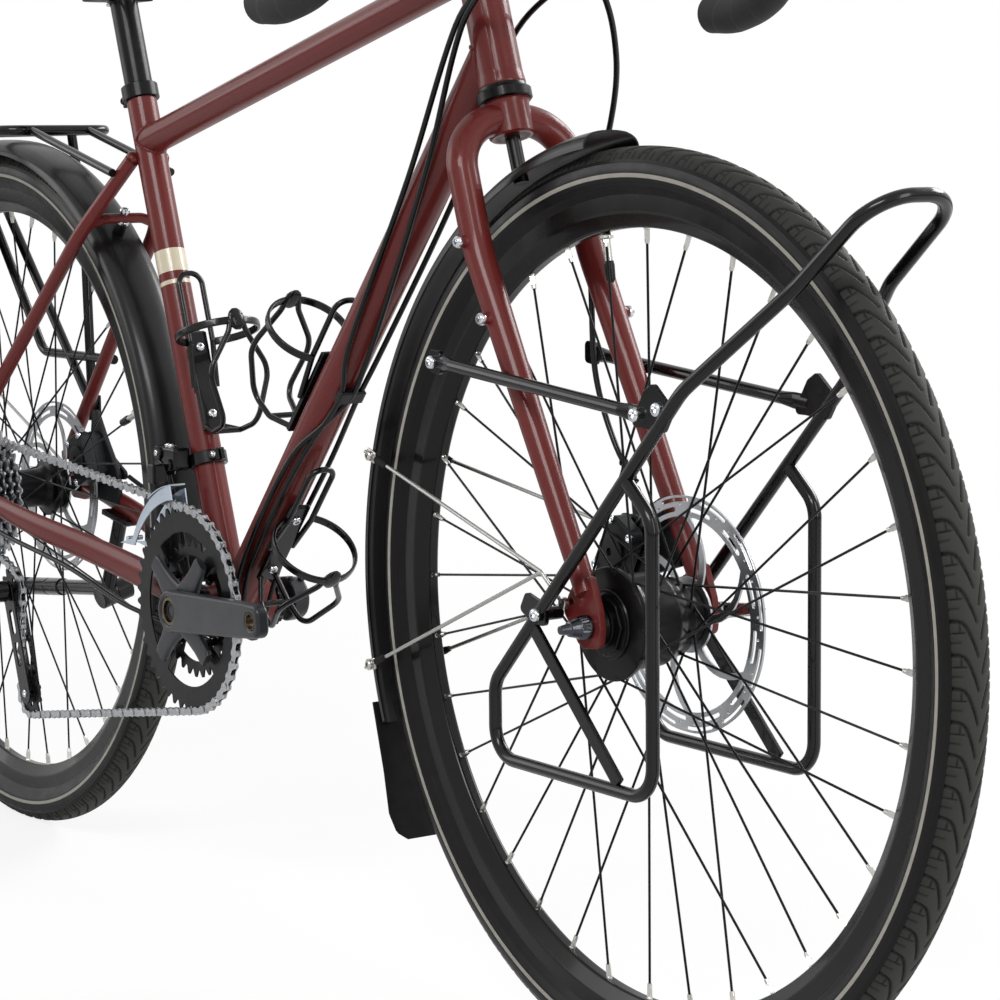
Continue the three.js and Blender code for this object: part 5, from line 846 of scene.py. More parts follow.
def reflex_band(centre, hand):
    """Thin band on the sidewall between 92 and 101 degrees round the casing."""
    angle = np.radians([91.8, 93.5, 96.4, 99.3, 101.0])
    outside = np.stack([TYRE_CENTRE + 19.15 * np.cos(angle), hand * 19.15 * np.sin(angle)], 1)
    inside = np.stack([TYRE_CENTRE + 18.4 * np.cos(angle), hand * 18.4 * np.sin(angle)], 1)
    return lathe(np.vstack([outside, inside[::-1]]), centre, 300)


def rim(centre):
    """Deep extruded section with rounded nose, straight walls and hooked edges."""
    half = [(289.5, 4.6), (301, 11.4), (316.8, 11.5), (316.8, 10.0), (312.5, 9.6), (310.5, 9.0), (309.2, 6.0)]
    profile = half + [(r, -y) for r, y in half[::-1]]
    bends = [3.5, 7, 0.5, 0.5, 1, 1, 2] + [2, 1, 1, 0.5, 0.5, 7, 3.5]
    return lathe(rounded(profile, bends), centre, 288)


def spoke_line(hub, i):
    """A spoke's two ends: the hole in its flange and its place on the rim."""
    angle = 360 / SPOKES * i
    lead = 1 if (i // 2) % 2 == 0 else -1
    near = i % 2 == 0
    radius = (hub["flange"] if near else hub["far"]) - 3.3
    side = (hub["right"] if near else hub["left"]) + 1.9 * lead
    hole = plane(angle + 60 * lead) * radius + SIDEWAYS * side
    return hole, plane(angle) * 291.0, lead


def spokes(hub, centre):
    """Straight wires, each with its bent head's bead at the flange."""
    parts = []
    for i in range(SPOKES):
        hole, tip, lead = spoke_line(hub, i)
        parts.append(pipe(np.stack([hole, tip]) + centre, 1.0, 8))
        side = lead * SIDEWAYS
        parts.append(turned(centre + hole - 0.6 * side, side, [(0, 1.2), (0.7, 2.2), (1.3, 1.6)], 12))
    return parts


def nipples(hub, centre):
    """Each nipple stands on the rim along its spoke: a round neck and a square shank."""
    square = polygon(4, 1.75, 16)
    rings = [(0, 2.6), (1.6, 2.4), (2.2, square), (8.5, square), (9.2, 1.9), (12.2, 1.7)]
    parts = []
    for i in range(SPOKES):
        hole, tip, _ = spoke_line(hub, i)
        inward = unit(hole - tip)
        parts.append(turned(centre + tip + inward * 0.8, inward, rings, 16))
    return parts


def valve(centre, angle):
    """Valve stem through the rim: threaded tube, knurled nut and cap."""
    out = plane(angle)
    base = centre + out * 290
    metal = [turned(base, -out, [(-4, 3.0), (0, 3.0), (3, 5.5), (5, 5.5), (5.6, 3.0), (24, 3.0)], 20)]
    cap = [turned(base - out * 22, -out, [(0, 3.6), (3, 4.1), (14, 3.7), (16, 2.2)], 20)]
    return metal, cap


def front_shell():
    """Dynamo hub: closed profile of radius and side place, flanges and drum rounded into one another."""
    profile = [
        (5.7, -49.3), (13, -49.3), (14.5, -41), (24, -39), (24, -36.8), (42.5, -36), (42.5, -32),
        (37.5, -29.5), (36, -24), (35.5, 4), (30, 14), (30, 18), (30, 22), (24, 24.5), (23, 36),
        (18.3, 36), (18.3, 40), (10, 41), (9, 49.3), (5.7, 49.3),
    ]
    bends = [0, 1, 2, 1, 2, 1, 1, 2, 3, 6, 5, 1, 1, 2, 1, 0.4, 0.4, 1, 0.8, 0]
    return rounded(profile, bends)


def rear_shell():
    """Freehub hub: slim drum between two flanges and the disc's seat on the left."""
    profile = [
        (5.7, -22.7), (14, -22.7), (20, -21.3), (30, -21), (30, -17), (22, -14), (20, -6), (20, 22),
        (23, 28), (30, 30), (30, 34), (24, 36.5), (23, 43.5), (18.3, 43.5), (18.3, 47.5), (10, 48.5),
        (9, 66.8), (5.7, 66.8),
    ]
    bends = [0, 1, 2, 1, 1, 3, 5, 5, 3, 1, 1, 2, 1, 0.4, 0.4, 1, 0.8, 0]
    return rounded(profile, bends)


def brake_disc(centre, seat):
    """Braking band with two rings of long slots and a ring of holes, six swept arms and a splined carrier."""
    polar = lambda r, a: around((0, 0), r, a)
    whole = full_turn(180)
    loops = [
        polar(DISC_RADIUS - 0.5 * (1 + np.cos(12 * whole)) / 2, whole),
        polar(19 + 0.6 * np.sign(np.sin(18 * whole)), whole)
    ]

    def slot(radius, wide, start, end):
        arc = np.linspace(start, end, 12)
        cap = np.linspace(0, math.pi, 6)[1:-1]
        tips = [polar(radius, a) + polar(wide, turn + a) for a, turn in ((end, cap), (start, cap + math.pi))]
        return np.vstack([polar(radius + wide, arc), tips[0], polar(radius - wide, arc[::-1]), tips[1]])

    for i in range(12):
        start = math.pi * i / 6
        loops.append(slot(86.4, 1.4, start, start + 0.34))
        loops.append(slot(79.4, 1.7, start + 0.2, start + 0.48))
        loops += [polar(83.0, start + lag) + polar(1.0, -full_turn(10)) for lag in (0.42, 0.1)]
    for i in range(6):
        start, lean = math.pi * i / 3, math.radians(30)
        share = np.linspace(0, 1, 9)
        span = 29.0 + 45.0 * share
        lead = start + 3.4 / span + lean * share**1.4
        trail = start + math.pi / 3 - 3.4 / span + lean * share**1.4
        outer = np.linspace(lead[-1], trail[-1], 12)[1:-1]
        inner = np.linspace(trail[0], lead[0], 5)[1:-1]
        edges = [polar(span, lead), polar(span[-1], outer), polar(span, trail)[::-1], polar(span[0], inner)]
        loops.append(np.vstack(edges))
    loops = [loop + centre[[0, 2]] for loop in loops]
    return sheet_metal(loops, seat, seat + 1.9, 0.2)


def lock_ring(centre, seat):
    """Toothed ring that holds the disc on its splines."""
    teeth = notches(24, 16.5, 0.5)
    rings = [(0, 18), (1.6, 18), (2, teeth), (3.4, teeth), (3.6, 9.5), (1, 9.4)]
    return turned(centre + SIDEWAYS * seat, SIDEWAYS, rings, 96)


def wheel(name, body, centre, hub, shell, valve_angle, disc_steel):
    surface, depth = tread_belt(centre)
    belt = build(name + "_tyre_tread", body, tread, [surface], name + "_tyre", 60, keep=True)
    # The groove attribute carries the painted shade of the grooves and the shoulders
    belt.data.attributes.new("groove", "FLOAT", "POINT").data.foreach_set("value", depth)
    build(name + "_tyre_casing", body, sidewall, [tyre_casing(centre)], name + "_tyre", 40)
    build(name + "_tyre_stripe", body, reflex, [reflex_band(centre, RIGHT), reflex_band(centre, LEFT)])
    build(name + "_rim_section", body, rim_black, [rim(centre)], name + "_rim", 30)
    build(name + "_hub_shell", body, anodised, [lathe(shell, centre, 96)], name + "_hub_and_spokes", 30)
    build(name + "_spokes", body, spoke_black, spokes(hub, centre), name + "_hub_and_spokes")
    build(name + "_nipples", body, nickel, nipples(hub, centre))
    metal, cap = valve(centre, valve_angle)
    build(name + "_valve", body, nickel, metal)
    build(name + "_valve_cap", body, housing, cap)
    build(
        name + "_disc_rotor", body, disc_steel, [brake_disc(centre, hub["seat"] + 0.5)],
        name + "_brake_disc", 30
    )
    build(name + "_disc_lock_ring", body, anodised, [lock_ring(centre, hub["seat"] + 2.4)])


wheel("front", "front_wheel", FRONT_AXLE, FRONT_HUB, front_shell(), 100, front_disc_steel)
wheel("rear", "rear_wheel", REAR_AXLE, REAR_HUB, rear_shell(), 20, rear_disc_steel)


def hub_rings():
    """Lock rings at the dynamo hub's ends."""
    octagon, nut = polygon(8, 21, 64), polygon(8, 13.2, 64)
    wide = [(0, 26), (1.2, 26.4), (2.2, 25.6), (2.4, octagon), (5.6, octagon), (6.2, octagon - 0.7)]
    slim = [(0, 16.4), (2.6, 16.4), (3.2, 15.6), (3.4, 13.6), (6.4, 13.2)]
    rings = [
        turned(FRONT_AXLE - 36.6 * SIDEWAYS, -SIDEWAYS, wide, 64),
        turned(FRONT_AXLE - 42.4 * SIDEWAYS, -SIDEWAYS, slim, 64),
        turned(FRONT_AXLE + 45 * SIDEWAYS, SIDEWAYS, [(0, 12.5), (0.4, nut), (2.6, nut), (3, 12.5)], 64),
    ]
    build("front_hub_lock_rings", "front_wheel", anodised, rings)


hub_rings()


def skewer(centre, outside):
    """Axle, conical knurled nut on the right with its tip, and the round head on the left."""
    knurl = 8.6 + 0.35 * np.cos(24 * full_turn(96))
    rings = [(0, 8.4), (0.6, 9.0), (3, 9.0), (4, knurl), (9, knurl * 0.92)]
    rings += [(10, 7.4), (17, 5.6), (17.5, 4.4), (25, 3.2), (25.4, 2.2)]
    nut = turned(centre - SIDEWAYS * outside, -SIDEWAYS, rings, 96)
    axle = bar(centre - SIDEWAYS * (outside + 2), centre + SIDEWAYS * (outside + 4), 4.6)
    head = turned(centre + SIDEWAYS * outside, SIDEWAYS, [(0, 8.6), (0.6, 9.0), (6, 9.0), (7, 8.2)], 48)
    return [nut, axle, head]


def quick_lever(centre, outside, angle):
    """Cam barrel across the skewer and a slim cranked arm."""
    direction = plane(angle)
    root = centre + SIDEWAYS * (outside + 13.6)
    across = unit(np.cross(direction, SIDEWAYS))
    barrel = bar(root - across * 6.5, root + across * 6.5, 6.0, 0.8)
    share = np.linspace(0, 1, 16)
    path = root + direction * (50 * share)[:, None]
    half = 6.3 * (1 - share * 0.3) * np.sqrt(np.clip(1.03 - share**8, 0.03, 1))
    arm = sweep(path, oval(2.4 + 0 * share, half, 20, 3), SIDEWAYS)
    return [barrel, arm]


build("front_skewer_nut", "fork", dark_chrome, skewer(FRONT_AXLE, FORK_END), "front_axle_skewer", 30)
build("rear_skewer_nut", "frame", dark_chrome, skewer(REAR_AXLE, FRAME_END), "rear_axle_skewer", 30)
for end, axle, outside, angle in (("front", FRONT_AXLE, FORK_END, 8), ("rear", REAR_AXLE, FRAME_END, 200)):
    node = end + "_quick_release_lever"
    build(end + "_quick_lever", node, polished, quick_lever(axle, outside, angle), node)


# Frame

def weld(a, b, radius, c, d, other, bead=1.7):
    """Bead round the joint of tube a-b with tube c-d: each of its places solves |p x axis| = other
    radius along the first tube."""
    along, axis = unit(b - a), unit(d - c)
    side = unit(np.cross(along, axis))
    up = np.cross(along, side)
    turn = full_turn(120)
    start = a + radius * (np.cos(turn)[:, None] * side + np.sin(turn)[:, None] * up) - c
    flat_start = start - (start @ axis)[:, None] * axis
    flat_run = along - (along @ axis) * axis
    qa, qb = flat_run @ flat_run, 2 * flat_start @ flat_run
    qc = (flat_start**2).sum(1) - other**2
    root = np.sqrt(np.maximum(qb**2 - 4 * qa * qc, 0))
    path = start + c + ((-qb + root) / (2 * qa))[:, None] * along
    ripple = bead * (1 + 0.12 * np.sin(40 * turn))
    return sweep(path, circle(ripple, 10), along, True)


def tube(a, b, radius, sides=64):
    return pipe(np.linspace(a, b, 3), radius, sides)


SADDLE_LOW = on_seat(POST_TOP - 42)
TOP_FRONT, TOP_REAR = on_steer(HEAD_TOP - 24), on_seat(SEAT_JOINT)


def frame_tubes():
    """Straight tubes with weld beads where they meet, the bottom bracket shell and the rings round its
    ends."""
    bracket = BOTTOM_BRACKET - 60 * SIDEWAYS, BOTTOM_BRACKET + 60 * SIDEWAYS
    steerer = on_steer(0), on_steer(600)
    low = on_steer(HEAD_BOTTOM)
    barrel = [(0, 18.6), (2, 18.9), (8, 18.2), (12, 18), (113, 18), (117, 18.2), (123, 18.9), (125, 18.6)]
    head = [turned(low, STEER_UP, barrel, 64), turned(low, STEER_UP, [(0, 18.7), (1.5, 18.9)], 64)]
    build("head_tube_barrel", "frame", enamel, head, "head_tube")
    lower, upper = on_steer(HEAD_BOTTOM - 12), on_steer(HEAD_TOP - 0.2)
    cups = [
        turned(lower, STEER_UP, [(0, 20.8), (1, 21.8), (8, 21.8), (10, 19.2), (12.2, 18.8)], 64),
        turned(upper, STEER_UP, [(0, 18.8), (2, 19.2), (4, 21.8), (9, 21.8), (12, 18.2)], 64),
    ]
    build("headset_cups", "frame", anodised, cups)
    down = [
        tube(BOTTOM_BRACKET + DOWN_ALONG * 16, DOWN_TOP - DOWN_ALONG * 8, DOWN_RADIUS),
        weld(BOTTOM_BRACKET, DOWN_TOP, DOWN_RADIUS, *bracket, 21.0),
        weld(DOWN_TOP, BOTTOM_BRACKET, DOWN_RADIUS, *steerer, HEAD_RADIUS),
    ]
    build("down_tube_barrel", "frame", enamel, down, "down_tube")
    along = unit(TOP_FRONT - TOP_REAR)
    top = [
        tube(TOP_REAR + 6 * along, TOP_FRONT - 8 * along, TOP_RADIUS),
        weld(TOP_REAR, TOP_FRONT, TOP_RADIUS, on_seat(0), on_seat(600), SEAT_RADIUS),
        weld(TOP_FRONT, TOP_REAR, TOP_RADIUS, *steerer, HEAD_RADIUS),
    ]
    build("top_tube_barrel", "frame", enamel, top, "top_tube")
    rings = [(0, 20), (0.8, 20.9), (67.2, 20.9), (68, 20), (68, 12.9), (0, 12.9)]
    seat = [
        turned(BOTTOM_BRACKET - 34 * SIDEWAYS, SIDEWAYS, rings, 64),
        tube(BOTTOM_BRACKET + SEAT_UP * 12, on_seat(SEAT_TUBE_LENGTH), SEAT_RADIUS),
        weld(BOTTOM_BRACKET, on_seat(300), SEAT_RADIUS, *bracket, 20.9),
    ]
    build("seat_tube_barrel", "frame", enamel, seat, "seat_tube")
    bands = []
    for height, tall in ((318, 22), (306, 4)):
        rings = [(0, 14.35), (0.05, 14.42), (tall, 14.42), (tall + 0.05, 14.35), (tall, 14.2), (0, 14.2)]
        bands.append(turned(on_seat(height), SEAT_UP, rings, 64))
    build("seat_tube_bands", "frame", cream, bands)
    notched = notches(16, 22.6, 0.5)
    rings = [(0, 21), (1, 22.4), (2, notched), (7, notched), (8.2, 21.4), (8.2, 12.9), (0, 12.9)]
    cups = [turned(BOTTOM_BRACKET + 33.8 * out, out, rings, 96) for out in (-SIDEWAYS, SIDEWAYS)]
    build("bottom_bracket_cups", "frame", anodised, cups)
    collar_low = on_seat(SEAT_TUBE_LENGTH + 0.3)
    ear = collar_low + 7 * SEAT_UP - 21 * SEAT_AHEAD
    rings = [(0, 16.9), (0.6, 17.5), (13.4, 17.5), (14, 16.9), (14, 13.6), (0, 13.6)]
    collar = [
        turned(collar_low, SEAT_UP, rings, 64),
        box(ear + 4 * SIDEWAYS, -SEAT_AHEAD, SIDEWAYS, 12, 4.5, 11),
        box(ear - 4 * SIDEWAYS, -SEAT_AHEAD, SIDEWAYS, 12, 4.5, 11),
        bolt(ear - SEAT_AHEAD - 6 * SIDEWAYS, -SIDEWAYS, 3.6, 3.4),
    ]
    build("seat_clamp_collar", "frame", anodised, collar, "seat_clamp")


frame_tubes()


def chainstay_path(hand):
    """Centre line that leaves room for the tyre and then for the sprockets and the disc."""
    start = BOTTOM_BRACKET + vec(-4, hand * 26, 0)
    tip = rear(26, hand * 64.5, 4.5)
    middle, bulge = start + 0.4 * (tip - start), start + 0.72 * (tip - start)
    middle[1], bulge[1] = hand * 40, hand * 59.5
    return curve([start, middle, bulge, tip], 48)


def dropout(hand):
    """Plate between the stays; the right one reaches down to hold the derailleur."""
    low, high = sorted((hand * (FRAME_END - 5), hand * FRAME_END))
    hanger = [(-18, -41), (0, -41)] if hand == RIGHT else []
    outline = [(43, 9), (15, 15), (-7, 31), (-21, 31), (-22, 0), (-15, -15), *hanger, (15, -15), (43, -4.5)]
    flat = np.array([rear(x, 0, z) for x, z in outline])
    shape = bent(flat, [4, 10, 5, 5, 8, 8] + [5] * len(hanger) + [8, 3], True, 15)
    hole = disc_outline(REAR_AXLE, 5.6)
    eye = disc_outline(rear(-15, 0, 14), 2.6, 16)
    return sheet_metal([shape, hole, eye], low, high, 0.6, 2)


def seatstay_corners(hand):
    """Top, knee and foot of a seatstay."""
    top = on_seat(SEAT_JOINT - 16) + vec(-9, hand * 15, 0)
    return top, top + vec(-64, hand * 25, -70), rear(-14, hand * 64, 31)


def bridge_place():
    """Where the straight part of the stay is 372 mm from the rear axle, and the direction outward there."""
    _, knee, foot = seatstay_corners(LEFT)
    run = foot - knee
    flat, off = run * vec(1, 0, 1), (knee - REAR_AXLE) * vec(1, 0, 1)
    half = off @ flat / (flat @ flat)
    share = -half - math.sqrt(half**2 - (off @ off - 372**2) / (flat @ flat))
    start = knee + share * run
    return start, unit((start - REAR_AXLE) * vec(1, 0, 1))


def stay_bridge():
    """Bent tube between the seatstays, and the mudguard's bolt below it."""
    start, out = bridge_place()
    top = start + 9 * out
    top[1] = start[1] / 2
    flip = vec(1, -1, 1)
    middle = (start + 9 * out) * vec(1, 0, 1)
    bolts = [
        bolt(middle + 4 * UPRIGHT + 3 * out, unit(UPRIGHT + out), 5.0, 3.4),
        bar(middle - out * 5, middle - out * 1, 7, 0.8),
    ]
    build("seatstay_bridge_bolt", "frame", polished, bolts)
    return pipe(bent([start * flip, top * flip, top, start], 18, False, 6), 5.0, 24)


def rear_stays():
    for hand, name in SIDES:
        path = chainstay_path(hand)
        share = np.linspace(0, 1, len(path))
        stay = sweep(path, oval(8 - 2.5 * share, 15 - 6 * share**2, 32))
        build("chainstay_tube_" + name, "frame", enamel, [stay, dropout(hand)], "chainstay_" + name)
        top, knee, foot = seatstay_corners(hand)
        line = bent([top, knee, foot], 128, False, 3)
        back = unit(line[0] - line[1])
        parts = [
            pipe(line, 7.0, 32), turned(line[0] + back, back, [(-4, 7.0), (0, 7.0), (2, 5.8), (3, 3.4)], 32),
            turned(foot - UPRIGHT * 4, UPRIGHT, [(0, 6.4), (2, 7.0), (8, 7.0)], 32),
        ]
        if hand == LEFT:
            parts.append(stay_bridge())
        build("seatstay_tube_" + name, "frame", enamel, parts, "seatstay_" + name)


rear_stays()


# Fork

def blade_path(hand):
    """Centre line from the crown out to the shoulder and down to the fork end."""
    crown = on_steer(CROWN_HEIGHT - 14, -hand * 2)
    shoulder = on_steer(CROWN_HEIGHT - 14, hand * 52)
    return bent(
        [crown, shoulder, on_steer(302, hand * 53), front(-5, hand * 53, 24)], [0, 42, 160, 0], False, 3
    )


def fork_tip(hand):
    """Plate with the axle's hole and the mudguard's eye."""
    low, high = sorted((hand * (FORK_END - 6), hand * FORK_END))
    corners = [(-12.8, 37), (-24, 21), (-30.5, 8), (-20, -4), (-13, -13)]
    corners += [(-7, -17), (13, -15), (15, 0), (13, 13), (2.8, 37)]
    flat = np.array([front(x, 0, z) for x, z in corners])
    shape = bent(flat, [3, 3, 5, 5, 3, 3, 6, 8, 8, 3], True, 15)
    slot = disc_outline(FRONT_AXLE, 5.4)
    eye = disc_outline(front(-20, 0, 16), 2.6, 16)
    return sheet_metal([shape, slot, eye], low, high, 0.7, 2)


def fork_piece():
    """Steerer with the crown's collar, two tapering blades with their ends, and screws in the rack's
    bosses."""
    low = on_steer(CROWN_HEIGHT - 28)
    collar = [(0, 16.5), (1.5, 18), (24, 18), (27, 18.6), (27.7, 20.5)]
    boss = [(0, 6.2), (2.5, 5.4), (4, 4.7), (7.6, 4.7)]
    parts = [tube(low, on_steer(STEM_MIDDLE + 19), 14.2), turned(low, STEER_UP, collar, 64)]
    screws = []
    for hand in (RIGHT, LEFT):
        path = blade_path(hand)
        run = np.concatenate([[0], np.cumsum(np.linalg.norm(np.diff(path, axis=0), axis=1))])
        share = run / run[-1]
        radius = np.where(share < 0.5, 12.6 - 1.3 * 2 * share, 11.3 - 2.7 * (2 * share - 1))
        parts += [sweep(path, circle(radius, 40), STEER_AHEAD), fork_tip(hand)]
        for height in (278, 221):
            level = WHEEL_RADIUS + height
            order = np.argsort(path[:, 2])
            middle = np.array([np.interp(level, path[order, 2], path[order, k]) for k in range(3)])
            out = middle + vec(0, hand * 11, 0)
            parts.append(turned(out - vec(0, hand * 3, 0), vec(0, hand, 0), boss, 28))
            screws.append(bolt(out + vec(0, hand * 4.6, 0), vec(0, hand, 0), 4.9, 4.0, 2.0))
    build("fork_blades", "fork", enamel, parts, "fork")
    build("fork_boss_screws", "fork", polished, screws)


fork_piece()


# Mudguards

def guard_shell(centre, start, end):
    """Rolled section: superellipse of half width 26.2 and rise 14, swept from the start angle to the end
    angle."""
    count = 90
    turn = np.linspace(-math.pi / 2, math.pi / 2, 31)
    side = np.sign(np.sin(turn)) * np.abs(np.sin(turn)) ** (2 / 2.5)
    rise = np.abs(np.cos(turn)) ** (2 / 2.5)
    ridge = 0.2 * np.exp(-(((np.abs(side) - 0.55) / 0.05) ** 2))
    outer = np.stack([350 + 14 * rise - 0.4 + ridge, 26.2 * side], 1)
    inner = np.stack([350 + 12.6 * rise - 0.4 + ridge, 25.0 * side], 1)[::-1]
    outline = np.vstack([outer, inner])
    angle = np.radians(np.linspace(start, end, count))[:, None]
    radius, side = outline[:, 0], outline[:, 1] + 0 * angle
    return skin(np.stack([radius * np.cos(angle), side, radius * np.sin(angle)], -1) + centre)


def stay_wire(centre, angle, hand, end, eye):
    """Steel wire from the clip on the mudguard's edge to the eye on the dropout."""
    clip = centre + plane(angle) * 350 + vec(0, hand * 28.2, 0)
    past = clip + 14 * unit(clip - end)
    wire = pipe(bent([past, end, eye], [0, 6, 0]), 1.6, 14)
    plate = box(clip + plane(angle) * 1.5, plane(angle), SIDEWAYS, 13, 2.2, 9.5, 0.5)
    screw = bolt(clip + plane(angle) * 1.5 + vec(0, hand * 1.5, 0), vec(0, hand, 0), 4.2, 3.2, 1.9)
    taper, loop = [(0, 2.6), (1, 3.4), (14, 3.2), (20, 2.3)], [(-1.5, 3.0), (-1, 4.4), (2.4, 4.4), (3, 3.6)]
    sleeve = turned(clip - 9 * unit(clip - end), unit(end - clip), taper, 20)
    ring = turned(eye - vec(0, hand * 1.6, 0), vec(0, hand, 0), loop, 24)
    return [wire], [plate, screw, ring], [sleeve]


def mudguard(name, body, centre, start, end, angles, ends, post):
    """Shell from the start angle to the end angle, its post, and wires at the given angles to the two
    ends."""
    wires, metal, sleeves = [], [], []
    for hand in (RIGHT, LEFT):
        for angle in angles:
            tip, eye = (centre + vec(x, hand * y, z) for x, y, z in ends)
            a, b, c = stay_wire(centre, angle, hand, tip, eye)
            wires, metal, sleeves = wires + a, metal + b, sleeves + c
    build(
        name + "_mudguard_shell", body, guard_sheet, [guard_shell(centre, start, end), post],
        name + "_mudguard", 30
    )
    build(name + "_mudguard_stays", body, stay_steel, wires)
    build(name + "_mudguard_clips", body, nickel, metal)
    build(name + "_mudguard_sleeves", body, soft_rubber, sleeves)


def flap():
    """Rubber flap below the front guard, widening downwards and rounded at the foot."""
    root, tangent = FRONT_AXLE + 363.2 * plane(198), plane(289)
    share = np.linspace(0, 1, 40)
    half = np.interp(share, [0, 0.5, 0.8, 0.94, 1], [26, 27.9, 30.6, 26.6, 17])
    path = root + tangent * (118 * share)[:, None]
    return sweep(path, oval(half, 1.2 + 0 * half, 32, 6))


def mudguards():
    crown_post = turned(on_steer(391.6), -STEER_UP, [(0, 6), (37, 6)], 24)
    ends = (-41, 68, 37), (-20, 64, 16)
    mudguard("front", "fork", FRONT_AXLE, 201, 97, (164, 193), ends, crown_post)
    build("front_mudguard_flap", "fork", soft_rubber, [flap()])
    out = bridge_place()[1]
    bridge_post = turned(REAR_AXLE + out * 362.5, out, [(0, 6), (13.2, 6)], 24)
    ends = (-26, 76.5, 8), (-14, 76.5, 8)
    mudguard("rear", "frame", REAR_AXLE, -8, 196, (150, 178), ends, bridge_post)


mudguards()


# Racks

def low_rack():
    """One bent tube from loop to loop over the tyre, with braces, bars and bracket plates."""
    out = 74.5
    loop = [
        (73, out, 114), (101, out, 90), (101, out, -109), (-93, out, -109),
        (-93, out, -52), (135, out, 182), (215, 42, 254), (289, 37, 315),
    ]
    right, left = ([front(x, hand * y, z) for x, y, z in loop] for hand in (RIGHT, LEFT))
    bends = [0, 24, 24, 24, 24, 48, 48, 34]
    parts = [pipe(bent(right + left[::-1], bends + bends[::-1], False, 5), RACK_TUBE, 20)]
    bolts = []
    tabs = [
        [(78, 154), (92, 154), (116, 152), (126, 168), (104, 186), (94, 180)],
        [(-41, -1), (-25, -1), (-25, 15), (-50, 22), (-58, 8)],
        [(-176, 178), (-160, 176), (-160, 194), (-176, 196)],
    ]
    stations = [(-172, 186.4), (-158, 185.1), (-146, 184), (66, 165), (78, 163.9), (94, 162.5)]
    thick, broad = [2.4, 2.6, 5, 5, 2.6, 2.4], [6.4, 6.2, 5, 5, 6.2, 6.4]
    run = np.linspace(0, 5, 51)
    along = lambda values: np.interp(run, range(6), values)
    for hand in (RIGHT, LEFT):
        low, high = sorted((hand * 72.5, hand * 76.5))
        for corners in tabs:
            flat = np.array([front(x, 0, z) for x, z in corners])
            parts.append(sheet_metal([bent(flat, 4, True, 15)], low, high, 0.4))
        parts.append(bar(front(-33, hand * 56.3, 7), front(-33, hand * 79.5, 7), 5))
        parts.append(bar(front(-86, hand * 65, 178.6), front(-86, hand * out, 178.6), 4))
        rail = np.array([front(x, hand * out, z) for x, z in stations])
        parts.append(
            sweep(np.stack([along(part) for part in rail.T], 1), oval(along(thick), along(broad), 20))
        )
        top, bottom = front(-44, hand * out, -2), front(62, hand * out, -104)
        parts.append(box((top + bottom) / 2, bottom - top, SIDEWAYS, 147, 4, 11))
        for x, y, z in ((88, 78.8, 163), (110, 76.3, 168), (-168, 78.8, 186), (-33, 78.8, 7)):
            bolts.append(bolt(front(x, hand * y, z), vec(0, hand, 0), 5.2, 3.6, 2.5))
    build("low_rack_tubes", "fork", powder, parts, "low_front_rack")
    build("low_rack_bolts", "fork", polished, bolts)


def rear_rack():
    """Deck hoop with cross rods, legs and a rail on each side, and arms to the seatstays."""
    high, half, back, ahead = 372, 58, -265, 118
    deck = [
        rear(ahead, -half, high), rear(back, -half, high), rear(back, half, high), rear(ahead, half, high)
    ]
    parts = [pipe(bent(deck, 22, True, 6), RACK_TUBE, 20, SIDEWAYS, True)]
    for i in (1, 2, 3):
        x = back + (ahead - back) * i / 4
        parts.append(bar(rear(x, -half, high), rear(x, half, high), 4, 0.1))
    legs = [
        ((34, 70, 84), (26, 70, 279), (26, half, high)),
        ((34, 70, 84), (-205, 70, 334.8), (-227, half, high)),
        ((86, 70, 137), (-78, 70, 137), (-249, half, high)),
    ]
    for hand in (RIGHT, LEFT):
        for leg in legs:
            parts.append(pipe(bent([rear(x, hand * y, z) for x, y, z in leg], 22), RACK_TUBE, 18))
        parts.append(box(rear(34, hand * 70, 84), UPRIGHT, SIDEWAYS, 28, 3, 36))
        top, knee, _ = seatstay_corners(hand)
        hold = top + 0.2 * (knee - top) + vec(0, hand * 11.3, 0)
        parts.append(pipe(np.array([rear(ahead, hold[1], high), hold]), 4.0, 18))
    build("rear_rack_tubes", "frame", powder, parts, "rear_rack")


low_rack()
rear_rack()


# Drivetrain

TEETH = [32, 28, 24, 21, 18, 16, 14, 12, 11]
CHAIN_ROW = 28.5 + 4.3


def pitch_radius(teeth):
    """Radius through the pins: pitch / (2 sin(pi / teeth))."""
    return CHAIN_PITCH / (2 * math.sin(math.pi / teeth))


def teeth_outline(teeth, phase, centre, worn=0.0):
    """Round-rooted teeth: per tooth a root arc, two flanks and a narrow tip, a gap lying at the phase
    angle."""
    radius = pitch_radius(teeth)
    shares = np.array([-0.5, -0.36, -0.22, -0.1, 0.1, 0.22, 0.36])
    rises = np.array([-3.9, -3.4, 0.0, 3.0 - worn, 3.0 - worn, 0.0, -3.4])
    turn = phase + (np.arange(teeth)[:, None] + 0.5 + shares) * 2 * math.pi / teeth
    r = radius + rises + 0 * turn
    return around(centre, r, turn).reshape(-1, 2)


GUIDE = rear(46, 0, -99)


def on_wheel(wheel, angle):
    """Where a pin lies on a toothed wheel, given as centre, teeth, direction and side place."""
    centre, teeth, _, side = wheel
    radius = pitch_radius(teeth)
    return vec(centre[0] + radius * math.cos(angle), side, centre[2] + radius * math.sin(angle))


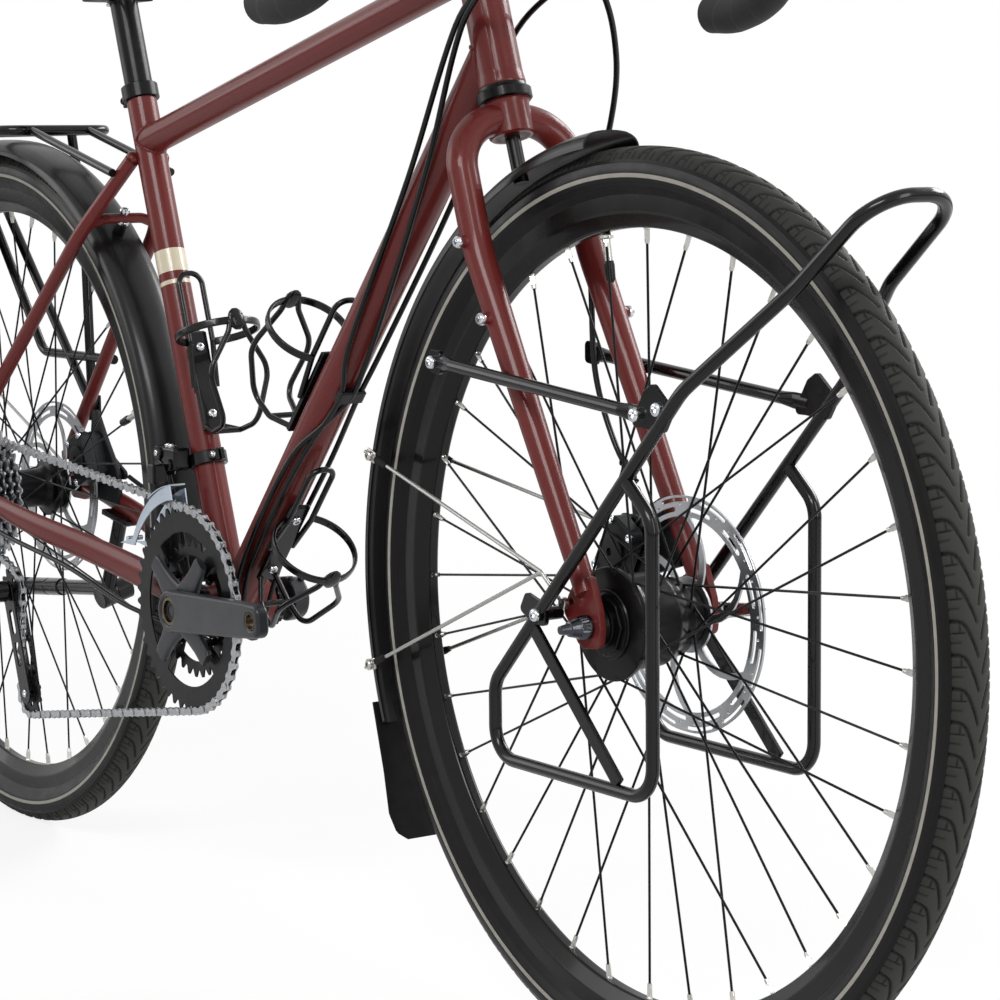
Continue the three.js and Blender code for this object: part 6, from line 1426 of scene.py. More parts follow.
def chain_parts(tension):
    """Arcs on the toothed wheels and straight tangent runs between them, each with its length in links."""
    wheels = [
        (BOTTOM_BRACKET, LARGE_TEETH, 1, -RING_PLACE), (REAR_AXLE, TEETH[1], 1, -CHAIN_ROW),
        (GUIDE, PULLEY_TEETH, -1, -CHAIN_ROW), (tension, PULLEY_TEETH, 1, -CHAIN_ROW),
    ]
    runs = []
    for (a, teeth_a, way_a, _), (b, teeth_b, way_b, _) in zip(wheels, wheels[1:] + wheels[:1]):
        gap = b - a
        lean = (way_a * pitch_radius(teeth_a) - way_b * pitch_radius(teeth_b)) / math.hypot(gap[0], gap[2])
        heading = math.atan2(gap[2], gap[0]) + math.asin(lean)
        runs.append((heading - way_a * math.pi / 2, heading - way_b * math.pi / 2))
    parts = []
    for i, wheel in enumerate(wheels):
        _, teeth, way, _ = wheel
        arrive, leave = runs[i - 1][1], runs[i][0]
        turn = leave - arrive
        while way * turn < 0:
            turn += way * 2 * math.pi
        while way * turn > 2 * math.pi:
            turn -= way * 2 * math.pi
        parts.append(("arc", wheel, arrive, turn, abs(turn) * teeth / (2 * math.pi)))
        start, stop = on_wheel(wheel, leave), on_wheel(wheels[(i + 1) % 4], runs[i][1])
        parts.append(("run", start, stop, 0, np.linalg.norm(stop - start) / CHAIN_PITCH))
    return parts


def settled_tension():
    """The tension pulley's place at which the chain is 120 links long, found by halving the cage's swing."""
    reach = math.hypot(30, 104)
    low, high = -150.0, -30.0
    count = lambda angle: sum(part[4] for part in chain_parts(GUIDE + reach * plane(angle)))
    rising = count(high) > count(low)
    for _ in range(50):
        middle = (low + high) / 2
        if (count(middle) < CHAIN_LINKS) == rising:
            low = middle
        else:
            high = middle
    return GUIDE + reach * plane((low + high) / 2)


TENSION = settled_tension()
CHAIN = chain_parts(TENSION)


def chain_pin(link):
    """Place of a pin, counted in links from the start of the first arc."""
    for kind, a, b, turn, links in CHAIN:
        if link <= links + 1e-9:
            if kind == "run":
                return a + (b - a) * link / links
            return on_wheel(a, b + turn * link / links)
        link -= links
    return chain_pin(0)


def chain_phase(order):
    """Angle of the first pin on one of the four toothed wheels, so that a tooth gap can lie there."""
    before = sum(part[4] for part in CHAIN[: 2 * order])
    _, _, start, turn, links = CHAIN[2 * order]
    return start + turn * (math.ceil(before - 1e-9) - before) / links


def link_solids(outer):
    """Two waisted side plates, and the rollers or the riveted pins, along X from one pin to the next."""
    turn = np.linspace(-0.62 * math.pi, 0.62 * math.pi, 8)
    right = np.stack([CHAIN_PITCH + 4.0 * np.cos(turn), 4.0 * np.sin(turn)], 1)
    left = np.stack([-4.0 * np.cos(turn), -4.0 * np.sin(turn)], 1)
    waist = 2.3 if outer else 2.7
    fore, aft = CHAIN_PITCH / 2 + 1.6, CHAIN_PITCH / 2 - 1.6
    loop = np.vstack([right, [[fore, waist], [aft, waist]], left, [[aft, -waist], [fore, -waist]]])
    parts = []
    for y in ((-2.65, 2.65) if outer else (-1.65, 1.65)):
        edges = [np.insert(loop, 1, y + t, axis=1) for t in (-0.42, 0.42)]
        parts.append(skin(np.stack(edges)))
    for x in (0, CHAIN_PITCH):
        if outer:
            rivet = [(0, 1.3), (0.3, 1.8), (6.1, 1.8), (6.4, 1.3)]
            parts.append(turned(vec(x, -3.2, 0), SIDEWAYS, rivet, 10))
        else:
            parts.append(turned(vec(x, -1.2, 0), SIDEWAYS, [(0, 3.6), (2.4, 3.6)], 12))
    return parts


def chain_piece():
    """Outer and inner links in turn along the pins."""
    templates = [link_solids(True), link_solids(False)]
    pins = np.array([chain_pin(i) for i in range(CHAIN_LINKS)])
    parts = []
    for i in range(CHAIN_LINKS):
        a, b = pins[i], pins[(i + 1) % CHAIN_LINKS]
        along = unit(b - a)
        side = unit(SIDEWAYS - along * along[1])
        basis = np.stack([along, side, np.cross(along, side)])
        parts += [moved(part, basis, a) for part in templates[i % 2]]
    build("chain_links", "frame", plated, parts, "chain", 30)


def sprockets():
    """Toothed plates with lightening holes, on a spacer tube closed by a splined ring."""
    parts = []
    for i, teeth in enumerate(TEETH):
        y = -28.5 - 4.3 * i
        phase = chain_phase(1) if i == 1 else 0.3 * i
        loops = [teeth_outline(teeth, phase, REAR_AXLE, 0.4), disc_outline(REAR_AXLE, 16.8, 40)]
        radius = pitch_radius(teeth) - 11
        if teeth > 16:
            for k in range(6):
                hole = REAR_AXLE + plane(60 * k + 17 * i) * (16.8 + radius) / 2
                loops.append(disc_outline(hole, (radius - 16.8) * 0.32, 14))
        parts.append(sheet_metal(loops, y - 0.85, y + 0.85, 0.2))
    build("cassette_sprockets", "cassette", plated, parts, "cassette", 30)
    profile = rounded([(5.9, -66.6), (17.1, -66.6), (17.1, -23.5), (5.9, -23.5)], [0, 1, 1, 0])
    spacers = [lathe(profile, REAR_AXLE, 64)]
    notch = notches(12, 13.4, 0.5)
    spacers.append(turned(rear(0, -63.4, 0), -SIDEWAYS, [(0, 18), (1.6, 18), (2.2, notch), (3.4, notch)], 96))
    build("cassette_spacers", "cassette", anodised, spacers)


def ring_turn(i):
    """Angle of one of the four chainring bolts, halfway between the crank and the next quarter turn."""
    return CRANK_TURN + 45 + 90 * i


def chainring(teeth, phase, y, bolt_radius):
    """Toothed band with four tabs reaching in to the bolts."""
    inner = pitch_radius(teeth) - (22 if teeth > 40 else 12)
    hole = []
    for i in range(4):
        middle = math.radians(ring_turn(i))
        tab, reach = 6.5, bolt_radius - 6.5
        wide, slim = (tab + 3) / inner, tab / reach
        spread = math.pi / 2 - 2 * wide
        hole += [(inner, middle - wide), (reach + 3, middle - slim), (reach, middle - slim / 2)]
        hole += [(reach, middle + slim / 2), (reach + 3, middle + slim), (inner, middle + wide)]
        hole += [(inner, middle + wide + spread * k / 12) for k in range(1, 12)]
    loop = around(BOTTOM_BRACKET, *np.array(hole).T)
    bolts = [disc_outline(BOTTOM_BRACKET + plane(ring_turn(i)) * bolt_radius, 4.0, 20) for i in range(4)]
    return sheet_metal(
        [teeth_outline(teeth, phase, BOTTOM_BRACKET, 0.3), loop, *bolts], y - 0.9, y + 0.9, 0.3
    )


def crank_arm(hand):
    """Forged arm: strap outline from the spindle boss to the pedal eye, rounded edges, leaning out by 12
    mm."""
    turn = CRANK_TURN + (180 if hand == LEFT else 0)
    forward, across = plane(turn), plane(turn + 90)
    eye = BOTTOM_BRACKET + CRANK_LENGTH * forward
    corners = [(-20, -16.4), (14.8, -14), (14.8, 14), (-20, 16.4)]
    end = [eye + across * side + forward * along for along, side in corners]
    boss = np.radians(np.linspace(75, 285, 24))[:, None]
    outline = bent(end, [0, 9, 9, 0], False, 12)
    outline = np.vstack([outline, BOTTOM_BRACKET + 19.6 * (np.cos(boss) * forward + np.sin(boss) * across)])
    low, high = sorted((hand * 58.0, hand * 70.0))
    holes = [disc_outline(eye, 7.3, 32), disc_outline(BOTTOM_BRACKET, 12.6, 40)]
    points, faces = sheet_metal([outline, *holes], low, high, 3.0, 4)
    share = np.clip((points - BOTTOM_BRACKET) @ forward / CRANK_LENGTH, 0, 1)
    points[:, 1] += hand * 12 * share
    waist = 1 - 0.1 * np.sin(math.pi * share)
    off = points - BOTTOM_BRACKET
    off = off - (off @ forward)[:, None] * forward
    off[:, 1] = 0
    points = points - off * (1 - waist)[:, None]
    return (points, faces), eye


def cranks():
    """Arms with their spider, the spindle, thread rings, caps, both rings and the bolts that hold them."""
    arm, eye = crank_arm(RIGHT)
    parts = [arm, turned(BOTTOM_BRACKET - 50.9 * SIDEWAYS, -SIDEWAYS, [(0, 19.5), (1, 20.8), (8, 20.8)], 64),
             bar(BOTTOM_BRACKET - 66 * SIDEWAYS, BOTTOM_BRACKET + 58 * SIDEWAYS, 11.8, 0.6, 48)]
    for i in range(4):
        out = plane(ring_turn(i))
        share = np.linspace(0, 1, 12)
        path = BOTTOM_BRACKET + out * (12 + 50 * share)[:, None] - SIDEWAYS * (54.9 + 1.2 * share)[:, None]
        half = np.interp(share, [0, 0.3, 0.65, 0.85, 0.96, 1], [19, 13.5, 10, 9.6, 9.2, 7.5])
        parts.append(sweep(path, oval(3.6 - 0.9 * share, half, 24, 4)))
    build("crank_arm_right", "crank", forged, parts, "crank_right")
    left_arm, left_eye = crank_arm(LEFT)
    boss = [
        left_arm, turned(BOTTOM_BRACKET + 52.5 * SIDEWAYS, SIDEWAYS, [(0, 19.6), (1, 20.8), (8, 20.8)], 64)
    ]
    back = BOTTOM_BRACKET - plane(184.6) * 8 + 61 * SIDEWAYS
    boss += [bolt(back + UPRIGHT * 18 + SIDEWAYS * k, UPRIGHT, 3.4, 3.0) for k in (-5, 6)]
    build("crank_arm_left", "crank", forged, boss, "crank_left")
    rings = []
    for hand, place in ((RIGHT, eye), (LEFT, left_eye)):
        threads = (place, 70.1, 81.3, 6.6, 7.4, 48), (BOTTOM_BRACKET, 66.2, 68.6, 10.2, 12.7, 64)
        for centre, near, far, inner, outer, sides in threads:
            profile = [(outer, hand * near), (outer, hand * far), (inner, hand * far), (inner, hand * near)]
            rings.append(lathe(profile, centre, sides))
    build("crank_thread_rings", "crank", brass, rings)
    cap = [(0, 10.1), (4, 10.1), (4.6, 9.4), (4.6, polygon(8, 5)), (1.5, polygon(8, 4.9))]
    caps = [turned(BOTTOM_BRACKET + hand * 62 * SIDEWAYS, hand * SIDEWAYS, cap, 64) for hand in (RIGHT, LEFT)]
    build("crank_spindle_caps", "crank", anodised, caps)
    large = chainring(LARGE_TEETH, chain_phase(0), -RING_PLACE, LARGE_BOLTS)
    build("chainring_large_plate", "crank", anodised, [large], "chainring_large", 30)
    small = [chainring(SMALL_TEETH, 0.0, -41.5, SMALL_BOLTS)]
    posts = [BOTTOM_BRACKET + plane(ring_turn(i)) * SMALL_BOLTS for i in range(4)]
    small += [bar(post - 41 * SIDEWAYS, post - 50.4 * SIDEWAYS, 3.5) for post in posts]
    build("chainring_small_plate", "crank", anodised, small, "chainring_small", 30)
    domes = []
    for i in range(4):
        place = BOTTOM_BRACKET + plane(ring_turn(i)) * LARGE_BOLTS
        domes.append(bolt(place - 56.6 * SIDEWAYS, -SIDEWAYS, 4.8, 2.0, 2.6))
        domes.append(bolt(place - 48.4 * SIDEWAYS, SIDEWAYS, 4.8, 1.2, 2.6))
    build("chainring_bolts", "crank", polished, domes)


def pulleys_and_cage():
    """Toothed pulleys between two slotted plates, with a pin and a screw through each."""
    for name, centre, order in (("guide_pulley", GUIDE, 2), ("tension_pulley", TENSION, 3)):
        loops = [teeth_outline(PULLEY_TEETH, chain_phase(order), centre, 0.6), disc_outline(centre, 2.9, 20)]
        loops += [disc_outline(centre + plane(72 * k) * 11, 2.6, 14) for k in range(5)]
        plate = sheet_metal(loops, -CHAIN_ROW - 1.0, -CHAIN_ROW + 1.0, 0.3)
        build(name + "_wheel", name, anodised, [plate], name, 30)
    direction = unit(TENSION - GUIDE)
    reach = np.linalg.norm(TENSION - GUIDE)
    parts, screws = [], []
    for y in (-CHAIN_ROW - 5.6, -CHAIN_ROW + 5.6):
        loops = [strap(GUIDE, 11, TENSION, 11)]
        for share in (0.3, 0.62):
            middle = GUIDE + direction * reach * share
            loops.append(strap(middle - direction * 9, 4.2, middle + direction * 9, 4.2, 8))
        parts.append(sheet_metal(loops, y - 1.0, y + 1.0, 0.4))
    for centre in (GUIDE, TENSION):
        parts.append(bar(centre - SIDEWAYS * (CHAIN_ROW + 6), centre - SIDEWAYS * (CHAIN_ROW - 6), 2.3, 0.2))
        screws.append(bolt(centre - SIDEWAYS * (CHAIN_ROW + 6.6), -SIDEWAYS, 4.0, 1.4, 1.8))
    build("derailleur_cage_plates", "derailleur_cage", powder, parts, "derailleur_cage")
    build("derailleur_cage_screws", "derailleur_cage", polished, screws)


def rear_changer():
    """Barrel at the hanger, barrel over the guide pulley and two bars from one to the other."""
    hanger = rear(-9, 0, -32)
    parts = [
        turned(hanger - 72.9 * SIDEWAYS, -SIDEWAYS, [(0, 9), (1, 11), (12, 11), (16, 9.4)], 48),
        turned(GUIDE - 41.2 * SIDEWAYS, -SIDEWAYS, [(0, 9), (1, 11), (42, 11), (46.5, 9.4)], 48),
    ]
    for side, y in ((6.5, -82.5), (-6.5, -79.5)):
        across = unit(np.cross(GUIDE - hanger, SIDEWAYS)) * side
        a, b = hanger + across, GUIDE + across
        parts.append(box((a + b) / 2 + SIDEWAYS * y, b - a, SIDEWAYS, np.linalg.norm(b - a), 7, 7.5, 1.4))
    screws = [
        bolt(hanger - 88.9 * SIDEWAYS, -SIDEWAYS, 6.0, 2.0, 2.6),
        bolt(GUIDE - 87.6 * SIDEWAYS, -SIDEWAYS, 5.0, 2.0, 2.2)
    ]
    build("rear_derailleur_body", "frame", powder, parts, "rear_derailleur")
    build("rear_derailleur_bolts", "frame", polished, screws)


def front_changer():
    """Band round the seat tube with its body, and the link and cage that swing beside the rings."""
    centre = on_seat(138)
    rings = [(0, 17.4), (0.6, 18.1), (11.4, 18.1), (12, 17.4), (12, 14.6), (0, 14.6)]
    band = turned(centre - SEAT_UP * 6, SEAT_UP, rings, 64)
    body = centre + vec(-20, 0, 0)
    parts = [
        band,
        box(body + vec(2, -26, 2), vec(1, 0, 0), SIDEWAYS, 34, 17, 20, 2.5),
        box(body + vec(-6, -31, -6), vec(1, 0, -0.35), SIDEWAYS, 26, 11, 9, 2),
        turned(body + vec(-12, -37, 6), SIDEWAYS, [(0, 6), (1, 7), (20, 7), (21, 6)], 32),
        turned(body + vec(8, -37.4, -4), SIDEWAYS, [(0, 5), (1, 6), (22, 6), (23, 5)], 32),
        box(centre + 20 * SEAT_AHEAD + vec(0, 3, 0), SEAT_AHEAD, SIDEWAYS, 11, 4, 11),
        box(centre + 20 * SEAT_AHEAD - vec(0, 3, 0), SEAT_AHEAD, SIDEWAYS, 11, 4, 11),
    ]
    build("front_derailleur_body", "frame", powder, parts, "front_derailleur")
    screws = [
        bolt(centre + 21 * SEAT_AHEAD - vec(0, 5, 0), -SIDEWAYS, 3.8, 3.5),
        bolt(body + vec(-12, -37, 6), -SIDEWAYS, 3.0, 1.2),
        bolt(body + vec(-2, -30, 12), vec(0, -0.3, 1), 2.6, 3.4),
        bolt(body + vec(5, -30, 12), vec(0, -0.3, 1), 2.6, 3.4),
    ]
    build("front_derailleur_screws", "frame", polished, screws)
    loops = []
    for radius, y, tall in ((100.6, -55.7, 13.5), (90.5, -40.3, 20)):
        low = np.radians(np.linspace(150, 97, 24))
        high = np.radians(np.linspace(98, 148, 24))
        crest = radius + tall * np.linspace(1, 0.5, 24)[:, None]
        lower = radius * np.stack([np.cos(low), np.sin(low)], 1)
        band = [lower, crest * np.stack([np.cos(high), np.sin(high)], 1), [[-117, 50]]]
        loops.append((BOTTOM_BRACKET[[0, 2]] + np.vstack(band), y))
    cage = [sheet_metal([loop], y - 0.7, y + 0.7, 0.3) for loop, y in loops]
    at = lambda x, y, z: BOTTOM_BRACKET + vec(x, y, z)
    arc = np.radians(np.linspace(98, 122, 14))[:, None]
    top = BOTTOM_BRACKET + 114.2 * np.hstack([np.cos(arc), 0 * arc, np.sin(arc)]) - 48 * SIDEWAYS
    cage.append(sweep(top, oval(7.9, 0.8, 24, 6)))
    cage.append(bar(at(-103, -56, 55), at(-103, -40, 55), 2.4, 0.3))
    link = [box(vec(centre[0] - 18, -44, BOTTOM_BRACKET[2] + 119), UPRIGHT, SIDEWAYS, 18, 15, 13, 1.5)]
    build("front_derailleur_link", "front_derailleur_cage", powder, link)
    build("front_derailleur_cage_plates", "front_derailleur_cage", blue_steel, cage, "front_derailleur_cage")


chain_piece()
sprockets()
cranks()
pulleys_and_cage()
rear_changer()
front_changer()


# Brakes

def caliper(name, body, axle, seat, angle, tie_corners):
    """Two-part cast body round the disc with a piston cover, its mounting tie and the cable arm."""
    middle = seat + 1.3
    centre = axle + (DISC_RADIUS - 10) * plane(angle) + middle * SIDEWAYS
    out, along = plane(angle), plane(angle + 90)

    def block(half, tall, shift):
        """Corners of a rectangle of two half sizes, moved outward by the shift."""
        corners = ((-1, -1), (1, -1), (1, 1), (-1, 1))
        return [centre + along * u * half + out * (v * tall + shift) for u, v in corners]

    outline = bent([c * vec(1, 0, 1) for c in block(26, 17, 4.5)], 9, True, 10)
    halves = [sheet_metal([outline], middle + a, middle + b, 1.6, 3) for a, b in ((-15, -2.4), (2.4, 15))]
    bridge = bent([c * vec(1, 0, 1) for c in block(24, 5, 17)], 3, True, 15)
    halves.append(sheet_metal([bridge], middle - 3, middle + 3, 0.6))
    tie = np.array([axle + vec(x, 0, z) for x, z in tie_corners])
    halves.append(sheet_metal([bent(tie, 5, True, 15)], middle + 9, middle + 15, 1.0, 2))
    pivot = centre + out * 4.5
    cover = [(0, 13), (1, 14), (2.4, 14), (3.0, 10), (3.2, polygon(6, 3)), (1, polygon(6, 2.9))]
    halves.append(turned(pivot - SIDEWAYS * 15, -SIDEWAYS, cover, 48))
    build(name + "_body", body, cast_grey, halves, name, 32)
    tip = pivot + unit(out - along) * 44
    lever = [
        sheet_metal([strap(pivot, 10, tip, 5)], middle + 15.3, middle + 19.2, 0.8, 2),
        turned(pivot + SIDEWAYS * 18.9, SIDEWAYS, [(0, 7.4), (0.3, 7.6), (0.35, 7.6)], 32),
    ]
    build(name + "_arm_lever", name + "_arm", anodised, lever, name + "_arm")
    places = block(21, 13, 4.5)
    heads = [(place, -1) for place in places] + [(places[2], 1)]
    bolts = [bolt(place + SIDEWAYS * (h * 14.9), h * SIDEWAYS, 3.6, 2.2, 1.9) for place, h in heads]
    build(name + "_bolts", body, polished, bolts)


front_tie = [(-78, 66), (-41, 86), (-18, 34), (-58, 22)]
rear_tie = [(52, 22), (66, 92), (88, 60), (118, 22), (118, -12), (66, -8)]
caliper("front_caliper", "fork", FRONT_AXLE, FRONT_HUB["seat"], 151, front_tie)
caliper("rear_caliper", "frame", REAR_AXLE, REAR_HUB["seat"], 25, rear_tie)


# Kickstand

def kickstand():
    """Clamp under the left stay, a neck to the pivot, and a leg in two lengths with a rubber foot."""
    pivot = rear(92, 60, -104)
    axis = unit(vec(-0.034, 0.962, 0.28))
    share = (118 - 26) / (BOTTOM_BRACKET[0] - 26)
    under = rear(118, 57, -BRACKET_DROP * share - 8.5)
    slope = unit(BOTTOM_BRACKET - REAR_AXLE)
    neck = pivot - 9 * axis - under
    mount = [
        box(under, slope, SIDEWAYS, 54, 18, 6, 1.2),
        turned(under, neck, [(0, 8.5), (6, 7.5), (np.linalg.norm(neck), 7.5)], 28),
        turned(pivot - 18 * axis, axis, [(0, 11), (1, 12), (16.7, 12), (17.7, 11.4)], 48),
    ]
    build("kickstand_bracket", "frame", powder, mount, "kickstand_mount")
    bolts = [bolt(under + slope * k - 3 * UPRIGHT, -UPRIGHT, 4.6, 3.4, 2.5) for k in (-14, 14)]
    build("kickstand_bracket_bolts", "frame", polished, bolts)
    along = plane(186)
    start = pivot + axis * 9.8
    joint = start + along * 238 * 0.58
    rings = [(0, 8.2), (1.5, 9.5), (30, 9.5), (31, 8.9), (33, 8.9), (34, 9.5), (78, 9.5), (79, 8.4)]
    leg = [
        turned(pivot + 0.3 * axis, axis, [(0, 11.4), (1, 12), (17, 12), (18.5, 10)], 48),
        bar(start, joint + along * 5, 8.0, 0.5, 32), turned(joint, along, rings, 32),
    ]
    foot = turned(joint + along * 78, along, [(0, 8.8), (1, 9.5), (20, 9.5), (21.9, 7.0)], 32)
    build("kickstand_strut", "kickstand_leg", powder, leg, "kickstand_leg")
    build("kickstand_foot", "kickstand_leg", soft_rubber, [foot])


kickstand()


# Bottle cages: X away from the tube, Z along it

def bottle_cage():
    """Spine with a ring round the bottle, a bent wire behind it, a wire on each side, the front tab and
    its bosses."""
    away = vec(1, 0, 0)
    turn = np.radians(np.linspace(-160, 160, 48))
    ring = np.stack([47 + 38 * np.cos(turn), 38 * np.sin(turn), 84 + 0 * turn], 1)
    spine = box(vec(6.5, 0, 48), UPRIGHT, SIDEWAYS, 96, 20, 5, 1.6)
    parts = [spine, sweep(ring, oval(3.5, 1.5, 20, 5), UPRIGHT)]
    loop = [(6.5, -12, 42), (14, -12, 84), (14, -12, 150), (14, 12, 150), (14, 12, 84), (6.5, 12, 42)]
    parts.append(pipe(bent(loop, 10.8, False, 8), CAGE_WIRE, 16, away))
    wire = [(84.5, 4.5, 90), (82, 9, 74), (73, 31, 40), (60, 17, -6), (31, 14, -6), (6.5, 7.4, 5.2)]
    for hand in (RIGHT, LEFT):
        corners = [(x, hand * y, z) for x, y, z in wire]
        parts.append(pipe(bent(corners, [0, 20, 26, 16, 14, 0], False, 6), CAGE_WIRE, 16, away))
    height = np.linspace(75, 95, 9)
    tab = np.stack([84.4 + 0 * height, 0 * height, height], 1)
    share = np.sqrt(np.clip(1 - ((height - 85) / 10.6) ** 2, 0, 1))
    parts.append(sweep(tab, oval(3.2 * share, 8.2 * share, 24, 2.4), away))
    parts.append(pipe(np.array([(31, -14, -6), (31, 14, -6)], float), CAGE_WIRE, 16, UPRIGHT))
    parts += [turned(vec(0.3, 0, height), away, [(0, 5), (4, 5)], 24) for height in (16, 80)]
    screws = [bolt(vec(8.9, 0, height), away, 4.4, 3.0, 2.0) for height in (16, 80)]
    return parts, screws


def place_cages():
    parts, screws = bottle_cage()
    places = (
        ("seat_tube", on_seat(160) + SEAT_AHEAD * SEAT_RADIUS, SEAT_UP, SEAT_AHEAD),
        ("down_tube", BOTTOM_BRACKET + DOWN_ALONG * 205 - DOWN_OUT * DOWN_RADIUS, DOWN_ALONG, -DOWN_OUT),
        ("under_tube", BOTTOM_BRACKET + DOWN_ALONG * 62 + DOWN_OUT * DOWN_RADIUS, DOWN_ALONG, DOWN_OUT),
    )
    for place, base, along, away in places:
        name = "bottle_cage_" + place
        basis = np.stack([away, np.cross(along, away), along])
        build(name + "_wires", "frame", powder, [moved(part, basis, base) for part in parts], name)
        build(name + "_screws", "frame", polished, [moved(part, basis, base) for part in screws])


place_cages()


# Cables

def hugging(run, lean):
    """Place beside the down tube, at a distance from the bottom bracket and an angle round the tube from
    below."""
    out = 22.7
    p = BOTTOM_BRACKET + DOWN_ALONG * run + DOWN_OUT * out * math.cos(math.radians(lean))
    p[1] = -out * math.sin(math.radians(lean))
    return p


def cable_start(hand, ahead=0):
    """From under the tape, out in front of the bar and back towards the head tube."""
    head = on_steer(HEAD_TOP)
    return [
        BAR_CENTRE + vec(8, hand * (100 + ahead), -8), BAR_CENTRE + vec(62 + ahead, hand * 58, -70),
        vec(head[0] + 20 + ahead, hand * 30, head[2] - 70),
    ]


def cables():
    """Three housings along the down tube and one beside the fork, each a curve through its places."""

    def route(start, beside, under, back):
        """Places beside the down tube, under the bottom bracket, and back from the rear axle."""
        bracket = BOTTOM_BRACKET - 28.8 * UPRIGHT
        beside, under = [hugging(*place) for place in beside], [bracket + vec(x, y, 0) for x, y in under]
        return curve(start + beside + under + [rear(*place) for place in back], 150)

    right = route(
        cable_start(RIGHT), [(520, 100), (334, 50), (292, 24), (214, 44), (66, 44)], [(20, -12), (-20, -18)],
        [(330, -44, -80), (230, -58, -52), (110, -72, -30), (10, -84, -6), (-52, -86, -40), (-20, -84, -78)],
    )
    middle = route(
        cable_start(RIGHT, 9), [(534, 62), (320, 0), (292, 0), (253, 34), (214, 64), (66, 64)],
        [(20, -22), (-20, -26)], [(412, -12, -84), (394, -14, -50), (384, -17, 0), (380, -26, 50)],
    )
    left = route(
        cable_start(LEFT), [(520, -70), (334, -30), (292, -24), (214, -44), (66, -44)], [(20, 12), (-20, 20)],
        [(414, 46, -84), (360, 58, -60), (240, 70, -32), (166, 73, 0), (126.5, 63, 19.5)],
    )
    clip = box(BOTTOM_BRACKET + DOWN_ALONG * 292 + DOWN_OUT * 21.3, DOWN_ALONG, SIDEWAYS, 14, 26, 7, 1.5)
    parts = [pipe(path, HOUSING_RADIUS, 12) for path in (right, middle, left)]
    build("control_cable_clip", "frame", housing, [clip])
    bends = ("frame", "fork", hugging(540, 0), BAR_CENTRE + vec(20, 0, -20))
    build("control_cable_housings", bends, housing, parts, "control_cables")
    brake = [
        (-70, -50, 520), (-72, 10, 470), (-100, 48, 420), (-140, 72, 365), (-168, 69, 300),
        (-150, 60, 240), (-136, 54, 170), (-113, 55, 119), (-87.4, 55, 89.9),
    ]
    path = curve([BAR_CENTRE + vec(-8, -100, -8)] + [front(*place) for place in brake], 110)
    build("front_brake_housing", "fork", housing, [pipe(path, HOUSING_RADIUS, 12)], "front_brake_cable")
    end, back = path[-1], unit(path[-1] - path[-4])
    ribs = [(k * 2.0, 3.0 + 0.9 * (k % 2)) for k in range(12)]
    build("front_brake_boot", "fork", soft_rubber, [turned(end - back * 23, back, ribs, 24)])


cables()


# Handlebar, stem and controls

def bar_path():
    """Centre line from the left end over the stem to the right end."""
    corners = [
        (0, 58, 0), (0, BAR_HALF - 46, 0), (13.8, BAR_HALF - 4.6, -1), (54.8, BAR_HALF, -6.4),
        (78, BAR_HALF, -44.8), (49, BAR_HALF + 4, -108.8), (0, BAR_HALF + 8, -128), (-34, BAR_HALF + 8, -128),
    ]
    left, right = ([BAR_CENTRE + vec(x, hand * y, z) for x, y, z in corners] for hand in (LEFT, RIGHT))
    return curve(left[::-1] + right, 260)


def handlebar():
    """Bar radius by place: bulge at the clamp, bare bar, then tape to the ends; the tape's UV counts
    turns along and round it."""
    path = bar_path()
    middle = np.abs(path[:, 1])
    on_top = np.linalg.norm((path - BAR_CENTRE) * vec(1, 0, 1), axis=1) < 3
    taped = ~(on_top & (middle < 88))
    first = np.argmax(~taped)
    last = len(path) - np.argmax(~taped[::-1])
    radius = np.interp(middle[first - 1 : last + 1], [30, 46, 60], [15.9, 15.4, 12.7])
    bare = pipe(path[first - 1 : last + 1], radius, 40, UPRIGHT)
    build("handlebar_tube", "fork", anodised, [bare], "handlebar")
    for name, piece in (("left", path[: first + 1]), ("right", path[last - 1 :][::-1])):
        count, sides = len(piece), 28
        share = np.linspace(0, 1, count)
        radius = 15.9 * np.where(share > 0.985, 0.93, 1)
        points, faces = sweep(piece, circle(radius, sides), UPRIGHT)
        run = np.linalg.norm(np.diff(piece, axis=0), axis=1).sum() / 24 * share
        quads = grid(count, sides)
        row = quads // sides
        column = np.stack([np.tile(np.arange(sides), count - 1) + k for k in (0, 1, 1, 0)], 1)
        uv = np.stack([run[row], column / sides], -1).reshape(-1, 2)
        uv = np.vstack([uv, np.zeros((2 * sides, 2))])
        build("handlebar_tape_" + name, "fork", tape, [(points, faces)], (), 60, uv)
        rings = [(0, 14.6), (2.2, 14.6), (3.2, 12.5), (3.4, 6)]
        plug = turned(piece[0] + vec(0.3, 0, 0), vec(-1, 0, 0), rings, 40)
        build("handlebar_plug_" + name, "fork", housing, [plug])


handlebar()


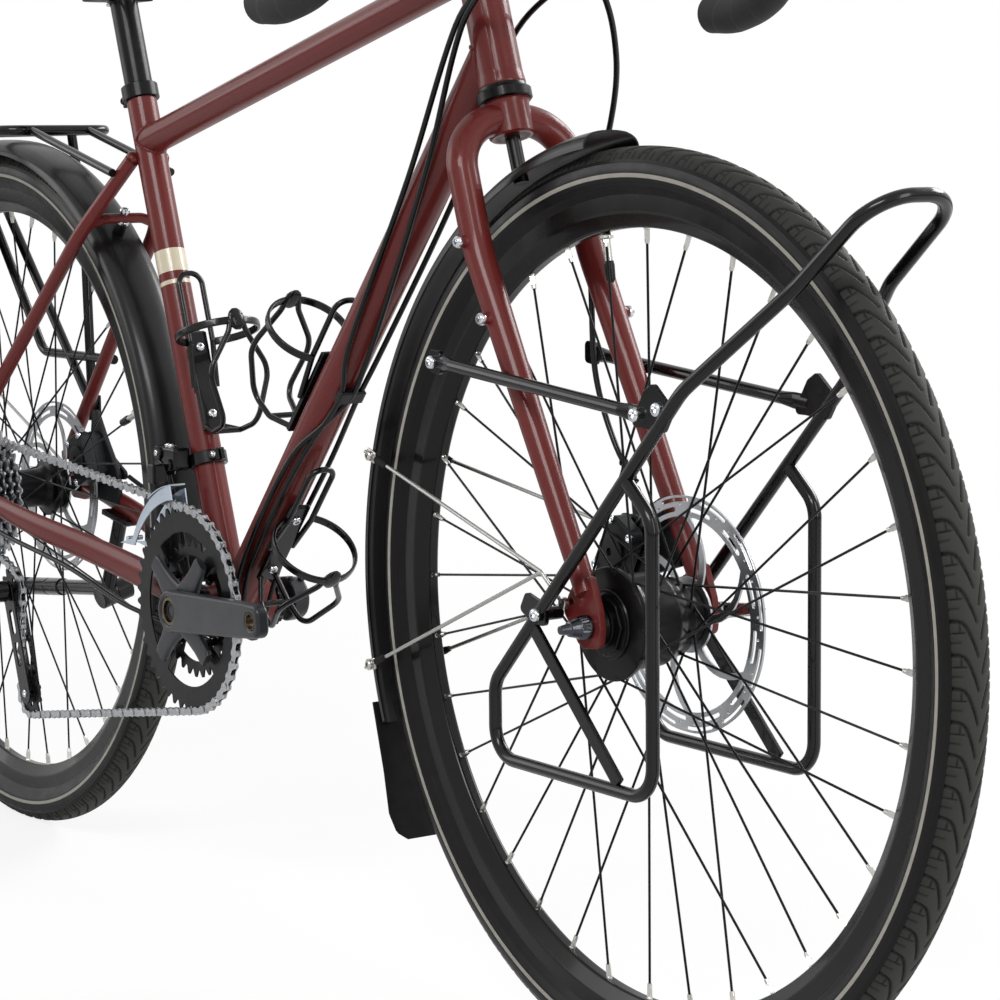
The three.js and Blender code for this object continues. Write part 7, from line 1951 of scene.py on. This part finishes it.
def stem():
    """Spacers, the clamp round the steerer with its cap, the arm and the clamp round the bar."""
    rise = on_steer(STEM_MIDDLE)
    stack = [
        (HEAD_TOP + 12.3, [(0, 17.4), (0.5, 18), (10, 18), (10.3, 17.6), (10.8, 18), (21, 18), (21.5, 17.5)]),
        (STEM_MIDDLE - 20, [(0, 17.8), (1.5, 19), (38.5, 19), (40, 17.8)]),
        (STEM_MIDDLE + 20, [(0, 17.6), (2.6, 17.6), (3.8, 16), (3.8, polygon(6, 3)), (1, polygon(6, 2.9))]),
    ]
    parts = [turned(on_steer(height), STEER_UP, rings, 64) for height, rings in stack]
    path = rise + STEM_ALONG * np.linspace(10, 78, 12)[:, None]
    parts.append(sweep(path, oval(np.linspace(14.6, 13.6, 12), np.linspace(15, 14.5, 12), 40, 2.3)))
    clamp = rounded([(16.2, -22), (21, -22), (21, 22), (16.2, 22)], [0.4, 1.5, 1.5, 0.4])
    parts.append(lathe(clamp, BAR_CENTRE, 72))
    build("stem_forging", "fork", anodised, parts, "stem")
    places = [plane(102.5) * u + SIDEWAYS * v for u in (-11, 11) for v in (-14, 14)]
    screws = [bolt(BAR_CENTRE + STEM_ALONG * 20 + place, STEM_ALONG, 3.4, 2.4) for place in places]
    screws += [bolt(rise - STEER_AHEAD * 18.5 + STEER_UP * u, -STEER_AHEAD, 3.4, 2.4) for u in (-10, 10)]
    build("stem_screws", "fork", polished, screws)


stem()

HOOD_BASE = BAR_CENTRE + vec(78 - 11.6, 0, -19.2)
HOOD_AHEAD, HOOD_UP = plane(14), plane(104)


def hood_point(hand, ahead, up):
    """Place in the middle plane of a hood, from the root of its lever."""
    p = HOOD_BASE + HOOD_AHEAD * ahead + HOOD_UP * up
    p[1] = hand * BAR_HALF
    return p


def controls():
    """Rubber hoods that rise to the front, brake levers below them and shift paddles behind the levers."""
    for hand, name in SIDES:
        spine = curve([hood_point(hand, *place) for place in ((0, 0), (37, 0), (69, 10), (92, 30))], 40)
        share = np.linspace(0, 1, 40)
        swell = 1 - share / 3 - 0.25 * np.clip(share - 0.92, 0, 1) / 0.08
        hood = sweep(spine, oval(15 * swell, (18 - 1.5 * np.sin(3 * share)) * swell, 36, 2.6))
        build("brake_hood_rubber_" + name, "fork", soft_rubber, [hood], "brake_hood_" + name)
        root = hood_point(hand, 62, -4)
        down, back = plane(-78), vec(-1, 0, 0)
        line = curve(
            [root, root + down * 43.2, root + down * 86.4 + back * 7.3, root + down * 108 + back * 22], 40
        )
        width = (13 / 2) * (1 - share / 4) * np.sqrt(np.clip(1.02 - share**10, 0.05, 1))
        blade = sweep(line, oval(width, 4 * (1 - share / 3), 28, 2.5))
        build("brake_lever_blade_" + name, "brake_lever_" + name, anodised, [blade], "brake_lever_" + name)
        top = root - 9.2 * HOOD_AHEAD - 30 * HOOD_UP
        run = np.linspace(0, 42, 16)
        half = 10 * np.sqrt(np.clip(1 - ((run - 24) / 26) ** 4, 0.12, 1))
        paddle = sweep(top + plane(-80) * run[:, None], oval(half, 1.7 + 0 * half, 24, 3))
        build(
            "shift_paddle_blade_" + name, "shift_paddle_" + name, anodised, [paddle], "shift_paddle_" + name
        )


controls()


# Saddle and seat post

def saddle():
    """Shell over a plan that flares from nose to back, its section a superellipse that droops at the
    edges, closed below."""
    rows, columns = 90, 48
    share = np.linspace(0, 1, rows)[:, None]
    flare = 1 / (1 + np.exp(14 * (share - 0.42)))
    end = np.sqrt(np.clip(1 - (2 * share - 1) ** 6, 0.02, 1))
    half = (19 + 57 * flare) * end
    top = SADDLE_LOW[2] + 42 + 12 * (1 - share) ** 3 - 8 * np.sin(math.pi * share)
    turn = 2 * math.pi * (np.arange(columns) + 0.5)[None] / columns
    c, s = np.cos(turn), np.sin(turn)
    side = half * np.sign(c) * np.abs(c) ** 0.7
    depth = np.where(s > 0, 9.0, 25.0)
    height = top - 9 + depth * np.sign(s) * np.abs(s) ** np.where(s > 0, 1.0, 0.8) * end
    fade = np.sin(math.pi * np.clip((share - 0.1) / 0.75, 0, 1)) ** 2 * (s > 0)
    groove = -2.2 * np.exp(-((side / 9) ** 2)) * fade
    station = lambda share: SADDLE_LOW[0] - 118 + 272 * share
    points = np.stack([station(share) + 0 * turn, side, height + groove], -1)
    cover = build("saddle_cover", "seatpost", leather, [skin(points)], "saddle", 60)
    high, low = SADDLE_LOW[2] + 12, SADDLE_LOW[2] - 26
    line = [(0.82, 9.5, high), (0.66, 22, low), (0.26, 22, low), (0.14, 44, high)]
    rails = []
    for hand in (RIGHT, LEFT):
        corners = [vec(station(share), hand * y, z) for share, y, z in line]
        rails.append(pipe(bent(corners, 26), 3.5, 20))
    build("saddle_rails", "seatpost", polished, rails)
    head = vec(SADDLE_LOW[0], 0, low)
    post = [
        tube(on_seat(340), on_seat(POST_TOP - 74), POST_RADIUS),
        turned(on_seat(586), SEAT_UP, [(0, POST_RADIUS), (8, 15), (14, 15.5), (20, 11)], 48),
    ]
    post += [box(head + rise * UPRIGHT, vec(1, 0, 0), SIDEWAYS, 38, 58, 6, 2) for rise in (5.2, -5.2)]
    build("seat_post_tube", "seatpost", anodised, post, "seatpost")
    bolts = [bolt(head + vec(k, 0, -8), -UPRIGHT, 3.8, 4.0) for k in (-16, 16)]
    build("seat_post_bolts", "seatpost", polished, bolts)


saddle()
